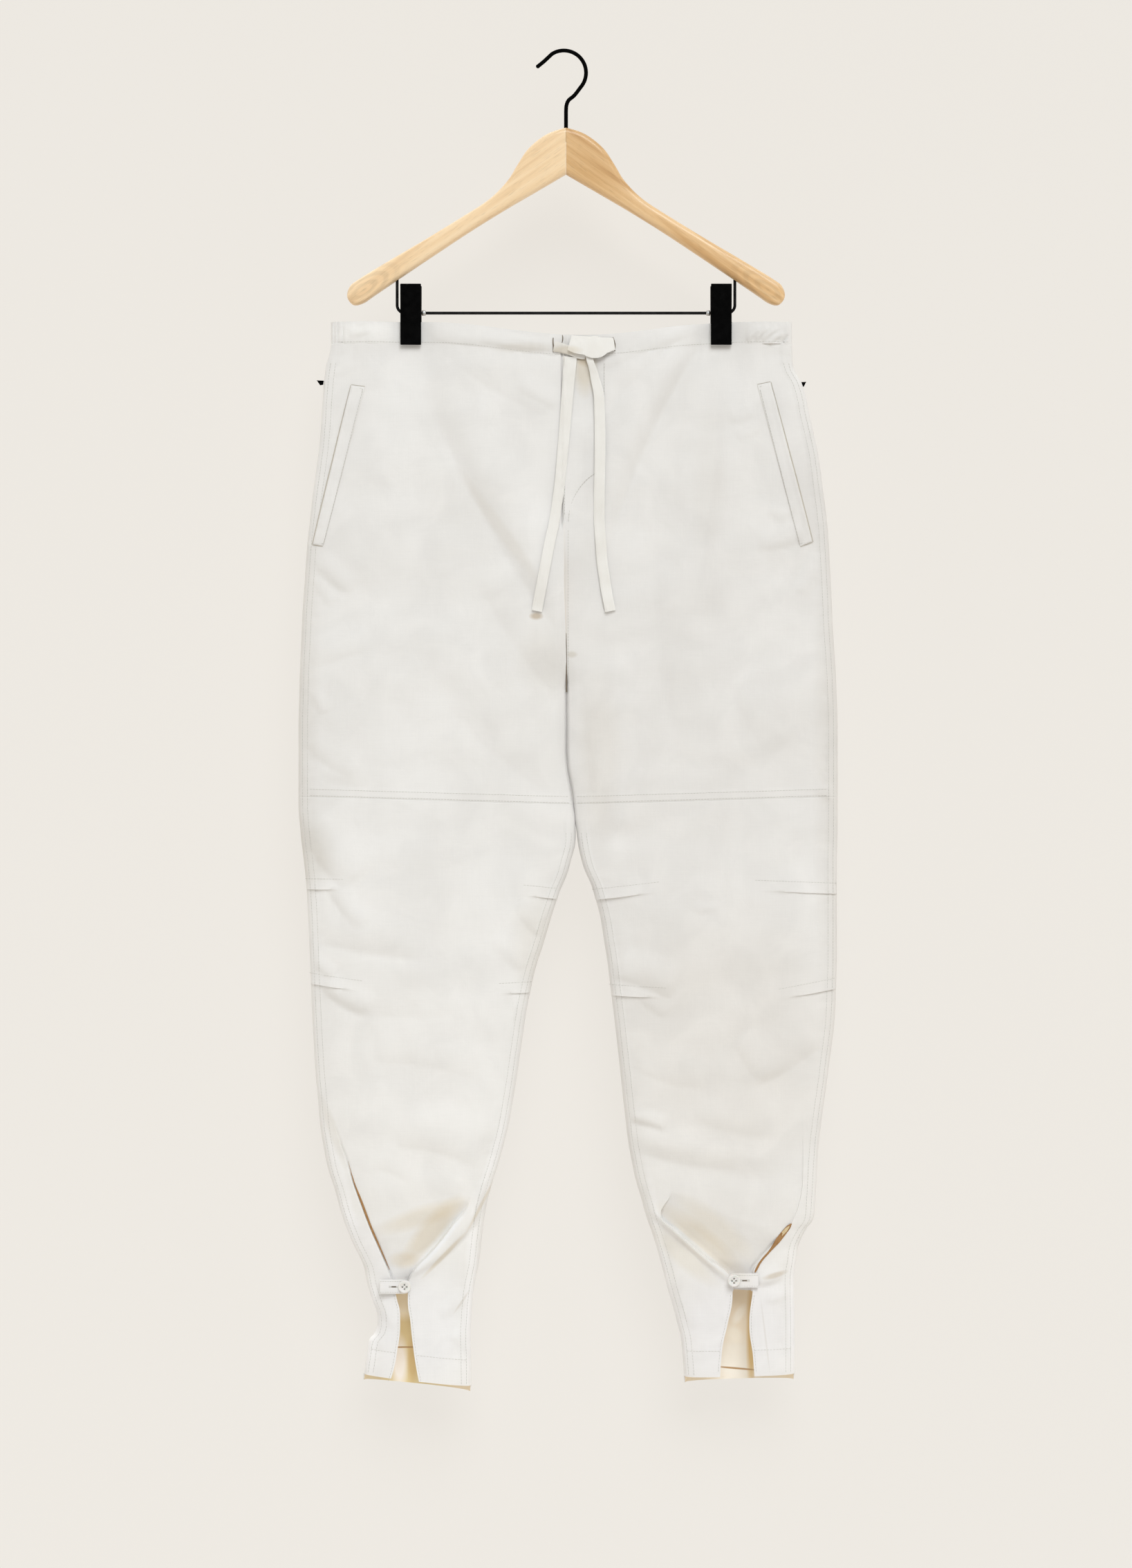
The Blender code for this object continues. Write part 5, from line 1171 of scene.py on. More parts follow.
def casing_depth(x, z, face):
    """How far the waistband's outer side stands from the plane of the seams."""
    depth = np.where(x < 0.0, LEFT.depth(x, z, face), RIGHT.depth(x, z, face))
    share = np.clip((z + waist_sag(x) - WAIST_SEAM) / (WAIST_TOP - WAIST_SEAM), 0.0, 1.0)
    slow = wavering(x, GATHER_PITCH, GATHER_DRIFT, GATHER_DRIFT_RATE, share)
    fine = wavering(x, FINE_GATHER_PITCH, 2.3, 61.0, share * 2.5)
    uneven = 0.55 + 0.45 * np.sin(x * 29.0 + 1.0)
    roll = CASING_ROLL * np.sin(share * math.pi)
    relief = roll + CASING_RIPPLE * (slow + 0.5 * fine) * uneven
    if face == FRONT:
        relief = relief + sum(drape_height(x, z, drape) for drape in CASING_DRAPES)
    step = CASING_RAISE * smoothly(share, 0.0, 0.9) + CASING_STEP
    return depth + step + relief * off_clips(x)


# The rows of the waistband's cells, as shares of its height
CASING_ROWS = (
    0.0, 0.03, 0.07, 0.13, 0.20, 0.28, 0.36, 0.44, 0.52, 0.60, 0.68, 0.76, 0.83, 0.89, 0.94, 0.98, 1.0,
)


def casing(name, face, finish):
    """The waistband: the cloth turned down over the drawstring, sagging between the clips."""
    left_end = LEFT.outer(WAIST_SEAM)
    right_end = RIGHT.outer(WAIST_SEAM)
    turn = EDGE_RADIUS * (1.0 - np.cos(TURN_ANGLES[:-1]))
    cells = round((right_end - left_end) / CASING_CELL)
    places = np.linspace(left_end + EDGE_RADIUS, right_end - EDGE_RADIUS, cells + 1)
    x = np.concatenate([left_end + turn, places, (right_end - turn)[::-1]])
    rise = np.sin(TURN_ANGLES[:-1])
    out = np.concatenate([rise, np.ones(len(places)), rise[::-1]])
    rows = []
    for share in CASING_ROWS:
        z = WAIST_SEAM + (WAIST_TOP - WAIST_SEAM) * share - waist_sag(x)
        y = face * (SEAM_GAP / 2.0 + (casing_depth(x, z, face) - SEAM_GAP / 2.0) * out)
        rows.append(np.stack([x, y, z], axis=1))
    outer = np.array(rows)
    inward = inward_normals(outer, face)
    inward[:, 0] = (1.0, 0.0, 0.0)
    inward[:, -1] = (-1.0, 0.0, 0.0)
    inward[:, 1:-1, 2] = 0.0
    inward /= np.linalg.norm(inward, axis=2, keepdims=True)
    return shell(name, outer, inward * CASING_WALL * CASING_THINNER, finish)


def body_front(x, z):
    """How far forward the fronts lie, at places seen from the front."""
    return np.where(x < -0.001, LEFT.depth(x, z, FRONT), RIGHT.depth(x, z, FRONT))


def patch(name, x, z, below, lift, thickness, finish):
    """A piece that lies on the cloth: its grid of places, moved out from the surface below it."""
    far = below(x, z) + lift + thickness
    outer = np.stack([x, -far, z], axis=-1)
    inward = np.zeros_like(outer)
    inward[..., 1] = thickness
    return shell(name, outer, inward, finish)


def between_corners(corners, step):
    """A grid of places in a four-cornered patch: top left, top right, bottom right, bottom left."""
    top_left, top_right, bottom_right, bottom_left = (np.array(corner) for corner in corners)
    rows = math.ceil(np.linalg.norm(bottom_left - top_left) / step) + 1
    columns = math.ceil(np.linalg.norm(top_right - top_left) / step) + 1
    down, over = np.meshgrid(np.linspace(0, 1, rows), np.linspace(0, 1, columns), indexing="ij")
    down = down[..., None]
    over = over[..., None]
    top = top_left + (top_right - top_left) * over
    bottom = bottom_left + (bottom_right - bottom_left) * over
    places = top + (bottom - top) * down
    return places[..., 0], places[..., 1], over[..., 0], down[..., 0]


# Pieces that lie on the cloth: corners from the top left, clockwise, and the paths of the tape
PATCH_STEP = 0.0011
PATCH_LIFT = 0.0005
WELT_SIZE = (0.0135, 0.165)
WELT_THICKNESS = 0.0012
WELT_FOOT = 0.0003
WELT_LIFT = PATCH_LIFT * 0.4
WELT_ROUNDING = 0.0010
WELT_GAPE = 0.0011
WELT_WAVE = 0.00018
FLY_THICKNESS = 0.0010
FLY_ROUNDING = 0.0008
FLY_RIPPLE = 0.0002
FLY_FOOT = 0.00015
FLY_CELL = 0.0014
POCKET_WELTS = {
    "left": ((-0.2170, -0.3380), (-0.2030, -0.3400), (-0.2457, -0.5005), (-0.2560, -0.4990)),
    "right": ((0.1932, -0.3380), (0.2065, -0.3350), (0.2490, -0.4965), (0.2366, -0.5010)),
}
FLY = ((-0.0035, -0.3135), (0.0400, -0.3135), (0.0400, -0.4400), (-0.0035, -0.4800))

# The width of the shadow in a pocket's mouth, from its top to its foot
MOUTH_WIDTHS = (0.0005, 0.0008, 0.0012, 0.0014, 0.0015, 0.0016, 0.0014, 0.0012, 0.0008)


def rounded_edge(share, width, radius):
    """0 at both edges of a strip and 1 from the radius inwards, as a quarter round."""
    from_edge = np.minimum(share, 1.0 - share) * width
    inside = np.clip(from_edge / radius, 0.0, 1.0)
    return np.sqrt(1.0 - (1.0 - inside) ** 2)


def pocket_welt(side, finish):
    """A folded strip, sewn down along one side and a little open along the other."""
    x, z, over, down = between_corners(POCKET_WELTS[side], PATCH_STEP)
    to_mouth = 1.0 - over if side == "left" else over
    width, length = WELT_SIZE
    edge = rounded_edge(over, width, WELT_ROUNDING) * rounded_edge(down, length, WELT_ROUNDING)
    ends_held = np.sin(np.pi * np.clip(down, 0.0, 1.0)) ** 0.5
    gape = WELT_GAPE * smoothly(to_mouth, 0.55, 1.0) * ends_held
    wave = WELT_WAVE * np.sin(down * 44.0 + 3.0 * np.sin(down * 9.0)) * (0.3 + 0.7 * to_mouth)
    fullness = 0.3 + 0.7 * smoothly(to_mouth, 0.0, 0.45)
    thickness = WELT_FOOT + (WELT_THICKNESS - WELT_FOOT) * edge * fullness
    return patch("welt_" + side, x, z, body_front, WELT_LIFT + gape + wave + 0.0002, thickness, finish)


def pocket_mouth(side, finish):
    """The shadowed lines round the welt: at the pocket's mouth, and across its head and foot."""
    top_left, top_right, bottom_right, bottom_left = (np.array(corner) for corner in POCKET_WELTS[side])
    top, bottom, other = top_left, bottom_left, bottom_right
    if side == "right":
        top, bottom, other = top_right, bottom_right, bottom_left
    aside = (0.0006 * LEGS[side].side, 0.0)
    runs = (
        ("line", top, bottom, aside, np.linspace(0.0, 1.0, 9), MOUTH_WIDTHS, 90),
        ("foot", bottom, other, (0.0, -0.0004), (0.0, 0.3, 0.7, 1.0), (0.0008,) * 4, 10),
        ("head", top_left, top_right, (0.0, 0.0005), (0.0, 0.3, 0.7, 1.0), (0.0006,) * 4, 10),
    )
    for name, start, end, beside_welt, shares, widths, steps in runs:
        places = [start + (end - start) * share + beside_welt for share in shares]
        stations = [(*place, width, 0.0001) for place, width in zip(places, widths)]
        ribbon = Ribbon(stations, steps, 3)
        piece = ribbon.build("pocket_mouth_" + name + "_" + side, body_front, 0.0002, finish)
        belongs(piece, "cotton")


def fly_relief(x, z):
    """How far the fly's cloth stands forward of the body's: most at its left, open edge."""
    left, top = FLY[0]
    right = FLY[1][0]
    share = np.clip((x - left) / (right - left), 0.0, 1.0)
    lower_edge = FLY[3][1] + (FLY[2][1] - FLY[3][1]) * share
    within = (x >= left) & (x <= right) & (z <= top) & (z >= lower_edge)
    return np.where(within, FLY_THICKNESS - 0.0006 * smoothly(share, 0.0, 0.5), 0.0)


def fly(finish):
    """The placket: open along its left edge and at the top, sewn down along the rest."""
    x, z, over, down = between_corners(FLY, FLY_CELL)
    edge = rounded_edge(over, FLY[1][0] - FLY[0][0], FLY_ROUNDING)
    stands_off = smoothly(over, 0.5, 0.0) * smoothly(down, 1.0, 0.93)
    thickness = FLY_FOOT + FLY_THICKNESS * edge * stands_off
    ripple = FLY_RIPPLE * np.sin(down * 60.0 + 2.0 * np.sin(down * 17.0)) * stands_off
    lift = 0.0001 + np.maximum(ripple, 0.0) - 0.0002 * (1.0 - stands_off)
    return patch("fly", x, z, body_front, lift, thickness, finish)


# The tape's own flatness over the bumps below it, and its least lift and edge thickness
TAPE_FLATNESS = 0.7
TAPE_CLEARANCE = 0.0002
TAPE_EDGE = 0.35


def mean_of_five(values):
    """Each value's mean with its two neighbours on both sides."""
    return np.convolve(np.pad(values, 2, mode="edge"), np.ones(5) / 5.0, "valid")


class Ribbon:
    """A flat tape that follows a smooth line of places, each with its width and its lift off the cloth."""

    def __init__(self, stations, steps, across=9):
        stations = np.array(stations)
        gaps = np.linalg.norm(np.diff(stations[:, :2], axis=0), axis=1)
        lengths = np.concatenate([[0.0], np.cumsum(gaps)])
        falling = list(-lengths)
        through = [smooth_through(falling, list(stations[:, k])) for k in range(4)]
        run = np.linspace(0.0, lengths[-1], steps + 1)
        x, z, width, lift = (value(-run) for value in through)
        self.middle = np.stack([x, z], axis=1)
        along = np.gradient(self.middle, axis=0)
        along /= np.linalg.norm(along, axis=1, keepdims=True)
        aside = np.stack([-along[:, 1], along[:, 0]], axis=1)
        self.share = np.linspace(-1.0, 1.0, across)
        offsets = (self.share * width[:, None] / 2.0)[..., None]
        places = self.middle[:, None, :] + aside[:, None, :] * offsets
        self.x = places[..., 0]
        self.z = places[..., 1]
        self.lift = lift
        self.run = run

    def build(self, name, below, thickness, finish, twist=None):
        """Lays the tape flat across its width on the foremost of what is below it."""
        ground = below(self.x, self.z)
        foremost = ground.max(axis=1, keepdims=True)
        flat = foremost * TAPE_FLATNESS + ground * (1.0 - TAPE_FLATNESS)
        steady = np.apply_along_axis(mean_of_five, 0, flat)
        far = np.maximum(steady, ground + TAPE_CLEARANCE) + self.lift[:, None]
        if twist is not None:
            far = far + twist(self.run)[:, None] * self.share
        edge = np.sqrt(np.clip(1.0 - np.abs(self.share) ** 6, 0.0, 1.0))
        wall = thickness * (TAPE_EDGE + (1.0 - TAPE_EDGE) * edge)
        at_middle = far[:, len(self.share) // 2] + thickness / 2.0
        self.path = np.stack([self.middle[:, 0], -at_middle, self.middle[:, 1]], axis=1)
        outer = np.stack([self.x, -(far + wall), self.z], axis=-1)
        inward = np.zeros_like(outer)
        inward[..., 1] = wall
        return shell(name, outer, inward, finish)


def waist_front(x, z):
    """The foremost of the fronts, the fly and the waistband."""
    ground = body_front(x, z) + fly_relief(x, z)
    on_casing = z > WAIST_SEAM - waist_sag(x) - 0.0005
    return np.maximum(ground, np.where(on_casing, casing_depth(x, z, FRONT), 0.0))


# The tape's stretches: place, width and lift off the cloth
LEFT_RUN = (
    (-0.0122, -0.2994, 0.0104, 0.0018), (-0.0040, -0.3012, 0.0096, 0.0022),
    (0.0060, -0.3048, 0.0086, 0.0024), (0.0130, -0.3078, 0.0082, 0.0022), (0.0195, -0.3092, 0.0070, 0.0018),
)
OVER_RUN = (
    (0.0488, -0.2970, 0.0124, 0.0016), (0.0400, -0.2984, 0.0166, 0.0026), (0.0285, -0.3003, 0.0232, 0.0036),
    (0.0200, -0.2990, 0.0196, 0.0040), (0.0120, -0.2980, 0.0186, 0.0040), (0.0036, -0.2958, 0.0160, 0.0034),
)
# Dark lines, as place and width: painted shade in the buttonholes that the tape comes out of, a stitched mark beside
# the left one, and a painted shadow between the thighs at the crotch
SLITS = {
    "slit_left": (
        (-0.0129, -0.2905, 0.0008), (-0.0131, -0.2950, 0.0011),
        (-0.0127, -0.3000, 0.0013), (-0.0129, -0.3052, 0.0010),
    ),
    "slit_mark": ((-0.0036, -0.2877, 0.0005), (-0.0033, -0.2912, 0.0010), (-0.0041, -0.2958, 0.0006)),
    "slit_right": (
        (0.0474, -0.2900, 0.0007), (0.0488, -0.2945, 0.0011),
        (0.0495, -0.2990, 0.0012), (0.0492, -0.3040, 0.0009),
    ),
    "crotch_line": (
        (0.0002, -0.5890, 0.0004), (0.0003, -0.6050, 0.0009),
        (0.0004, -0.6250, 0.0011), (0.0006, -0.6480, 0.0013),
    ),
}
# Strips of painted shade in the gape of the right ankle's outer pleat, and on the tip of cloth that shows in it
PLEAT_GAPE = {
    "pleat_right": (
        (0.2275, -1.1845, 0.0010), (0.2230, -1.1900, 0.0044),
        (0.2150, -1.2000, 0.0050), (0.2105, -1.2060, 0.0036),
        (0.2040, -1.2140, 0.0020), (0.1975, -1.2215, 0.0018),
        (0.1928, -1.2290, 0.0022), (0.1905, -1.2335, 0.0012),
    ),
}
PLEAT_TIP = {
    "pleat_tip": (
        (0.2252, -1.1872, 0.0010), (0.2212, -1.1916, 0.0030),
        (0.2160, -1.1974, 0.0026), (0.2120, -1.2024, 0.0008),
    ),
}
# The strip of painted shade in the gape of the left ankle's outer pleat: heights, and the widths there
PLEAT_HEIGHTS = (-1.232, -1.215, -1.194, -1.165, -1.140, -1.120)
PLEAT_WIDTHS = (0.0004, 0.0011, 0.0019, 0.0022, 0.0013, 0.0004)
TAIL_STATIONS = {
    "left": (
        (0.0046, -0.3100, 0.0128, 0.0010), (0.0020, -0.3400, 0.0122, 0.0012),
        (-0.0032, -0.4053, 0.0108, 0.0010),
        (-0.0091, -0.4592, 0.0104, 0.0010), (-0.0172, -0.5019, 0.0106, 0.0012),
        (-0.0294, -0.5670, 0.0106, 0.0016),
    ),
    "right": (
        (0.0222, -0.3062, 0.0070, 0.0044), (0.0245, -0.3150, 0.0070, 0.0034),
        (0.0290, -0.3304, 0.0088, 0.0022),
        (0.0338, -0.3626, 0.0106, 0.0016), (0.0343, -0.4053, 0.0108, 0.0012),
        (0.0335, -0.4592, 0.0108, 0.0010),
        (0.0354, -0.5019, 0.0108, 0.0012), (0.0389, -0.5341, 0.0108, 0.0014),
        (0.0448, -0.5670, 0.0106, 0.0018),
    ),
}
TAPE_THICKNESS = 0.0009
TAIL_LENGTHS = {"left": 0.257, "right": 0.262}
TAIL_SWAY = {"left": 0.0005, "right": -0.0006}
SHADOW_LIFT = 0.00015
SHADOW_THICKNESS = 0.00025
TIP_LIFT = 0.00045


def drawstring(finish):
    """The tape's two free ends, and the half knot that holds them."""
    for side, stations in TAIL_STATIONS.items():
        ribbon = Ribbon(stations, 150)
        sway = TAIL_SWAY[side]
        piece = ribbon.build(
            "tape_end_" + side, waist_front, TAPE_THICKNESS, finish,
            twist=lambda run: sway * np.sin(run * 34.0) + 0.0004 * np.sin(run * 91.0),
        )
        belongs(piece, "tape", "drawstring_tail_" + side)
        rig.cord(
            piece, exit=ribbon.path[0], length=TAIL_LENGTHS[side], diameter=TAPE_WIDTH, far_end="bare",
            stiffness="limp", lay="hanging", path=ribbon.path,
        )
    knot = (
        ("tape_run_left", Ribbon(LEFT_RUN, 40), lambda run: 0.0015 - 0.0010 * smoothly(run, 0.008, 0.022)),
        ("tape_run_over", Ribbon(OVER_RUN, 60, 13), lambda run: 0.0014 + 0.0016 * smoothly(run, 0.0, 0.015)),
    )
    for name, ribbon, twist in knot:
        piece = ribbon.build(name, waist_front, TAPE_THICKNESS, finish, twist)
        belongs(piece, "tape", "drawstring_knot")


def shadow_lines(lines, finish, lift=SHADOW_LIFT):
    """Narrow strips of painted shadow in the openings between pieces of cloth."""
    for name, stations in lines.items():
        ribbon = Ribbon([(*station, lift) for station in stations], 40, 3)
        belongs(ribbon.build(name, waist_front, SHADOW_THICKNESS, finish), "cotton")


def pleat_line():
    """The strip of painted shade at the bottom of the left ankle's outer pleat."""
    heights = np.linspace(PLEAT_HEIGHTS[-1], PLEAT_HEIGHTS[0], 12)
    widths = np.interp(heights, PLEAT_HEIGHTS, PLEAT_WIDTHS)
    return {"pleat_left": [
        (float(LEFT.outer_line(z)) + LEFT.gap[1], z, width) for z, width in zip(heights, widths)
    ]}


# Stitch rows: their distances from the edges of the seams, hems and openings that they hold
SIDE_ROWS = (0.0046, 0.0098)
SEAT_ROWS = (0.0015, 0.0075)
KNEE_ROWS = (0.0012, 0.0076)
SLIT_ROW = 0.0020
HEM_ROW = 0.0018
TUCK_ROW = 0.0098
# The fly's rows: one along its open edge, and one that runs down beside its sewn edge and then
# curves in to the middle, and the row that joins the fronts below it
FLY_ROW_TOP = FLY[0][1] - 0.0025
FLY_OPEN_ROW = (FLY[0][0] + 0.0022, -0.470)
FLY_OPEN_LIFT = 0.0013
FLY_SEWN_LIFT = 0.0006
FLY_ROW_X = 0.0385
FLY_ROW_TURNS = -0.4250
FLY_CURVE = (0.036, 0.052)
BELOW_FLY_ROW = ((0.0022, -0.485), (0.0022, -0.640))
WELT_ROW_SHARES = (0.93, 0.975)
CASING_ROW = 0.0016
CASING_ROW_ENDS = 0.004
PANEL_TOP = -0.3150
BAR_SHARE = 0.7


class Thread:
    """Stitches, gathered up into one mesh: each is a small bar that lies on the cloth."""

    def __init__(self):
        self.points = []

    def run(self, path, surface, face=FRONT, pitch=0.0030, length=0.0021, width=0.0006, stand=0.00022):
        """A row of stitches along a path of places, on a surface given as a distance forward."""
        path = np.array(path, float)
        gaps = np.linalg.norm(np.diff(path, axis=0), axis=1)
        along = np.concatenate([[0.0], np.cumsum(gaps)])
        count = max(1, int(along[-1] / pitch))
        middles = (np.arange(count) + 0.5) * along[-1] / count
        ends = []
        for shift in (-length / 2.0, length / 2.0):
            run = np.clip(middles + shift, 0.0, along[-1])
            x = np.interp(run, along, path[:, 0])
            z = np.interp(run, along, path[:, 1])
            ends.append(np.stack([x, face * surface(x, z), z], axis=1))
        self.bars(ends[0], ends[1], face, width, stand)

    def bars(self, start, end, face, width, stand):
        """Bars from one place to the next, narrower at the top than where they lie on the cloth."""
        direction = end - start
        direction /= np.linalg.norm(direction, axis=1, keepdims=True)
        out = np.array([0.0, float(face), 0.0]) - direction * (direction[:, 1:2] * face)
        out /= np.linalg.norm(out, axis=1, keepdims=True)
        aside = np.cross(direction, out)
        corners = []
        for end_point in (start, end):
            for over, up in ((-1.0, -0.5), (1.0, -0.5), (0.6, 1.0), (-0.6, 1.0)):
                corners.append(end_point + aside * (over * width / 2.0 * BAR_SHARE) + out * (up * stand))
        self.points.append(np.stack(corners, axis=1))

    def build(self, name, finish):
        points = np.concatenate(self.points)
        quads = np.array([[0, 1, 2, 3], [7, 6, 5, 4], [0, 4, 5, 1], [1, 5, 6, 2], [2, 6, 7, 3], [3, 7, 4, 0]])
        base = np.arange(len(points))[:, None, None] * 8
        faces = (quads[None] + base).reshape(-1, 4)
        return mesh_object(name, points.reshape(-1, 3), faces, finish)


def down_leg(leg, line, offset, top, bottom, count=260):
    """Places down a leg beside one of its lines."""
    z = np.linspace(top, bottom, count)
    return np.stack([getattr(leg, line)(z) + leg.side * offset, z], axis=1)


def across_leg(leg, heights, outer_offset, inner_offset, count=120):
    """Places across a leg along a slanted line, kept clear of both edges."""
    outer = leg.outer(heights[0]) - leg.side * outer_offset
    inner = leg.inner(heights[1]) + leg.side * inner_offset
    x = np.linspace(outer, inner, count)
    return np.stack([x, leg.slanted(x, heights)], axis=1)


def stitch_fronts(side, finish):
    """The rows along a front's seams, knee, tucks, hem and slit."""
    leg = LEGS[side]
    thread = Thread()

    def surface(x, z):
        return leg.depth(x, z, FRONT)

    for offset in SIDE_ROWS:
        thread.run(down_leg(leg, "outer", -offset, PANEL_TOP, leg.hem[0] + 0.002), surface)
        thread.run(down_leg(leg, "inner", offset, INSEAM_STRIP_TOP - 0.01, leg.hem[1] + 0.002), surface)
    for move in KNEE_ROWS:
        heights = (leg.knee[0] + move, leg.knee[1] + move)
        thread.run(across_leg(leg, heights, 0.012, 0.004), surface)
    for tuck in leg.tucks[FRONT]:
        x = np.linspace(tuck.x0, tuck.x1, 30)
        z = np.linspace(tuck.z0, tuck.z1, 30) + TUCK_ROW
        thread.run(np.stack([x, z], axis=1), surface)
    stitch_hem(thread, leg, surface, FRONT)
    for line, way in (("outer_line", 1.0), ("inner_line", -1.0)):
        thread.run(down_leg(leg, line, way * SLIT_ROW, SLIT_TOP - 0.006, min(leg.hem) + 0.006, 60), surface)
    belongs(thread.build("stitches_front_" + side, finish), "cotton")


def stitch_hem(thread, leg, surface, face):
    """The hem's row, which stops at the slit in front."""
    heights = tuple(height + HEM_WIDTH - HEM_ROW for height in leg.hem)
    path = across_leg(leg, heights, 0.004, 0.004)
    parts = [path]
    if face == FRONT:
        x = path[:, 0]
        from_outer = (x - leg.outer_line(heights[0])) * leg.side
        from_inner = (leg.inner_line(heights[1]) - x) * leg.side
        parts = [path[from_outer > 0.001], path[from_inner > 0.001]]
    for part in parts:
        thread.run(part, surface, face)


def stitch_backs(side, finish):
    """The rows along a back's seat seam and hem."""
    leg = LEGS[side]
    thread = Thread()

    def surface(x, z):
        return leg.depth(x, z, BACK)

    for offset in SEAT_ROWS:
        thread.run(down_leg(leg, "inner", offset, PANEL_TOP, CROTCH + 0.02), surface, BACK)
    stitch_hem(thread, leg, surface, BACK)
    belongs(thread.build("stitches_back_" + side, finish), "cotton")


def stitch_trimmings(finish):
    """Edge stitching of the pocket welts and the fly, and the waistband's lower stitch line."""
    thread = Thread()
    for side in LEGS:
        corners = np.array(POCKET_WELTS[side])
        centre = corners.mean(axis=0)
        inset = centre + (corners - centre) * WELT_ROW_SHARES
        loop = np.concatenate([inset, inset[:1]])
        edges = [np.linspace(loop[k], loop[k + 1], 60, endpoint=False) for k in range(4)]
        thread.run(np.concatenate(edges), lambda x, z: body_front(x, z) + WELT_LIFT + WELT_THICKNESS)
    open_edge = np.linspace((FLY_OPEN_ROW[0], FLY_ROW_TOP), FLY_OPEN_ROW, 60)
    thread.run(open_edge, lambda x, z: body_front(x, z) + FLY_OPEN_LIFT)
    turn = np.linspace(0.0, math.pi / 2.0, 24)
    straight = np.linspace((FLY_ROW_X, FLY_ROW_TOP), (FLY_ROW_X, FLY_ROW_TURNS), 40)
    over, down = FLY_CURVE
    curve_x = FLY_ROW_X - over * np.sin(turn) ** 1.3
    curve_z = FLY_ROW_TURNS - down * (1.0 - np.cos(turn))
    sewn_edge = np.concatenate([straight, np.stack([curve_x, curve_z], axis=1)])
    thread.run(sewn_edge, lambda x, z: body_front(x, z) + FLY_SEWN_LIFT)
    thread.run(np.linspace(*BELOW_FLY_ROW, 60), body_front)
    left_end = LEFT.outer(WAIST_SEAM) + CASING_ROW_ENDS
    right_end = RIGHT.outer(WAIST_SEAM) - CASING_ROW_ENDS
    for face in (FRONT, BACK):
        x = np.linspace(left_end, right_end, 400)
        z = WAIST_SEAM - waist_sag(x) + CASING_ROW
        thread.run(np.stack([x, z], axis=1), lambda x, z: casing_depth(x, z, face), face)
    belongs(thread.build("stitches_waist_and_pockets", finish), "cotton")


# How outlines drawn in X and Y are stood up: facing the front, or facing the side
UPRIGHT = (math.pi / 2.0, 0.0, 0.0)
SIDEWAYS = (math.pi / 2.0, 0.0, math.pi / 2.0)
WELD = 0.00001


def curve_mesh(name, points, finish, rotation=(0.0, 0.0, 0.0), **settings):
    """A curve of straight stretches, thickened as its settings say, as a welded mesh in place."""
    data = bpy.data.curves.new(name, "CURVE")
    for setting, value in settings.items():
        setattr(data, setting, value)
    spline = data.splines.new("POLY")
    spline.use_cyclic_u = data.dimensions == "2D"
    spline.points.add(len(points) - 1)
    for knot, point in zip(spline.points, points):
        knot.co = (*point, 1.0)
    obj = linked(name, data)
    obj.rotation_euler = rotation
    bpy.context.view_layer.update()
    evaluated = obj.evaluated_get(bpy.context.evaluated_depsgraph_get())
    data = bpy.data.meshes.new_from_object(evaluated)
    data.transform(obj.matrix_world)
    mesh = bmesh.new()
    mesh.from_mesh(data)
    bmesh.ops.remove_doubles(mesh, verts=mesh.verts, dist=WELD)
    bmesh.ops.recalc_face_normals(mesh, faces=mesh.faces)
    mesh.to_mesh(data)
    mesh.free()
    shade(data, HARD_EDGE)
    data.materials.clear()
    data.materials.append(finish)
    bpy.data.objects.remove(obj)
    return linked(name, data)


def flat_outline(name, points, half_thickness, rounding, finish, rotation=UPRIGHT, resolution=4):
    """An outline filled and extruded to both sides, its edges rounded within the outline."""
    return curve_mesh(
        name, [(x, y, 0.0) for x, y in points], finish, rotation, dimensions="2D", fill_mode="BOTH",
        extrude=half_thickness - rounding, bevel_depth=rounding, bevel_resolution=resolution,
        offset=-rounding,
    )


def wire(name, points, radius, finish):
    """A round wire through these points, its ends closed."""
    return curve_mesh(
        name, points, finish, dimensions="3D", bevel_depth=radius, bevel_resolution=6, use_fill_caps=True,
    )


def arc(centre, radius, start, end, steps):
    """Points of an arc in the plane of the hanger, from one angle in degrees to another."""
    angles = np.radians(np.linspace(start, end, steps + 1))
    return [(centre[0] + radius * math.cos(a), 0.0, centre[1] + radius * math.sin(a)) for a in angles]


# One arm of the hanger: its outline from the mitre, along the top, round the end and back
ARM_OUTLINE = (
    (-0.0120, -0.0765), (0.0003, -0.0765), (0.0200, -0.0833), (0.0380, -0.0975), (0.0495, -0.1145),
    (0.0595, -0.1305), (0.0780, -0.1490), (0.1080, -0.1685), (0.1440, -0.1905), (0.1806, -0.2120),
    (0.2100, -0.2300), (0.2190, -0.2375), (0.2215, -0.2480), (0.2150, -0.2560), (0.2050, -0.2540),
    (0.1945, -0.2470), (0.1720, -0.2317), (0.1360, -0.2075), (0.0975, -0.1820), (0.0637, -0.1610),
    (0.0273, -0.1397), (0.0003, -0.1239), (-0.0120, -0.1167),
)
MITRE = 0.0001
HOOK_CENTRE = (-0.0022, -0.0205)
HOOK_RADIUS = 0.0225
HOOK_ARC = (122.0, -40.0)
HOOK_TIP = ((-0.0284, 0.0, -0.0140), (-0.0224, 0.0, -0.0091))
HOOK_NECK = ((0.0086, 0.0, -0.0433), (0.0026, 0.0, -0.0485), (0.0004, 0.0, -0.0540), (0.0, 0.0, -0.0600))
HOOK_ENDS = -0.0905
TIP_RADIUS = 0.0021


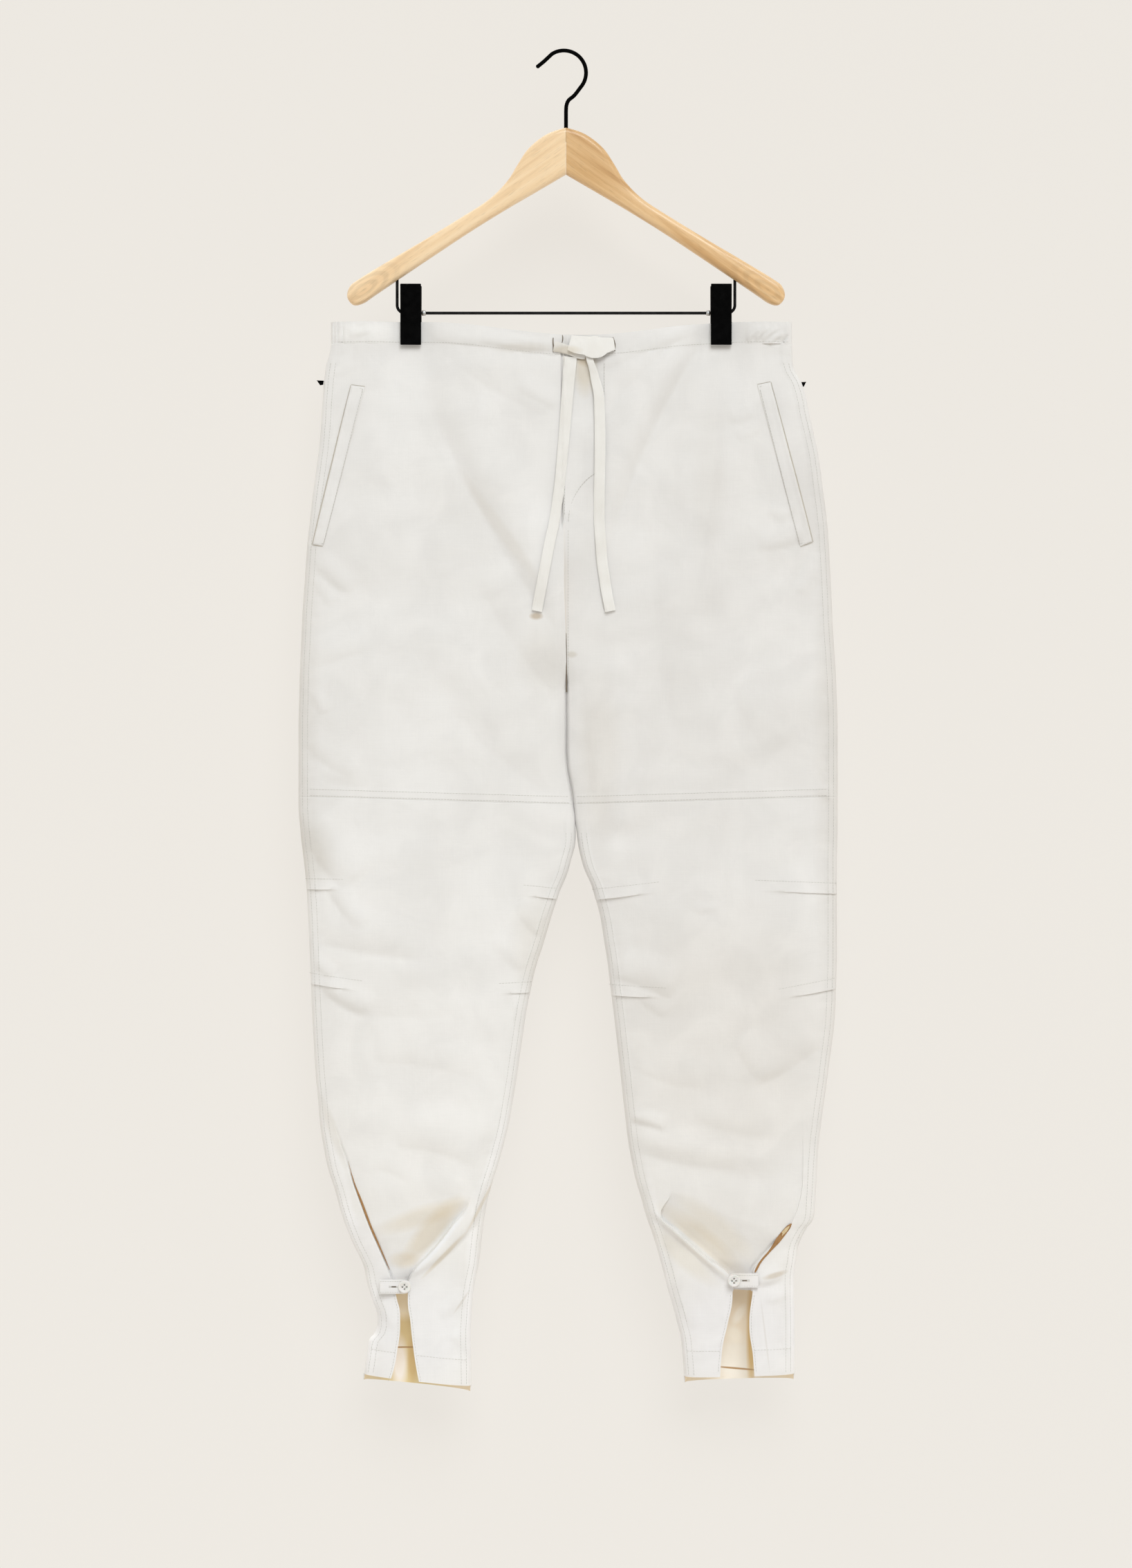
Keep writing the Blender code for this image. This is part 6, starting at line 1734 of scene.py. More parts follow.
def eased(points, steps):
    """An open line through these points, its bends eased with a Catmull-Rom curve."""
    points = np.array(points)
    padded = np.concatenate([2 * points[:1] - points[1:2], points, 2 * points[-1:] - points[-2:-1]])
    line = []
    for a, b, c, d in zip(padded, padded[1:], padded[2:], padded[3:]):
        for t in np.linspace(0.0, 1.0, steps, endpoint=False):
            line.append(0.5 * (
                2.0 * b + (c - a) * t + (2.0 * a - 5.0 * b + 4.0 * c - d) * t ** 2
                + (3.0 * b - a - 3.0 * c + d) * t ** 3
            ))
    line.append(points[-1])
    return line


def cut_off(piece, sign):
    """Cuts a piece flat at the hanger's mitre, and keeps what lies outside it."""
    mesh = bmesh.new()
    mesh.from_mesh(piece.data)
    everything = mesh.verts[:] + mesh.edges[:] + mesh.faces[:]
    cut = bmesh.ops.bisect_plane(
        mesh, geom=everything, plane_co=(sign * MITRE, 0.0, 0.0), plane_no=(sign, 0.0, 0.0), clear_inner=True,
    )
    rim = [part for part in cut["geom_cut"] if isinstance(part, bmesh.types.BMEdge)]
    bmesh.ops.holes_fill(mesh, edges=rim)
    bmesh.ops.recalc_face_normals(mesh, faces=mesh.faces)
    mesh.to_mesh(piece.data)
    mesh.free()
    piece.data.set_sharp_from_angle(angle=math.radians(HARD_EDGE))


def hanger(wood, black, steel):
    """The two wooden arms, the wire hook with its ball tip, and the bar that carries the clips."""
    for side, sign in (("left", -1), ("right", 1)):
        outline = np.array(eased(ARM_OUTLINE, 5)) * (sign, 1.0)
        arm = flat_outline(
            "arm_" + side, outline, HANGER_THICKNESS / 2.0, HANGER_ROUNDING, wood[side], resolution=6,
        )
        cut_off(arm, sign)
        belongs(arm, "pale_beech" if side == "left" else "darker_beech", "hanger_arm_" + side)
    rounds = arc(HOOK_CENTRE, HOOK_RADIUS, *HOOK_ARC, 40)
    line = eased([*HOOK_TIP, rounds[0]], 6)[:-1] + rounds + eased([rounds[-1], *HOOK_NECK], 6)[1:]
    belongs(wire("hook", [*line, (0.0, 0.0, HOOK_ENDS)], HOOK_WIRE, black), "black_steel", "hanger_hook")
    ball = [(TIP_RADIUS * math.sin(a), -TIP_RADIUS * math.cos(a)) for a in np.linspace(0.0, math.pi, 13)]
    ball[0], ball[-1] = (0.0, -TIP_RADIUS), (0.0, TIP_RADIUS)
    tip = turned("hook_tip", ball, 24, black)
    tip.data.transform(Matrix.Translation(HOOK_TIP[0]))
    belongs(tip, "black_steel", "hanger_hook")
    bend_x = BAR_X - BAR_BEND
    bend_z = BAR_Z + BAR_BEND
    left_bend = arc((-bend_x, bend_z), BAR_BEND, 180.0, 270.0, 12)
    right_bend = arc((bend_x, bend_z), BAR_BEND, 270.0, 360.0, 12)
    line = [(-BAR_X, 0.0, BAR_ENDS), *left_bend, *right_bend, (BAR_X, 0.0, BAR_ENDS)]
    belongs(wire("bar", line, BAR_WIRE, steel), "dark_wire", "hanger_bar")


# The side of one clip jaw: its distance from the plane of the seams, and its height
JAW_OUTLINE = (
    (0.0080, CLIP_TOP), (0.0110, CLIP_TOP), (0.0112, -0.2450), (0.0088, -0.2640), (0.0082, -0.2800),
    (0.0082, CLIP_BOTTOM), (0.0060, CLIP_BOTTOM), (0.0042, -0.2930), (0.0042, -0.2715),
    (0.0021, -0.2665), (0.0021, -0.2610), (0.0060, -0.2500),
)
FERRULE_LENGTH = 0.004
FERRULE_RADIUS = 0.0027
FERRULE_GAP = 0.0005
FERRULE_ROUNDING = 0.0004


def clips(black, zinc):
    """Two folded jaws a clip, and the collar beside it on the bar."""
    half = FERRULE_LENGTH / 2.0
    bore = BAR_WIRE + SEAM_GAP
    rim = FERRULE_RADIUS - FERRULE_ROUNDING
    wall = half - FERRULE_ROUNDING
    profile = (
        (bore, half), (rim, half), (FERRULE_RADIUS, wall),
        (FERRULE_RADIUS, -wall), (rim, -half), (bore, -half),
    )
    for side, sign in (("left", -1), ("right", 1)):
        for jaw, face in (("front", FRONT), ("back", BACK)):
            outline = [(y * face, z) for y, z in JAW_OUTLINE]
            name = jaw + "_" + side
            clip = flat_outline("jaw_" + name, outline, CLIP_WIDTH / 2.0, CLIP_ROUNDING, black, SIDEWAYS)
            clip.data.transform(Matrix.Translation((CLIP_X * sign, 0.0, 0.0)))
            belongs(clip, "black_steel", "clip_" + name)
        x = sign * (CLIP_X - CLIP_WIDTH / 2.0 - FERRULE_GAP - half)
        collar = turned("collar_" + side, profile, 32, zinc)
        collar.data.transform(Matrix.Translation((x, 0.0, BAR_Z)) @ Matrix.Rotation(math.pi / 2.0, 4, "Y"))
        belongs(collar, "zinc", "clip_ferrule_" + side)


def turned(name, profile, steps, finish):
    """A profile of radius and height, turned round the Z axis, as a closed mesh."""
    ring = np.linspace(0.0, 2.0 * math.pi, steps, endpoint=False)
    mesh = bmesh.new()
    rings = []
    for radius, height in profile:
        if radius == 0.0:
            rings.append([mesh.verts.new((0.0, 0.0, height))])
        else:
            rings.append([mesh.verts.new((radius * math.cos(a), radius * math.sin(a), height)) for a in ring])
    pairs = list(zip(rings, rings[1:]))
    if profile[0][0] > 0.0:
        pairs.append((rings[-1], rings[0]))
    for first, second in pairs:
        for k in range(steps):
            following = (k + 1) % steps
            corners = [first[k % len(first)], first[following % len(first)]]
            corners += [second[following % len(second)], second[k % len(second)]]
            mesh.faces.new(list(dict.fromkeys(corners)))
    bmesh.ops.recalc_face_normals(mesh, faces=mesh.faces)
    data = bpy.data.meshes.new(name)
    mesh.to_mesh(data)
    mesh.free()
    shade(data, TURNED_EDGE)
    data.materials.append(finish)
    return linked(name, data)


def drilled(piece, offset, radius):
    """Four round holes through a piece, along Z, above, below and beside its middle."""
    mesh = bmesh.new()
    for x, y in ((offset, 0.0), (0.0, offset), (-offset, 0.0), (0.0, -offset)):
        bmesh.ops.create_cone(
            mesh, cap_ends=True, segments=16, radius1=radius, radius2=radius, depth=0.02,
            matrix=Matrix.Translation((x, y, 0.0)),
        )
    data = bpy.data.meshes.new("holes")
    mesh.to_mesh(data)
    mesh.free()
    cutter = linked("holes", data)
    cut = piece.modifiers.new("holes", "BOOLEAN")
    cut.operation = "DIFFERENCE"
    cut.object = cutter
    bpy.context.view_layer.update()
    drawn = piece.evaluated_get(bpy.context.evaluated_depsgraph_get())
    drilled_data = bpy.data.meshes.new_from_object(drawn)
    piece.modifiers.clear()
    piece.data = drilled_data
    bpy.data.objects.remove(cutter)


# Each ankle tab: where its round end and its square end are in X, and its height
TAB_WIDTH = 0.0142
TAB_THICKNESS = 0.0016
TAB_ROUNDING = 0.0006
TAB_ROW = 0.0016
TABS = {
    "left": (-0.1565, -0.1878, -1.2478),
    "right": (0.1630, 0.1938, -1.2414),
}
BUTTON_RADIUS = 0.0063
BUTTON_HEIGHT = 0.0026
BUTTON_INSET = 0.0062
BUTTON_PROFILE = (
    (0.0, 0.62), (0.30, 0.63), (0.55, 0.70), (0.68, 0.84), (0.78, 0.96), (0.86, 1.0), (0.94, 0.93),
    (0.99, 0.75), (1.0, 0.55), (0.96, 0.30), (0.88, 0.10), (0.70, 0.0), (0.0, 0.0),
)
SQUARE = ((-1, -1), (1, -1), (1, 1), (-1, 1))
HOLE_RADIUS = 0.0009
HOLE_OFFSET = 0.0021
# The buttonhole's opening, and how far its side and end stitches reach from its middle
BUTTONHOLE_INSET = 0.0170
BUTTONHOLE_SIZE = (0.0048, 0.0012)
BUTTONHOLE_THICKNESS = 0.0002
BUTTONHOLE_ROUNDING = 0.00002
BUTTONHOLE_LIFT = 0.00012
BUTTONHOLE_SIDE = (0.0042, 0.0006)
BUTTONHOLE_END = (0.0046, 0.0013)
BUTTON_THREAD_HEIGHT = 0.66
CAP_ANGLES = np.radians(np.linspace(-88.0, 88.0, 23))


def tab_outline(side, inset):
    """The tab's outline within its edge by this much: square at one end, round at the other."""
    round_end, square_end, z = TABS[side]
    half = TAB_WIDTH / 2.0
    reach = half - inset
    way = LEGS[side].side
    cap = [(round_end + way * (half - reach * math.cos(a)), z + reach * math.sin(a)) for a in CAP_ANGLES]
    return [(square_end, z - reach), *cap, (square_end, z + reach)]


def ankle_tab(side, cotton, plastic, thread_finish, opening):
    """The buttoned tab that draws the ankle in, its buttonhole and its four-hole button."""
    round_end, _, z = TABS[side]
    way = LEGS[side].side
    node = "ankle_tab_" + side
    low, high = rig.box(node)
    tab = flat_outline("tab_" + side, tab_outline(side, 0.0), TAB_THICKNESS / 2.0, TAB_ROUNDING, cotton)
    tab.data.transform(Matrix.Translation((0.0, (low.y + high.y) / 2.0, 0.0)))
    belongs(tab, "cotton", node)
    profile = [(r * BUTTON_RADIUS, h * BUTTON_HEIGHT) for r, h in BUTTON_PROFILE]
    button = turned("button_" + side, profile, 48, plastic)
    centre = Vector((round_end + way * BUTTON_INSET, low.y - SEAM_GAP, z))
    drilled(button, HOLE_OFFSET, HOLE_RADIUS)
    button.data.transform(Matrix.Translation(centre) @ Matrix.Rotation(math.pi / 2.0, 4, "X"))
    belongs(button, "white_plastic", "ankle_button_" + side)
    hole_x = round_end + way * BUTTONHOLE_INSET
    corners = [(x * BUTTONHOLE_SIZE[0] / 2.0, y * BUTTONHOLE_SIZE[1] / 2.0) for x, y in SQUARE]
    # The buttonhole's opening is a thin dark sheet: painted shade
    hole = flat_outline(
        "buttonhole_" + side, corners, BUTTONHOLE_THICKNESS / 2.0, BUTTONHOLE_ROUNDING, opening,
    )
    hole.data.transform(Matrix.Translation((hole_x, low.y - BUTTONHOLE_LIFT, z)))
    belongs(hole, "cotton", node)
    thread = Thread()

    def on_tab(x, z):
        return np.full(x.shape, -low.y)

    def in_button(x, z):
        return np.full(x.shape, -low.y + SEAM_GAP + BUTTON_HEIGHT * BUTTON_THREAD_HEIGHT)

    thread.run(tab_outline(side, TAB_ROW), on_tab, pitch=0.0024, length=0.0017)
    reach, aside = BUTTONHOLE_SIDE
    for row in (-aside, aside):
        path = [(hole_x - reach, z + row), (hole_x + reach, z + row)]
        thread.run(path, on_tab, pitch=0.0005, length=0.00045, width=0.0009)
    reach, aside = BUTTONHOLE_END
    for end in (-reach, reach):
        path = [(hole_x + end, z - aside), (hole_x + end, z + aside)]
        thread.run(path, on_tab, pitch=0.0004, length=0.00035, width=0.0008)
    for offset in (-HOLE_OFFSET, HOLE_OFFSET):
        path = [(centre.x + offset, z), (centre.x, z - offset)]
        thread.run(path, in_button, pitch=0.003, length=0.003, width=0.0008, stand=0.0004)
    belongs(thread.build("stitches_tab_" + side, thread_finish), "cotton")
    return tab


EYE_THICKNESS = 0.0030
EYE_ROUNDING = 0.0004
# The side eyes: the height, inset and share of the full width of each, and their outline as
# distance out from the seam, and height
SIDE_EYES = {"left": (-0.3345, 0.0, 1.0), "right": (-0.3360, 0.0012, 0.7)}
SIDE_EYE_OUTLINE = ((0.0003, 0.0020), (0.0074, 0.0023), (0.0040, -0.0026), (0.0009, -0.0020))


def side_eyes(black):
    """The small dark eye that shows its edge at each side seam."""
    for side, (height, inset, share) in SIDE_EYES.items():
        leg = LEGS[side]
        seam = leg.outer(height)
        outline = [(seam + leg.side * (out * share - inset), height + up) for out, up in SIDE_EYE_OUTLINE]
        eye = flat_outline("eye_" + side, outline, EYE_THICKNESS / 2.0, EYE_ROUNDING, black)
        belongs(eye, "black_steel", "side_eye_" + side)


class Finish:
    """A material under construction: its node tree, and short ways to add nodes and links."""

    def __init__(self, name, roughness, **constants):
        self.material = bpy.data.materials.new(name)
        self.material.use_nodes = True
        self.nodes = self.material.node_tree.nodes
        self.links = self.material.node_tree.links
        self.shader = self.nodes["Principled BSDF"]
        self.shader.inputs["Roughness"].default_value = roughness
        for socket, value in constants.items():
            self.shader.inputs[socket.replace("_", " ")].default_value = value
        self.place = self.node("TexCoord", {})["Object"]

    def node(self, kind, inputs, **settings):
        """Adds a node whose inputs are constants or other nodes' outputs, and gives its own outputs."""
        node = self.nodes.new("ShaderNode" + kind)
        for setting, value in settings.items():
            setattr(node, setting, value)
        for socket, value in inputs.items():
            self.feed(node.inputs[socket], value)
        return node.outputs

    def feed(self, socket, value):
        """Gives a socket a constant, or links another node's output to it."""
        if isinstance(value, bpy.types.NodeSocket):
            self.links.new(value, socket)
        else:
            socket.default_value = value

    def turned_place(self, angle, scale):
        """The object's own coordinates, turned about Y and stretched."""
        turned = self.node("Mapping", {"Vector": self.place, "Rotation": (0.0, angle, 0.0)})["Vector"]
        return self.node("Mapping", {"Vector": turned, "Scale": scale})["Vector"]

    def noise(self, scale, detail=3.0, place=None, distortion=0.0):
        """Soft noise: the higher the scale, the finer it is."""
        return self.node("TexNoise", {
            "Vector": place or self.place, "Scale": scale, "Detail": detail, "Distortion": distortion,
        })["Fac"]

    def threads(self, direction, scale):
        """A band wave across X, Y or Z, its lines a little uneven."""
        return self.node("TexWave", {
            "Vector": self.place, "Scale": scale, "Distortion": 0.6, "Detail": 1.0, "Detail Scale": 0.6,
        }, bands_direction=direction)["Fac"]

    def weave(self):
        """The crossing threads of plain cotton cloth."""
        return self.maths(self.threads("X", THREAD_SCALE), self.threads("Z", THREAD_SCALE), "MULTIPLY")

    def ramp(self, value, *stops):
        """A colour that changes with a value, through these stops."""
        node = self.nodes.new("ShaderNodeValToRGB")
        elements = node.color_ramp.elements
        while len(elements) < len(stops):
            elements.new(0.5)
        for element, (place, colour) in zip(elements, stops):
            element.position = place
            element.color = (*colour, 1.0)
        self.links.new(value, node.inputs["Fac"])
        return node.outputs["Color"]

    def mixed(self, share, first, second, blend="MIX"):
        """The first colour, changed towards the second by this share."""
        inputs = {"Factor": share, "A": first, "B": second}
        outputs = self.node("Mix", inputs, data_type="RGBA", blend_type=blend)
        return [out for out in outputs if out.type == "RGBA"][0]

    def times(self, colour, factor, share=1.0):
        """A colour multiplied by a factor."""
        return self.mixed(share, colour, factor, "MULTIPLY")

    def maths(self, first, second, operation="ADD"):
        return self.node("Math", {0: first, 1: second}, operation=operation)["Value"]

    def within(self, x, z, reach_x, reach_z, turn=0.0, reach_y=0.2):
        """1 near a place in the object's own coordinates, and 0 beyond its reach along each axis.

        A turn in degrees tips the place's X axis down.
        """
        reach = (reach_x, reach_y, reach_z)
        from_centre = self.from_place((x, 0.0, z), (0.0, math.radians(turn), 0.0), reach)
        length = self.node("VectorMath", {0: from_centre}, operation="LENGTH")["Value"]
        return self.spread(length, 0.45, 1.0, 1.0, 0.0)

    def from_place(self, centre, rotation, reach):
        """Coordinates that are 0 at this centre and 1 at this reach along each turned axis."""
        inputs = {"Vector": self.place, "Location": centre, "Rotation": rotation, "Scale": reach}
        return self.node("Mapping", inputs, vector_type="TEXTURE")["Vector"]

    def spread(self, value, low, high, to_low, to_high):
        """A value between low and high, stretched to run from to_low to to_high."""
        inputs = {"Value": value, "From Min": low, "From Max": high, "To Min": to_low, "To Max": to_high}
        return self.node("MapRange", inputs)["Result"]

    def along(self, axis):
        """One of the object's own coordinates."""
        return self.node("SeparateXYZ", {"Vector": self.place})[axis]

    def colour(self, value):
        self.feed(self.shader.inputs["Base Color"], value)

    def mottled(self, scale, dark, pale, detail=3.0, ends=(0.3, 0.7)):
        """A colour that drifts between two tones, as its whole base colour."""
        self.colour(self.ramp(self.noise(scale, detail), (ends[0], dark), (ends[1], pale)))

    def rough(self, value):
        self.feed(self.shader.inputs["Roughness"], value)

    def bump(self, height, distance, strength=1.0, onto=None):
        inputs = {"Distance": distance, "Strength": strength, "Height": height}
        if onto is not None:
            inputs["Normal"] = onto
        normal = self.node("Bump", inputs)["Normal"]
        self.links.new(normal, self.shader.inputs["Normal"])
        return normal


# Wave textures repeat every 0.314 m at a scale of 1, so this gives threads 0.5 mm apart
THREAD_SCALE = 628.0
COTTON_TONES = ((0.772, 0.762, 0.751), (0.802, 0.795, 0.788))
WARM_TONE = (0.812, 0.796, 0.774)
# The inner side's warm tones are painted shade
INSIDE_SHADE_TONES = ((0.800, 0.700, 0.540), (0.840, 0.750, 0.600))
# Places of the front where light and shade are painted into the colour: a tone below 1 is painted shade in creases,
# hollows, along the flanks and under the tape, and a tone above 1 is painted light on ridges and edges. Columns: X, Z,
# reach along X and Z, turn in degrees, tone
FRONT_PAINTED_LIGHT_AND_SHADE = (
    (-0.1362, -1.1932, 0.052, 0.0150, -50.2, (0.940, 0.885, 0.790)),
    (-0.1267, -1.2012, 0.048, 0.0062, -50.2, (1.030, 1.060, 1.100)),
    (-0.1442, -1.1767, 0.056, 0.0125, -18.3, (0.960, 0.925, 0.860)),
    (-0.0861, -1.1669, 0.034, 0.0022, -61.9, (0.910, 0.865, 0.790)),
    (-0.1225, -1.2159, 0.036, 0.0030, -45.9, (0.890, 0.835, 0.745)),
    (0.1395, -1.2045, 0.066, 0.0155, 41.0, (0.955, 0.910, 0.830)),
    (0.1524, -1.1910, 0.058, 0.0170, 41.0, (0.980, 0.955, 0.905)),
    (0.1302, -1.2075, 0.055, 0.0036, 41.0, (1.040, 1.080, 1.150)),
    (0.2110, -1.2362, 0.015, 0.0036, -14.0, (0.820, 0.765, 0.690)),
    (-0.1640, -1.2220, 0.018, 0.0100, 0.0, (0.950, 0.905, 0.830)),
    (0.2009, -1.2971, 0.042, 0.0012, 83.0, (0.920, 0.910, 0.890)),
    (-0.1050, -1.2635, 0.016, 0.0016, -55.0, (0.900, 0.880, 0.850)),
    (-0.0721, -1.1165, 0.060, 0.0075, -74.0, (1.050, 1.055, 1.070)),
    (-0.0952, -1.2635, 0.0075, 0.110, 0.0, (1.055, 1.060, 1.075)),
    (-0.2268, -1.1410, 0.085, 0.0080, 77.0, (1.060, 1.065, 1.080)),
    (-0.1970, -1.2900, 0.0085, 0.060, 0.0, (1.060, 1.065, 1.080)),
    (0.0994, -1.2355, 0.125, 0.0070, 81.0, (1.055, 1.060, 1.075)),
    (0.2303, -1.2705, 0.0070, 0.085, 0.0, (1.055, 1.060, 1.075)),
    (0.1200, -1.2190, 0.050, 0.0130, 41.0, (0.960, 0.940, 0.895)),
    (-0.2352, -1.0920, 0.042, 0.0065, 70.7, (0.930, 0.915, 0.890)),
    (-0.2030, -1.2040, 0.060, 0.0150, 57.5, (1.030, 1.035, 1.055)),
    (-0.1500, -1.2900, 0.075, 0.0800, 0.0, (1.008, 1.016, 1.042)),
    (0.1700, -1.2900, 0.085, 0.0800, 0.0, (1.008, 1.012, 1.042)),
    (-0.0630, -0.4880, 0.088, 0.0080, 54.5, (0.965, 0.955, 0.940)),
    (-0.0300, -0.5720, 0.008, 0.0045, 0.0, (0.720, 0.640, 0.540)),
    (-0.2000, -0.2850, 0.060, 0.0130, 0.0, (1.065, 1.070, 1.070)),
    (0.185, -0.800, 0.230, 0.600, 0.0, (0.970, 0.965, 0.962)),
    (0.160, -1.010, 0.130, 0.170, 0.0, (0.965, 0.955, 0.942)),
    (0.264, -0.420, 0.044, 0.140, 0.0, (0.955, 0.950, 0.945)),
    (-0.028, -0.905, 0.032, 0.065, 0.0, (0.950, 0.940, 0.920)),
    (-0.045, -0.3010, 0.034, 0.0062, 0.0, (0.930, 0.915, 0.890)),
    (0.019, -0.3120, 0.010, 0.009, 0.0, (0.880, 0.825, 0.750)),
    (0.034, -0.715, 0.025, 0.105, 0.0, (0.955, 0.945, 0.930)),
    (-0.276, -0.620, 0.030, 0.300, 0.0, (0.930, 0.920, 0.905)),
    (0.279, -0.720, 0.032, 0.360, 0.0, (0.925, 0.915, 0.900)),
    (-0.263, -0.812, 0.034, 0.048, 0.0, (0.915, 0.905, 0.885)),
    (-0.022, -0.615, 0.030, 0.050, 0.0, (0.970, 0.965, 0.955)),
    (0.0060, -0.6104, 0.0065, 0.0040, 0.0, (0.870, 0.845, 0.800)),
    (0.145, -0.445, 0.020, 0.110, 0.0, (0.978, 0.975, 0.970)),
    (0.019, -0.3200, 0.014, 0.034, 0.0, (0.930, 0.880, 0.790)),
)


def cotton_finish():
    """Washed white cotton: plain weave with uneven threads, faint mottling, a warmer tone towards the ankles, painted
    shade and painted light on the front, and patches of painted crumple shade.
    """
    finish = Finish(
        "white washed cotton", 0.86, Sheen_Weight=0.12, Sheen_Roughness=0.6, Specular_IOR_Level=0.25,
    )
    clouds = finish.noise(9.0, 4.0)
    colour = finish.ramp(clouds, (0.30, COTTON_TONES[0]), (0.70, COTTON_TONES[1]))
    low = finish.spread(finish.along("Z"), -0.80, -1.20, 0.0, 0.55)
    plain = finish.mixed(low, colour, (*WARM_TONE, 1.0))
    # Painted shade and painted light at the places listed above, on the front only
    light_and_shade_painted = plain
    for *place, tone in FRONT_PAINTED_LIGHT_AND_SHADE:
        light_and_shade_painted = finish.mixed(finish.within(*place), light_and_shade_painted, finish.times(light_and_shade_painted, (*tone, 1.0)))
    in_front = finish.spread(finish.along("Y"), -0.002, 0.004, 1.0, 0.0)
    colour = finish.mixed(in_front, plain, light_and_shade_painted)
    over = finish.noise(1.0, 2.0, finish.turned_place(0.0, (45.0, 300.0, 1900.0)))
    up = finish.noise(1.0, 2.0, finish.turned_place(0.0, (1900.0, 300.0, 45.0)))
    slubs = finish.maths(over, up)
    colour = finish.times(colour, finish.spread(slubs, 0.75, 1.25, 0.985, 1.010))
    # Soft light and dark patches: painted shade of small crumples
    crumple_shade_painted = finish.noise(19.0, 3.0, distortion=0.9)
    finish.colour(finish.times(colour, finish.spread(crumple_shade_painted, 0.36, 0.64, 0.972, 1.018)))
    finish.rough(finish.spread(clouds, 0.2, 0.8, 0.82, 0.92))
    fine = finish.bump(finish.maths(finish.weave(), slubs), 0.00008, 0.4)
    finish.bump(finish.noise(42.0, 4.0, distortion=0.6), 0.0025, 0.22, fine)
    return finish.material


# Where the inner side shows in the slit ankles, light and shade are painted into its colour: golden painted shade,
# pale painted light, and thin dark painted shadow lines under the hems.
# The columns are those of the front's painted places above.
INSIDE_PAINTED_LIGHT_AND_SHADE = (
    (-0.160, -1.290, 0.060, 0.130, 0.0, (0.725, 0.610, 0.345)),
    (-0.164, -1.268, 0.020, 0.020, 0.0, (0.980, 0.950, 0.860)),
    (-0.1690, -1.329, 0.0100, 0.032, 0.0, (0.900, 0.870, 0.860)),
    (-0.1560, -1.327, 0.0065, 0.030, 0.0, (0.640, 0.480, 0.220)),
    (0.178, -1.290, 0.060, 0.130, 0.0, (0.800, 0.735, 0.635)),
    (0.1730, -1.326, 0.030, 0.032, 0.0, (0.790, 0.765, 0.715)),
    (0.1760, -1.280, 0.006, 0.014, 30.0, (0.860, 0.840, 0.790)),
    (0.1710, -1.300, 0.009, 0.012, -40.0, (0.840, 0.810, 0.740)),
    (0.1885, -1.300, 0.0060, 0.070, 0.0, (0.640, 0.460, 0.200)),
    (-0.163, -1.3136, 0.030, 0.0011, 0.0, (0.400, 0.230, 0.080)),
    (0.173, -1.3352, 0.030, 0.0013, 5.0, (0.360, 0.200, 0.075)),
)


def inside_finish():
    """The cloth's inner side: its warm colour is painted shade, and a faint glow is painted light for the light that
    comes through the cloth.
    """
    finish = Finish("inside of the white cotton", 0.90, Emission_Strength=0.10, Specular_IOR_Level=0.2)
    # The glow is painted light
    finish.shader.inputs["Emission Color"].default_value = (1.0, 0.84, 0.62, 1.0)
    colour = finish.ramp(finish.noise(14.0, 4.0), (0.30, INSIDE_SHADE_TONES[0]), (0.70, INSIDE_SHADE_TONES[1]))
    # Painted light and shade at the listed places in the slits
    for *place, tone in INSIDE_PAINTED_LIGHT_AND_SHADE:
        colour = finish.mixed(finish.within(*place), colour, (*tone, 1.0))
    finish.colour(colour)
    finish.bump(finish.weave(), 0.00010, 0.5)
    return finish.material


def tape_finish():
    """Narrow cotton tape: ribs along it, a tighter weave than the cloth's, and painted shade under the knot's loop."""
    finish = Finish("white cotton tape", 0.84, Sheen_Weight=0.10, Specular_IOR_Level=0.25)
    colour = finish.ramp(finish.noise(60.0), (0.30, (0.790, 0.776, 0.745)), (0.70, (0.822, 0.812, 0.788)))
    # Painted shade on the left run where it lies under the knot's loop
    painted_shade_under_loop = finish.within(-0.001, -0.3040, 0.020, 0.0062)
    finish.colour(finish.mixed(painted_shade_under_loop, colour, (0.725, 0.685, 0.615, 1.0)))
    ribs = finish.maths(finish.threads("X", 285.0), finish.threads("Z", 520.0))
    finish.bump(ribs, 0.00010, 0.4)
    return finish.material


def thread_finish():
    """Sewing cotton, twisted: darker than the cloth, as painted shade of the stitches' holes."""
    finish = Finish("white sewing thread", 0.78, Specular_IOR_Level=0.3)
    # Darker than the cloth: painted shade
    finish.mottled(400.0, (0.50, 0.49, 0.462), (0.62, 0.61, 0.58))
    finish.bump(finish.noise(2600.0, 2.0), 0.0001, 0.5)
    return finish.material


def opening_finish(name, dark, pale):
    """The shadowed cloth that shows in a narrow opening."""
    finish = Finish(name, 0.95, Specular_IOR_Level=0.1)
    finish.mottled(300.0, dark, pale)
    return finish.material


# Beech of two boards: pale, middle and dark streaks, and the tone of the wood near the mitre
PALE_BEECH = ((0.93, 0.72, 0.475), (0.89, 0.66, 0.405), (0.81, 0.575, 0.335), (1.0, 1.0, 1.0))
DARKER_BEECH = ((0.86, 0.61, 0.35), (0.77, 0.51, 0.26), (0.62, 0.37, 0.16), (0.86, 0.80, 0.70))
WOOD_REACH = 0.05


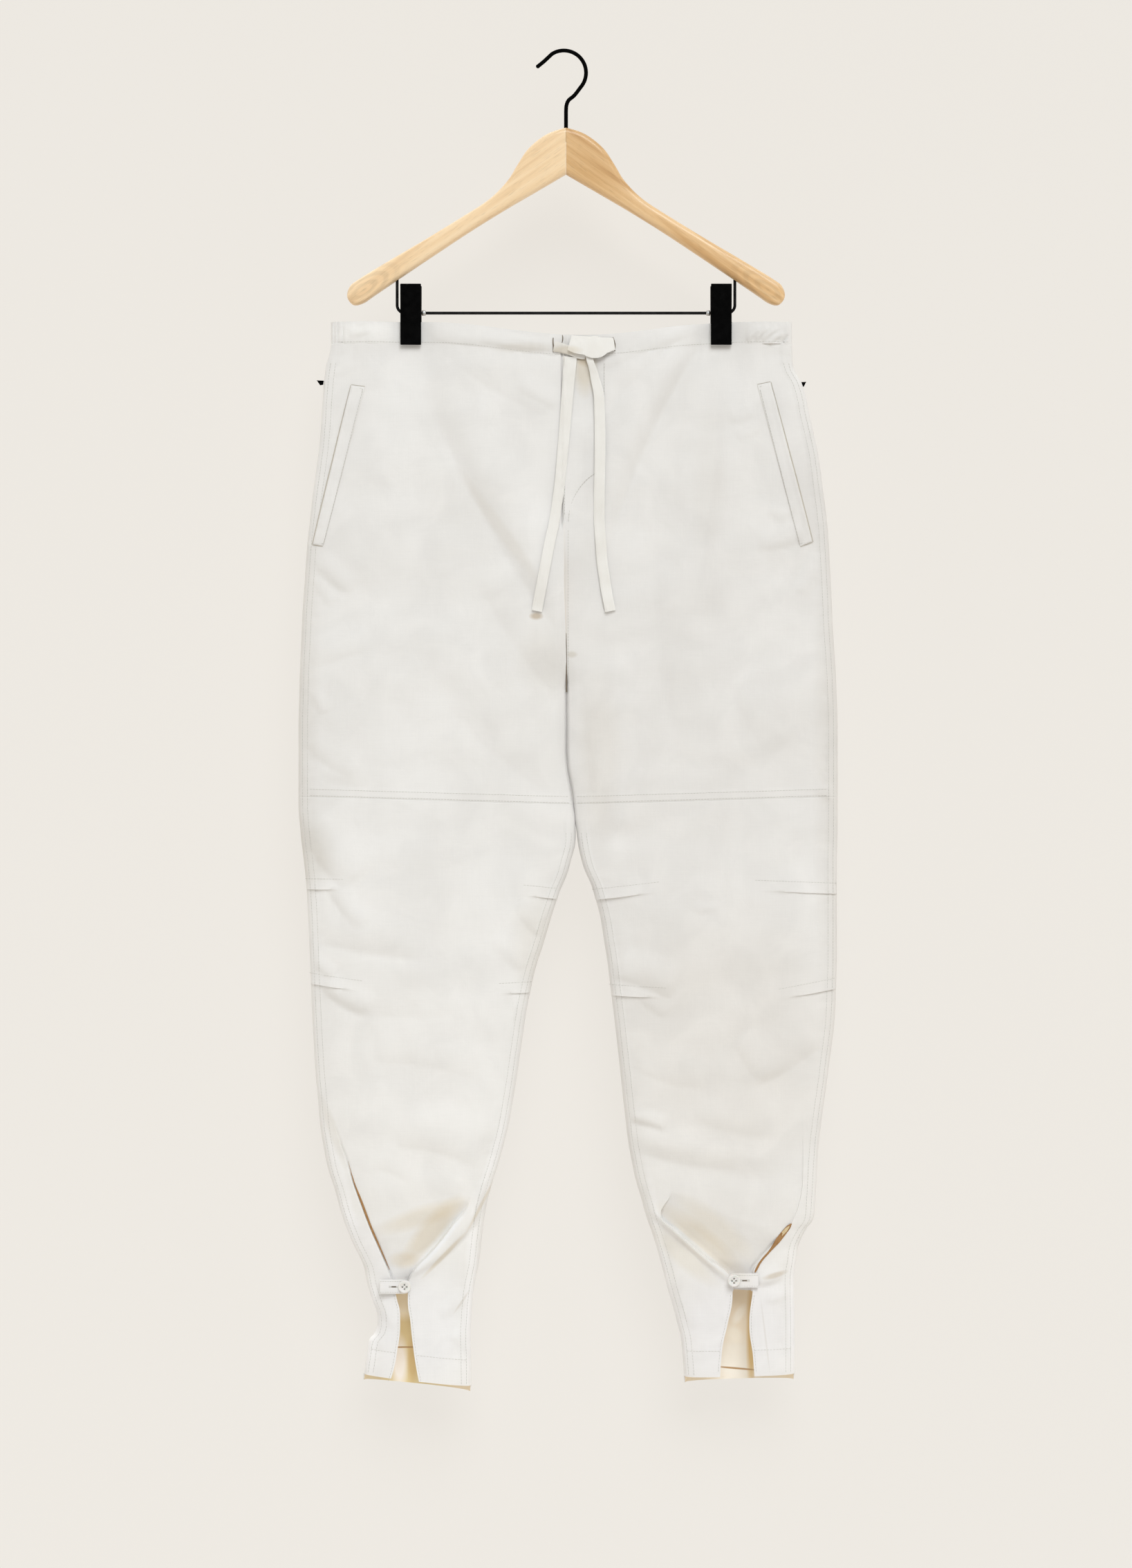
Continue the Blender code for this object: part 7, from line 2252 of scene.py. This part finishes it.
def wood_finish(name, way, pale, mid, dark, at_mitre):
    """Varnished beech: streaks along the arm, fine dark pores and rings towards its end."""
    finish = Finish(name, 0.42, Coat_Weight=0.35, Coat_Roughness=0.18)
    slope = math.radians(-35.0) * way
    streaks = finish.noise(1.0, 5.0, finish.turned_place(slope, (8.0, 60.0, 190.0)), 0.35)
    colour = finish.ramp(streaks, (0.30, dark), (0.48, mid), (0.68, pale))
    from_end = finish.from_place((0.204 * way, 0.0, -0.241), (0.0, -slope, 0.0), (0.055, 0.040, 0.020))
    rings = finish.node(
        "TexWave", {"Vector": from_end, "Scale": 1.3, "Distortion": 1.2},
        wave_type="RINGS", rings_direction="Y",
    )["Fac"]
    at_end = finish.within(0.200 * way, -0.238, 0.050, 0.024, 35.0 * way, WOOD_REACH)
    colour = finish.mixed(at_end, colour, finish.times(colour, finish.spread(rings, 0.2, 0.8, 0.91, 1.03)))
    near_mitre = finish.within(0.030 * way, -0.100, 0.080, 0.060, 0.0, WOOD_REACH)
    colour = finish.mixed(near_mitre, colour, finish.times(colour, (*at_mitre, 1.0)))
    pores = finish.noise(1.0, 2.0, finish.turned_place(slope, (90.0, 900.0, 1500.0)))
    finish.colour(finish.times(colour, finish.spread(pores, 0.30, 0.42, 0.80, 1.0), 0.75))
    finish.rough(finish.spread(streaks, 0.3, 0.7, 0.46, 0.34))
    finish.bump(pores, 0.00025, 0.35)
    return finish.material


def black_finish(name, base, edge, roughness):
    """Matt black coating with a fine grain and slightly worn, lighter patches."""
    finish = Finish(name, roughness, Specular_IOR_Level=0.02)
    finish.mottled(180.0, base, edge, 5.0, (0.35, 0.75))
    grain = finish.noise(1400.0, 3.0)
    finish.rough(finish.spread(grain, 0.3, 0.7, roughness - 0.08, roughness + 0.10))
    finish.bump(grain, 0.00012, 0.4)
    return finish.material


def zinc_finish():
    """Zinc plating, with fine lines round the collar."""
    finish = Finish("zinc plated steel", 0.34, Metallic=1.0)
    finish.mottled(500.0, (0.50, 0.51, 0.52), (0.66, 0.67, 0.68))
    lines = finish.noise(1.0, 3.0, finish.turned_place(0.0, (2600.0, 200.0, 200.0)))
    finish.rough(finish.spread(lines, 0.3, 0.7, 0.26, 0.44))
    finish.bump(lines, 0.00006, 0.4)
    return finish.material


def plastic_finish():
    """White plastic with a satin skin that lets a little light in."""
    finish = Finish("white moulded plastic", 0.60, Subsurface_Weight=0.08, Subsurface_Scale=0.002)
    finish.mottled(140.0, (0.74, 0.73, 0.705), (0.79, 0.78, 0.76))
    finish.rough(finish.spread(finish.noise(900.0, 2.0), 0.3, 0.7, 0.55, 0.66))
    return finish.material


def wall_finish():
    """The stage's pale wall: it shows and gives light only from its front."""
    finish = Finish("pale wall", 0.95, Emission_Strength=0.85)
    finish.shader.inputs["Emission Color"].default_value = (0.845, 0.812, 0.760, 1.0)
    finish.mottled(1.2, (0.110, 0.105, 0.098), (0.116, 0.111, 0.104), 2.0)
    hidden = finish.node("NewGeometry", {})["Backfacing"]
    clear = finish.node("BsdfTransparent", {})["BSDF"]
    shown = finish.node("MixShader", {"Fac": hidden, 1: finish.shader.outputs["BSDF"], 2: clear})["Shader"]
    finish.links.new(shown, finish.nodes["Material Output"].inputs["Surface"])
    return finish.material


def floor_finish():
    """The stage's pale floor."""
    finish = Finish("pale floor", 0.9)
    finish.mottled(2.0, (0.74, 0.72, 0.69), (0.77, 0.75, 0.72), 2.0)
    return finish.material


CAMERA_PLACE = (0.0, -4.015, -0.741)
CAMERA_LENS = 91.0
WALL_Y = 0.075
WALL_TOP = 3.0
FLOOR_Z = -1.75
STAGE_X = 4.0
STAGE_Y = 6.0
# Each light: name, direction, spread in degrees, strength and colour
LIGHTS = (
    ("window", (-0.17, 1.0, -0.92), 36.0, 1.88, (0.945, 0.980, 1.0)),
    ("low fill", (0.3, 1.0, 0.5), 60.0, 0.09, (1.0, 0.88, 0.72)),
    ("left fill", (1.0, 0.10, -0.1), 50.0, 0.40, (1.0, 0.96, 0.90)),
    ("right fill", (-1.0, 0.10, -0.1), 50.0, 0.40, (1.0, 0.96, 0.90)),
    ("back", (0.35, -0.60, -1.0), 24.0, 0.80, (1.0, 0.97, 0.92)),
)


def camera():
    data = bpy.data.cameras.new("camera")
    data.sensor_fit = "VERTICAL"
    data.sensor_height = 36.0
    data.lens = CAMERA_LENS
    obj = linked("camera", data)
    obj.location = CAMERA_PLACE
    obj.rotation_euler = UPRIGHT
    bpy.context.scene.camera = obj


def distant_light(name, direction, spread, strength, colour):
    """A soft, even light from far away, as from a large window."""
    data = bpy.data.lights.new(name, "SUN")
    data.angle = math.radians(spread)
    data.energy = strength
    data.color = colour
    linked(name, data).rotation_euler = Vector(direction).to_track_quat("-Z", "Y").to_euler()


def lighting():
    for light in LIGHTS:
        distant_light(*light)
    world = bpy.data.worlds.new("studio")
    bpy.context.scene.world = world
    world.use_nodes = True
    background = world.node_tree.nodes["Background"]
    background.inputs["Color"].default_value = (1.0, 0.950, 0.865, 1.0)
    background.inputs["Strength"].default_value = 0.406
    bpy.context.scene.view_settings.view_transform = "Standard"


def plane(name, corners, finish):
    data = bpy.data.meshes.new(name)
    data.from_pydata(corners, [], [range(len(corners))])
    data.materials.append(finish)
    obj = linked(name, data)
    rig.stage(obj)
    return obj


def stage():
    """The wall behind the garment, which casts no shadow, and the floor."""
    upright = ((-STAGE_X, FLOOR_Z), (STAGE_X, FLOOR_Z), (STAGE_X, WALL_TOP), (-STAGE_X, WALL_TOP))
    wall = plane("wall", [(x, WALL_Y, z) for x, z in upright], wall_finish())
    wall.visible_shadow = False
    plane("floor", [(x * STAGE_X, y * STAGE_Y, FLOOR_Z) for x, y in SQUARE], floor_finish())


def upper_guides():
    """The rows that an upper front's cells follow, from the waist to the knee seam."""
    guides = [level(WAIST_SEAM + move) for move in (UNDERLAP, 2.5 * CRISP, 0.5 * CRISP)]
    guides += [level(-0.37), level(-0.61), level(CROTCH)]
    return guides + [beside(KNEE, move) for move in (KNEE_LAP + 2.0 * CRISP, KNEE_LAP, CRISP, 0.0)]


def lower_guides(leg):
    """The rows that a lower front's cells follow: the knee seam, tucks, ankle and hem."""
    tucks = leg.tucks[FRONT]
    guides = [beside(KNEE, move) for move in (UNDERLAP, CRISP, -CRISP / 2.0, -0.0014)]
    for pair in (tucks[:2], tucks[2:]):
        for move in (0.004, 0.0, -TUCK_DROP / 2.0, -TUCK_DROP):
            guides.append(along_tucks(*pair, move))
    guides += [level(-1.0600, -1.0650), level(-1.1500), level(SLIT_TOP)]
    guides += [beside(leg.hem, move) for move in (HEM_WIDTH, HEM_WIDTH - CRISP, HEM_LAST_CELL, 0.0)]
    return guides


def back_guides(leg):
    """The rows that a back's cells follow, from the waist to its lower hem."""
    guides = [level(WAIST_SEAM + move) for move in (UNDERLAP, 2.5 * CRISP, 0.5 * CRISP)]
    guides += [level(-0.34), level(-0.61), level(CROTCH), level(-1.06, -1.065)]
    below = [move - BACK_DROP for move in (HEM_WIDTH, HEM_WIDTH - CRISP, HEM_LAST_CELL, 0.0)]
    return guides + [beside(leg.hem, move) for move in below]


def hung(piece, flat, rests_on, area=None):
    """States the size of the cut that a piece of cloth was made from, as far as it shows."""
    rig.sheet(piece, flat=flat, held="hung", rests_on=rests_on, area=area)


def main():
    """The stage, the cloth of each leg, the waistband and fly, and the hanger."""
    camera()
    lighting()
    stage()
    cotton = (cotton_finish(), inside_finish())
    tape = tape_finish()
    thread = thread_finish()
    plastic = plastic_finish()
    black = black_finish("black coated steel", (0.0010, 0.0010, 0.0011), (0.0028, 0.0028, 0.0029), 0.55)
    dark_wire = black_finish("dark wire", (0.006, 0.006, 0.006), (0.018, 0.018, 0.019), 0.42)
    wood = {
        "left": wood_finish("pale beech", -1, *PALE_BEECH),
        "right": wood_finish("darker beech", 1, *DARKER_BEECH),
    }
    # Dark and tan finishes for strips in openings: painted shade and painted shadow
    slit = opening_finish("shadowed slit", (0.16, 0.13, 0.10), (0.24, 0.20, 0.16))
    pleat = opening_finish("shadowed pleat", (0.30, 0.165, 0.07), (0.42, 0.24, 0.11))
    fold = opening_finish("inner fold of a pleat", (0.60, 0.47, 0.27), (0.68, 0.55, 0.35))
    mouth = opening_finish("shadowed pocket mouth", (0.50, 0.465, 0.41), (0.58, 0.545, 0.49))
    drawstring(tape)
    shadow_lines(SLITS, slit)
    shadow_lines({**pleat_line(), **PLEAT_GAPE}, pleat)
    shadow_lines(PLEAT_TIP, fold, TIP_LIFT)
    for side, leg in LEGS.items():
        upper = panel("upper_" + side, leg, FRONT, upper_guides(), UPPER_STATIONS, FRONT_CELL, cotton)
        belongs(upper, "cotton", "front_upper_" + side)
        hung(upper, (0.285, 0.475), ["casing_front"], 0.126)
        guides = lower_guides(leg)
        lower = panel("lower_" + side, leg, FRONT, guides, LOWER_STATIONS, FRONT_CELL, cotton, True)
        belongs(lower, "cotton", "front_lower_" + side)
        hung(lower, (0.285, 0.605), [upper], 0.127)
        back = panel("seat_and_leg_" + side, leg, BACK, back_guides(leg), BACK_STATIONS, BACK_CELL, cotton)
        belongs(back, "cotton", "back_" + side)
        hung(back, (0.285, 1.065), ["casing_back"], 0.248)
        stitch_fronts(side, thread)
        stitch_backs(side, thread)
        tab = ankle_tab(side, cotton[0], plastic, thread, slit)
        hung(tab, (0.0155, 0.0315), [lower])
        welt = pocket_welt(side, cotton)
        belongs(welt, "cotton", "pocket_welt_" + side)
        hung(welt, (0.0140, 0.1650), [upper])
        pocket_mouth(side, mouth)
    for face, word in ((FRONT, "front"), (BACK, "back")):
        band = belongs(casing("casing_" + word, face, cotton), "cotton", "waistband_" + word)
        hung(band, (0.467, 0.0255), ["jaw_" + word + "_left", "jaw_" + word + "_right"])
    placket = belongs(fly(cotton), "cotton", "fly_placket")
    hung(placket, (0.0435, 0.1670), ["upper_right"], 0.0066)
    stitch_trimmings(thread)
    side_eyes(black)
    hanger(wood, black, dark_wire)
    clips(black, zinc_finish())


main()
bpy.context.view_layer.update()
with open("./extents.json", "w") as out:
    boxes = {"cad": cad_box, "visual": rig.bounds()}
    json.dump({name: [list(corner) for corner in box] for name, box in boxes.items()}, out)
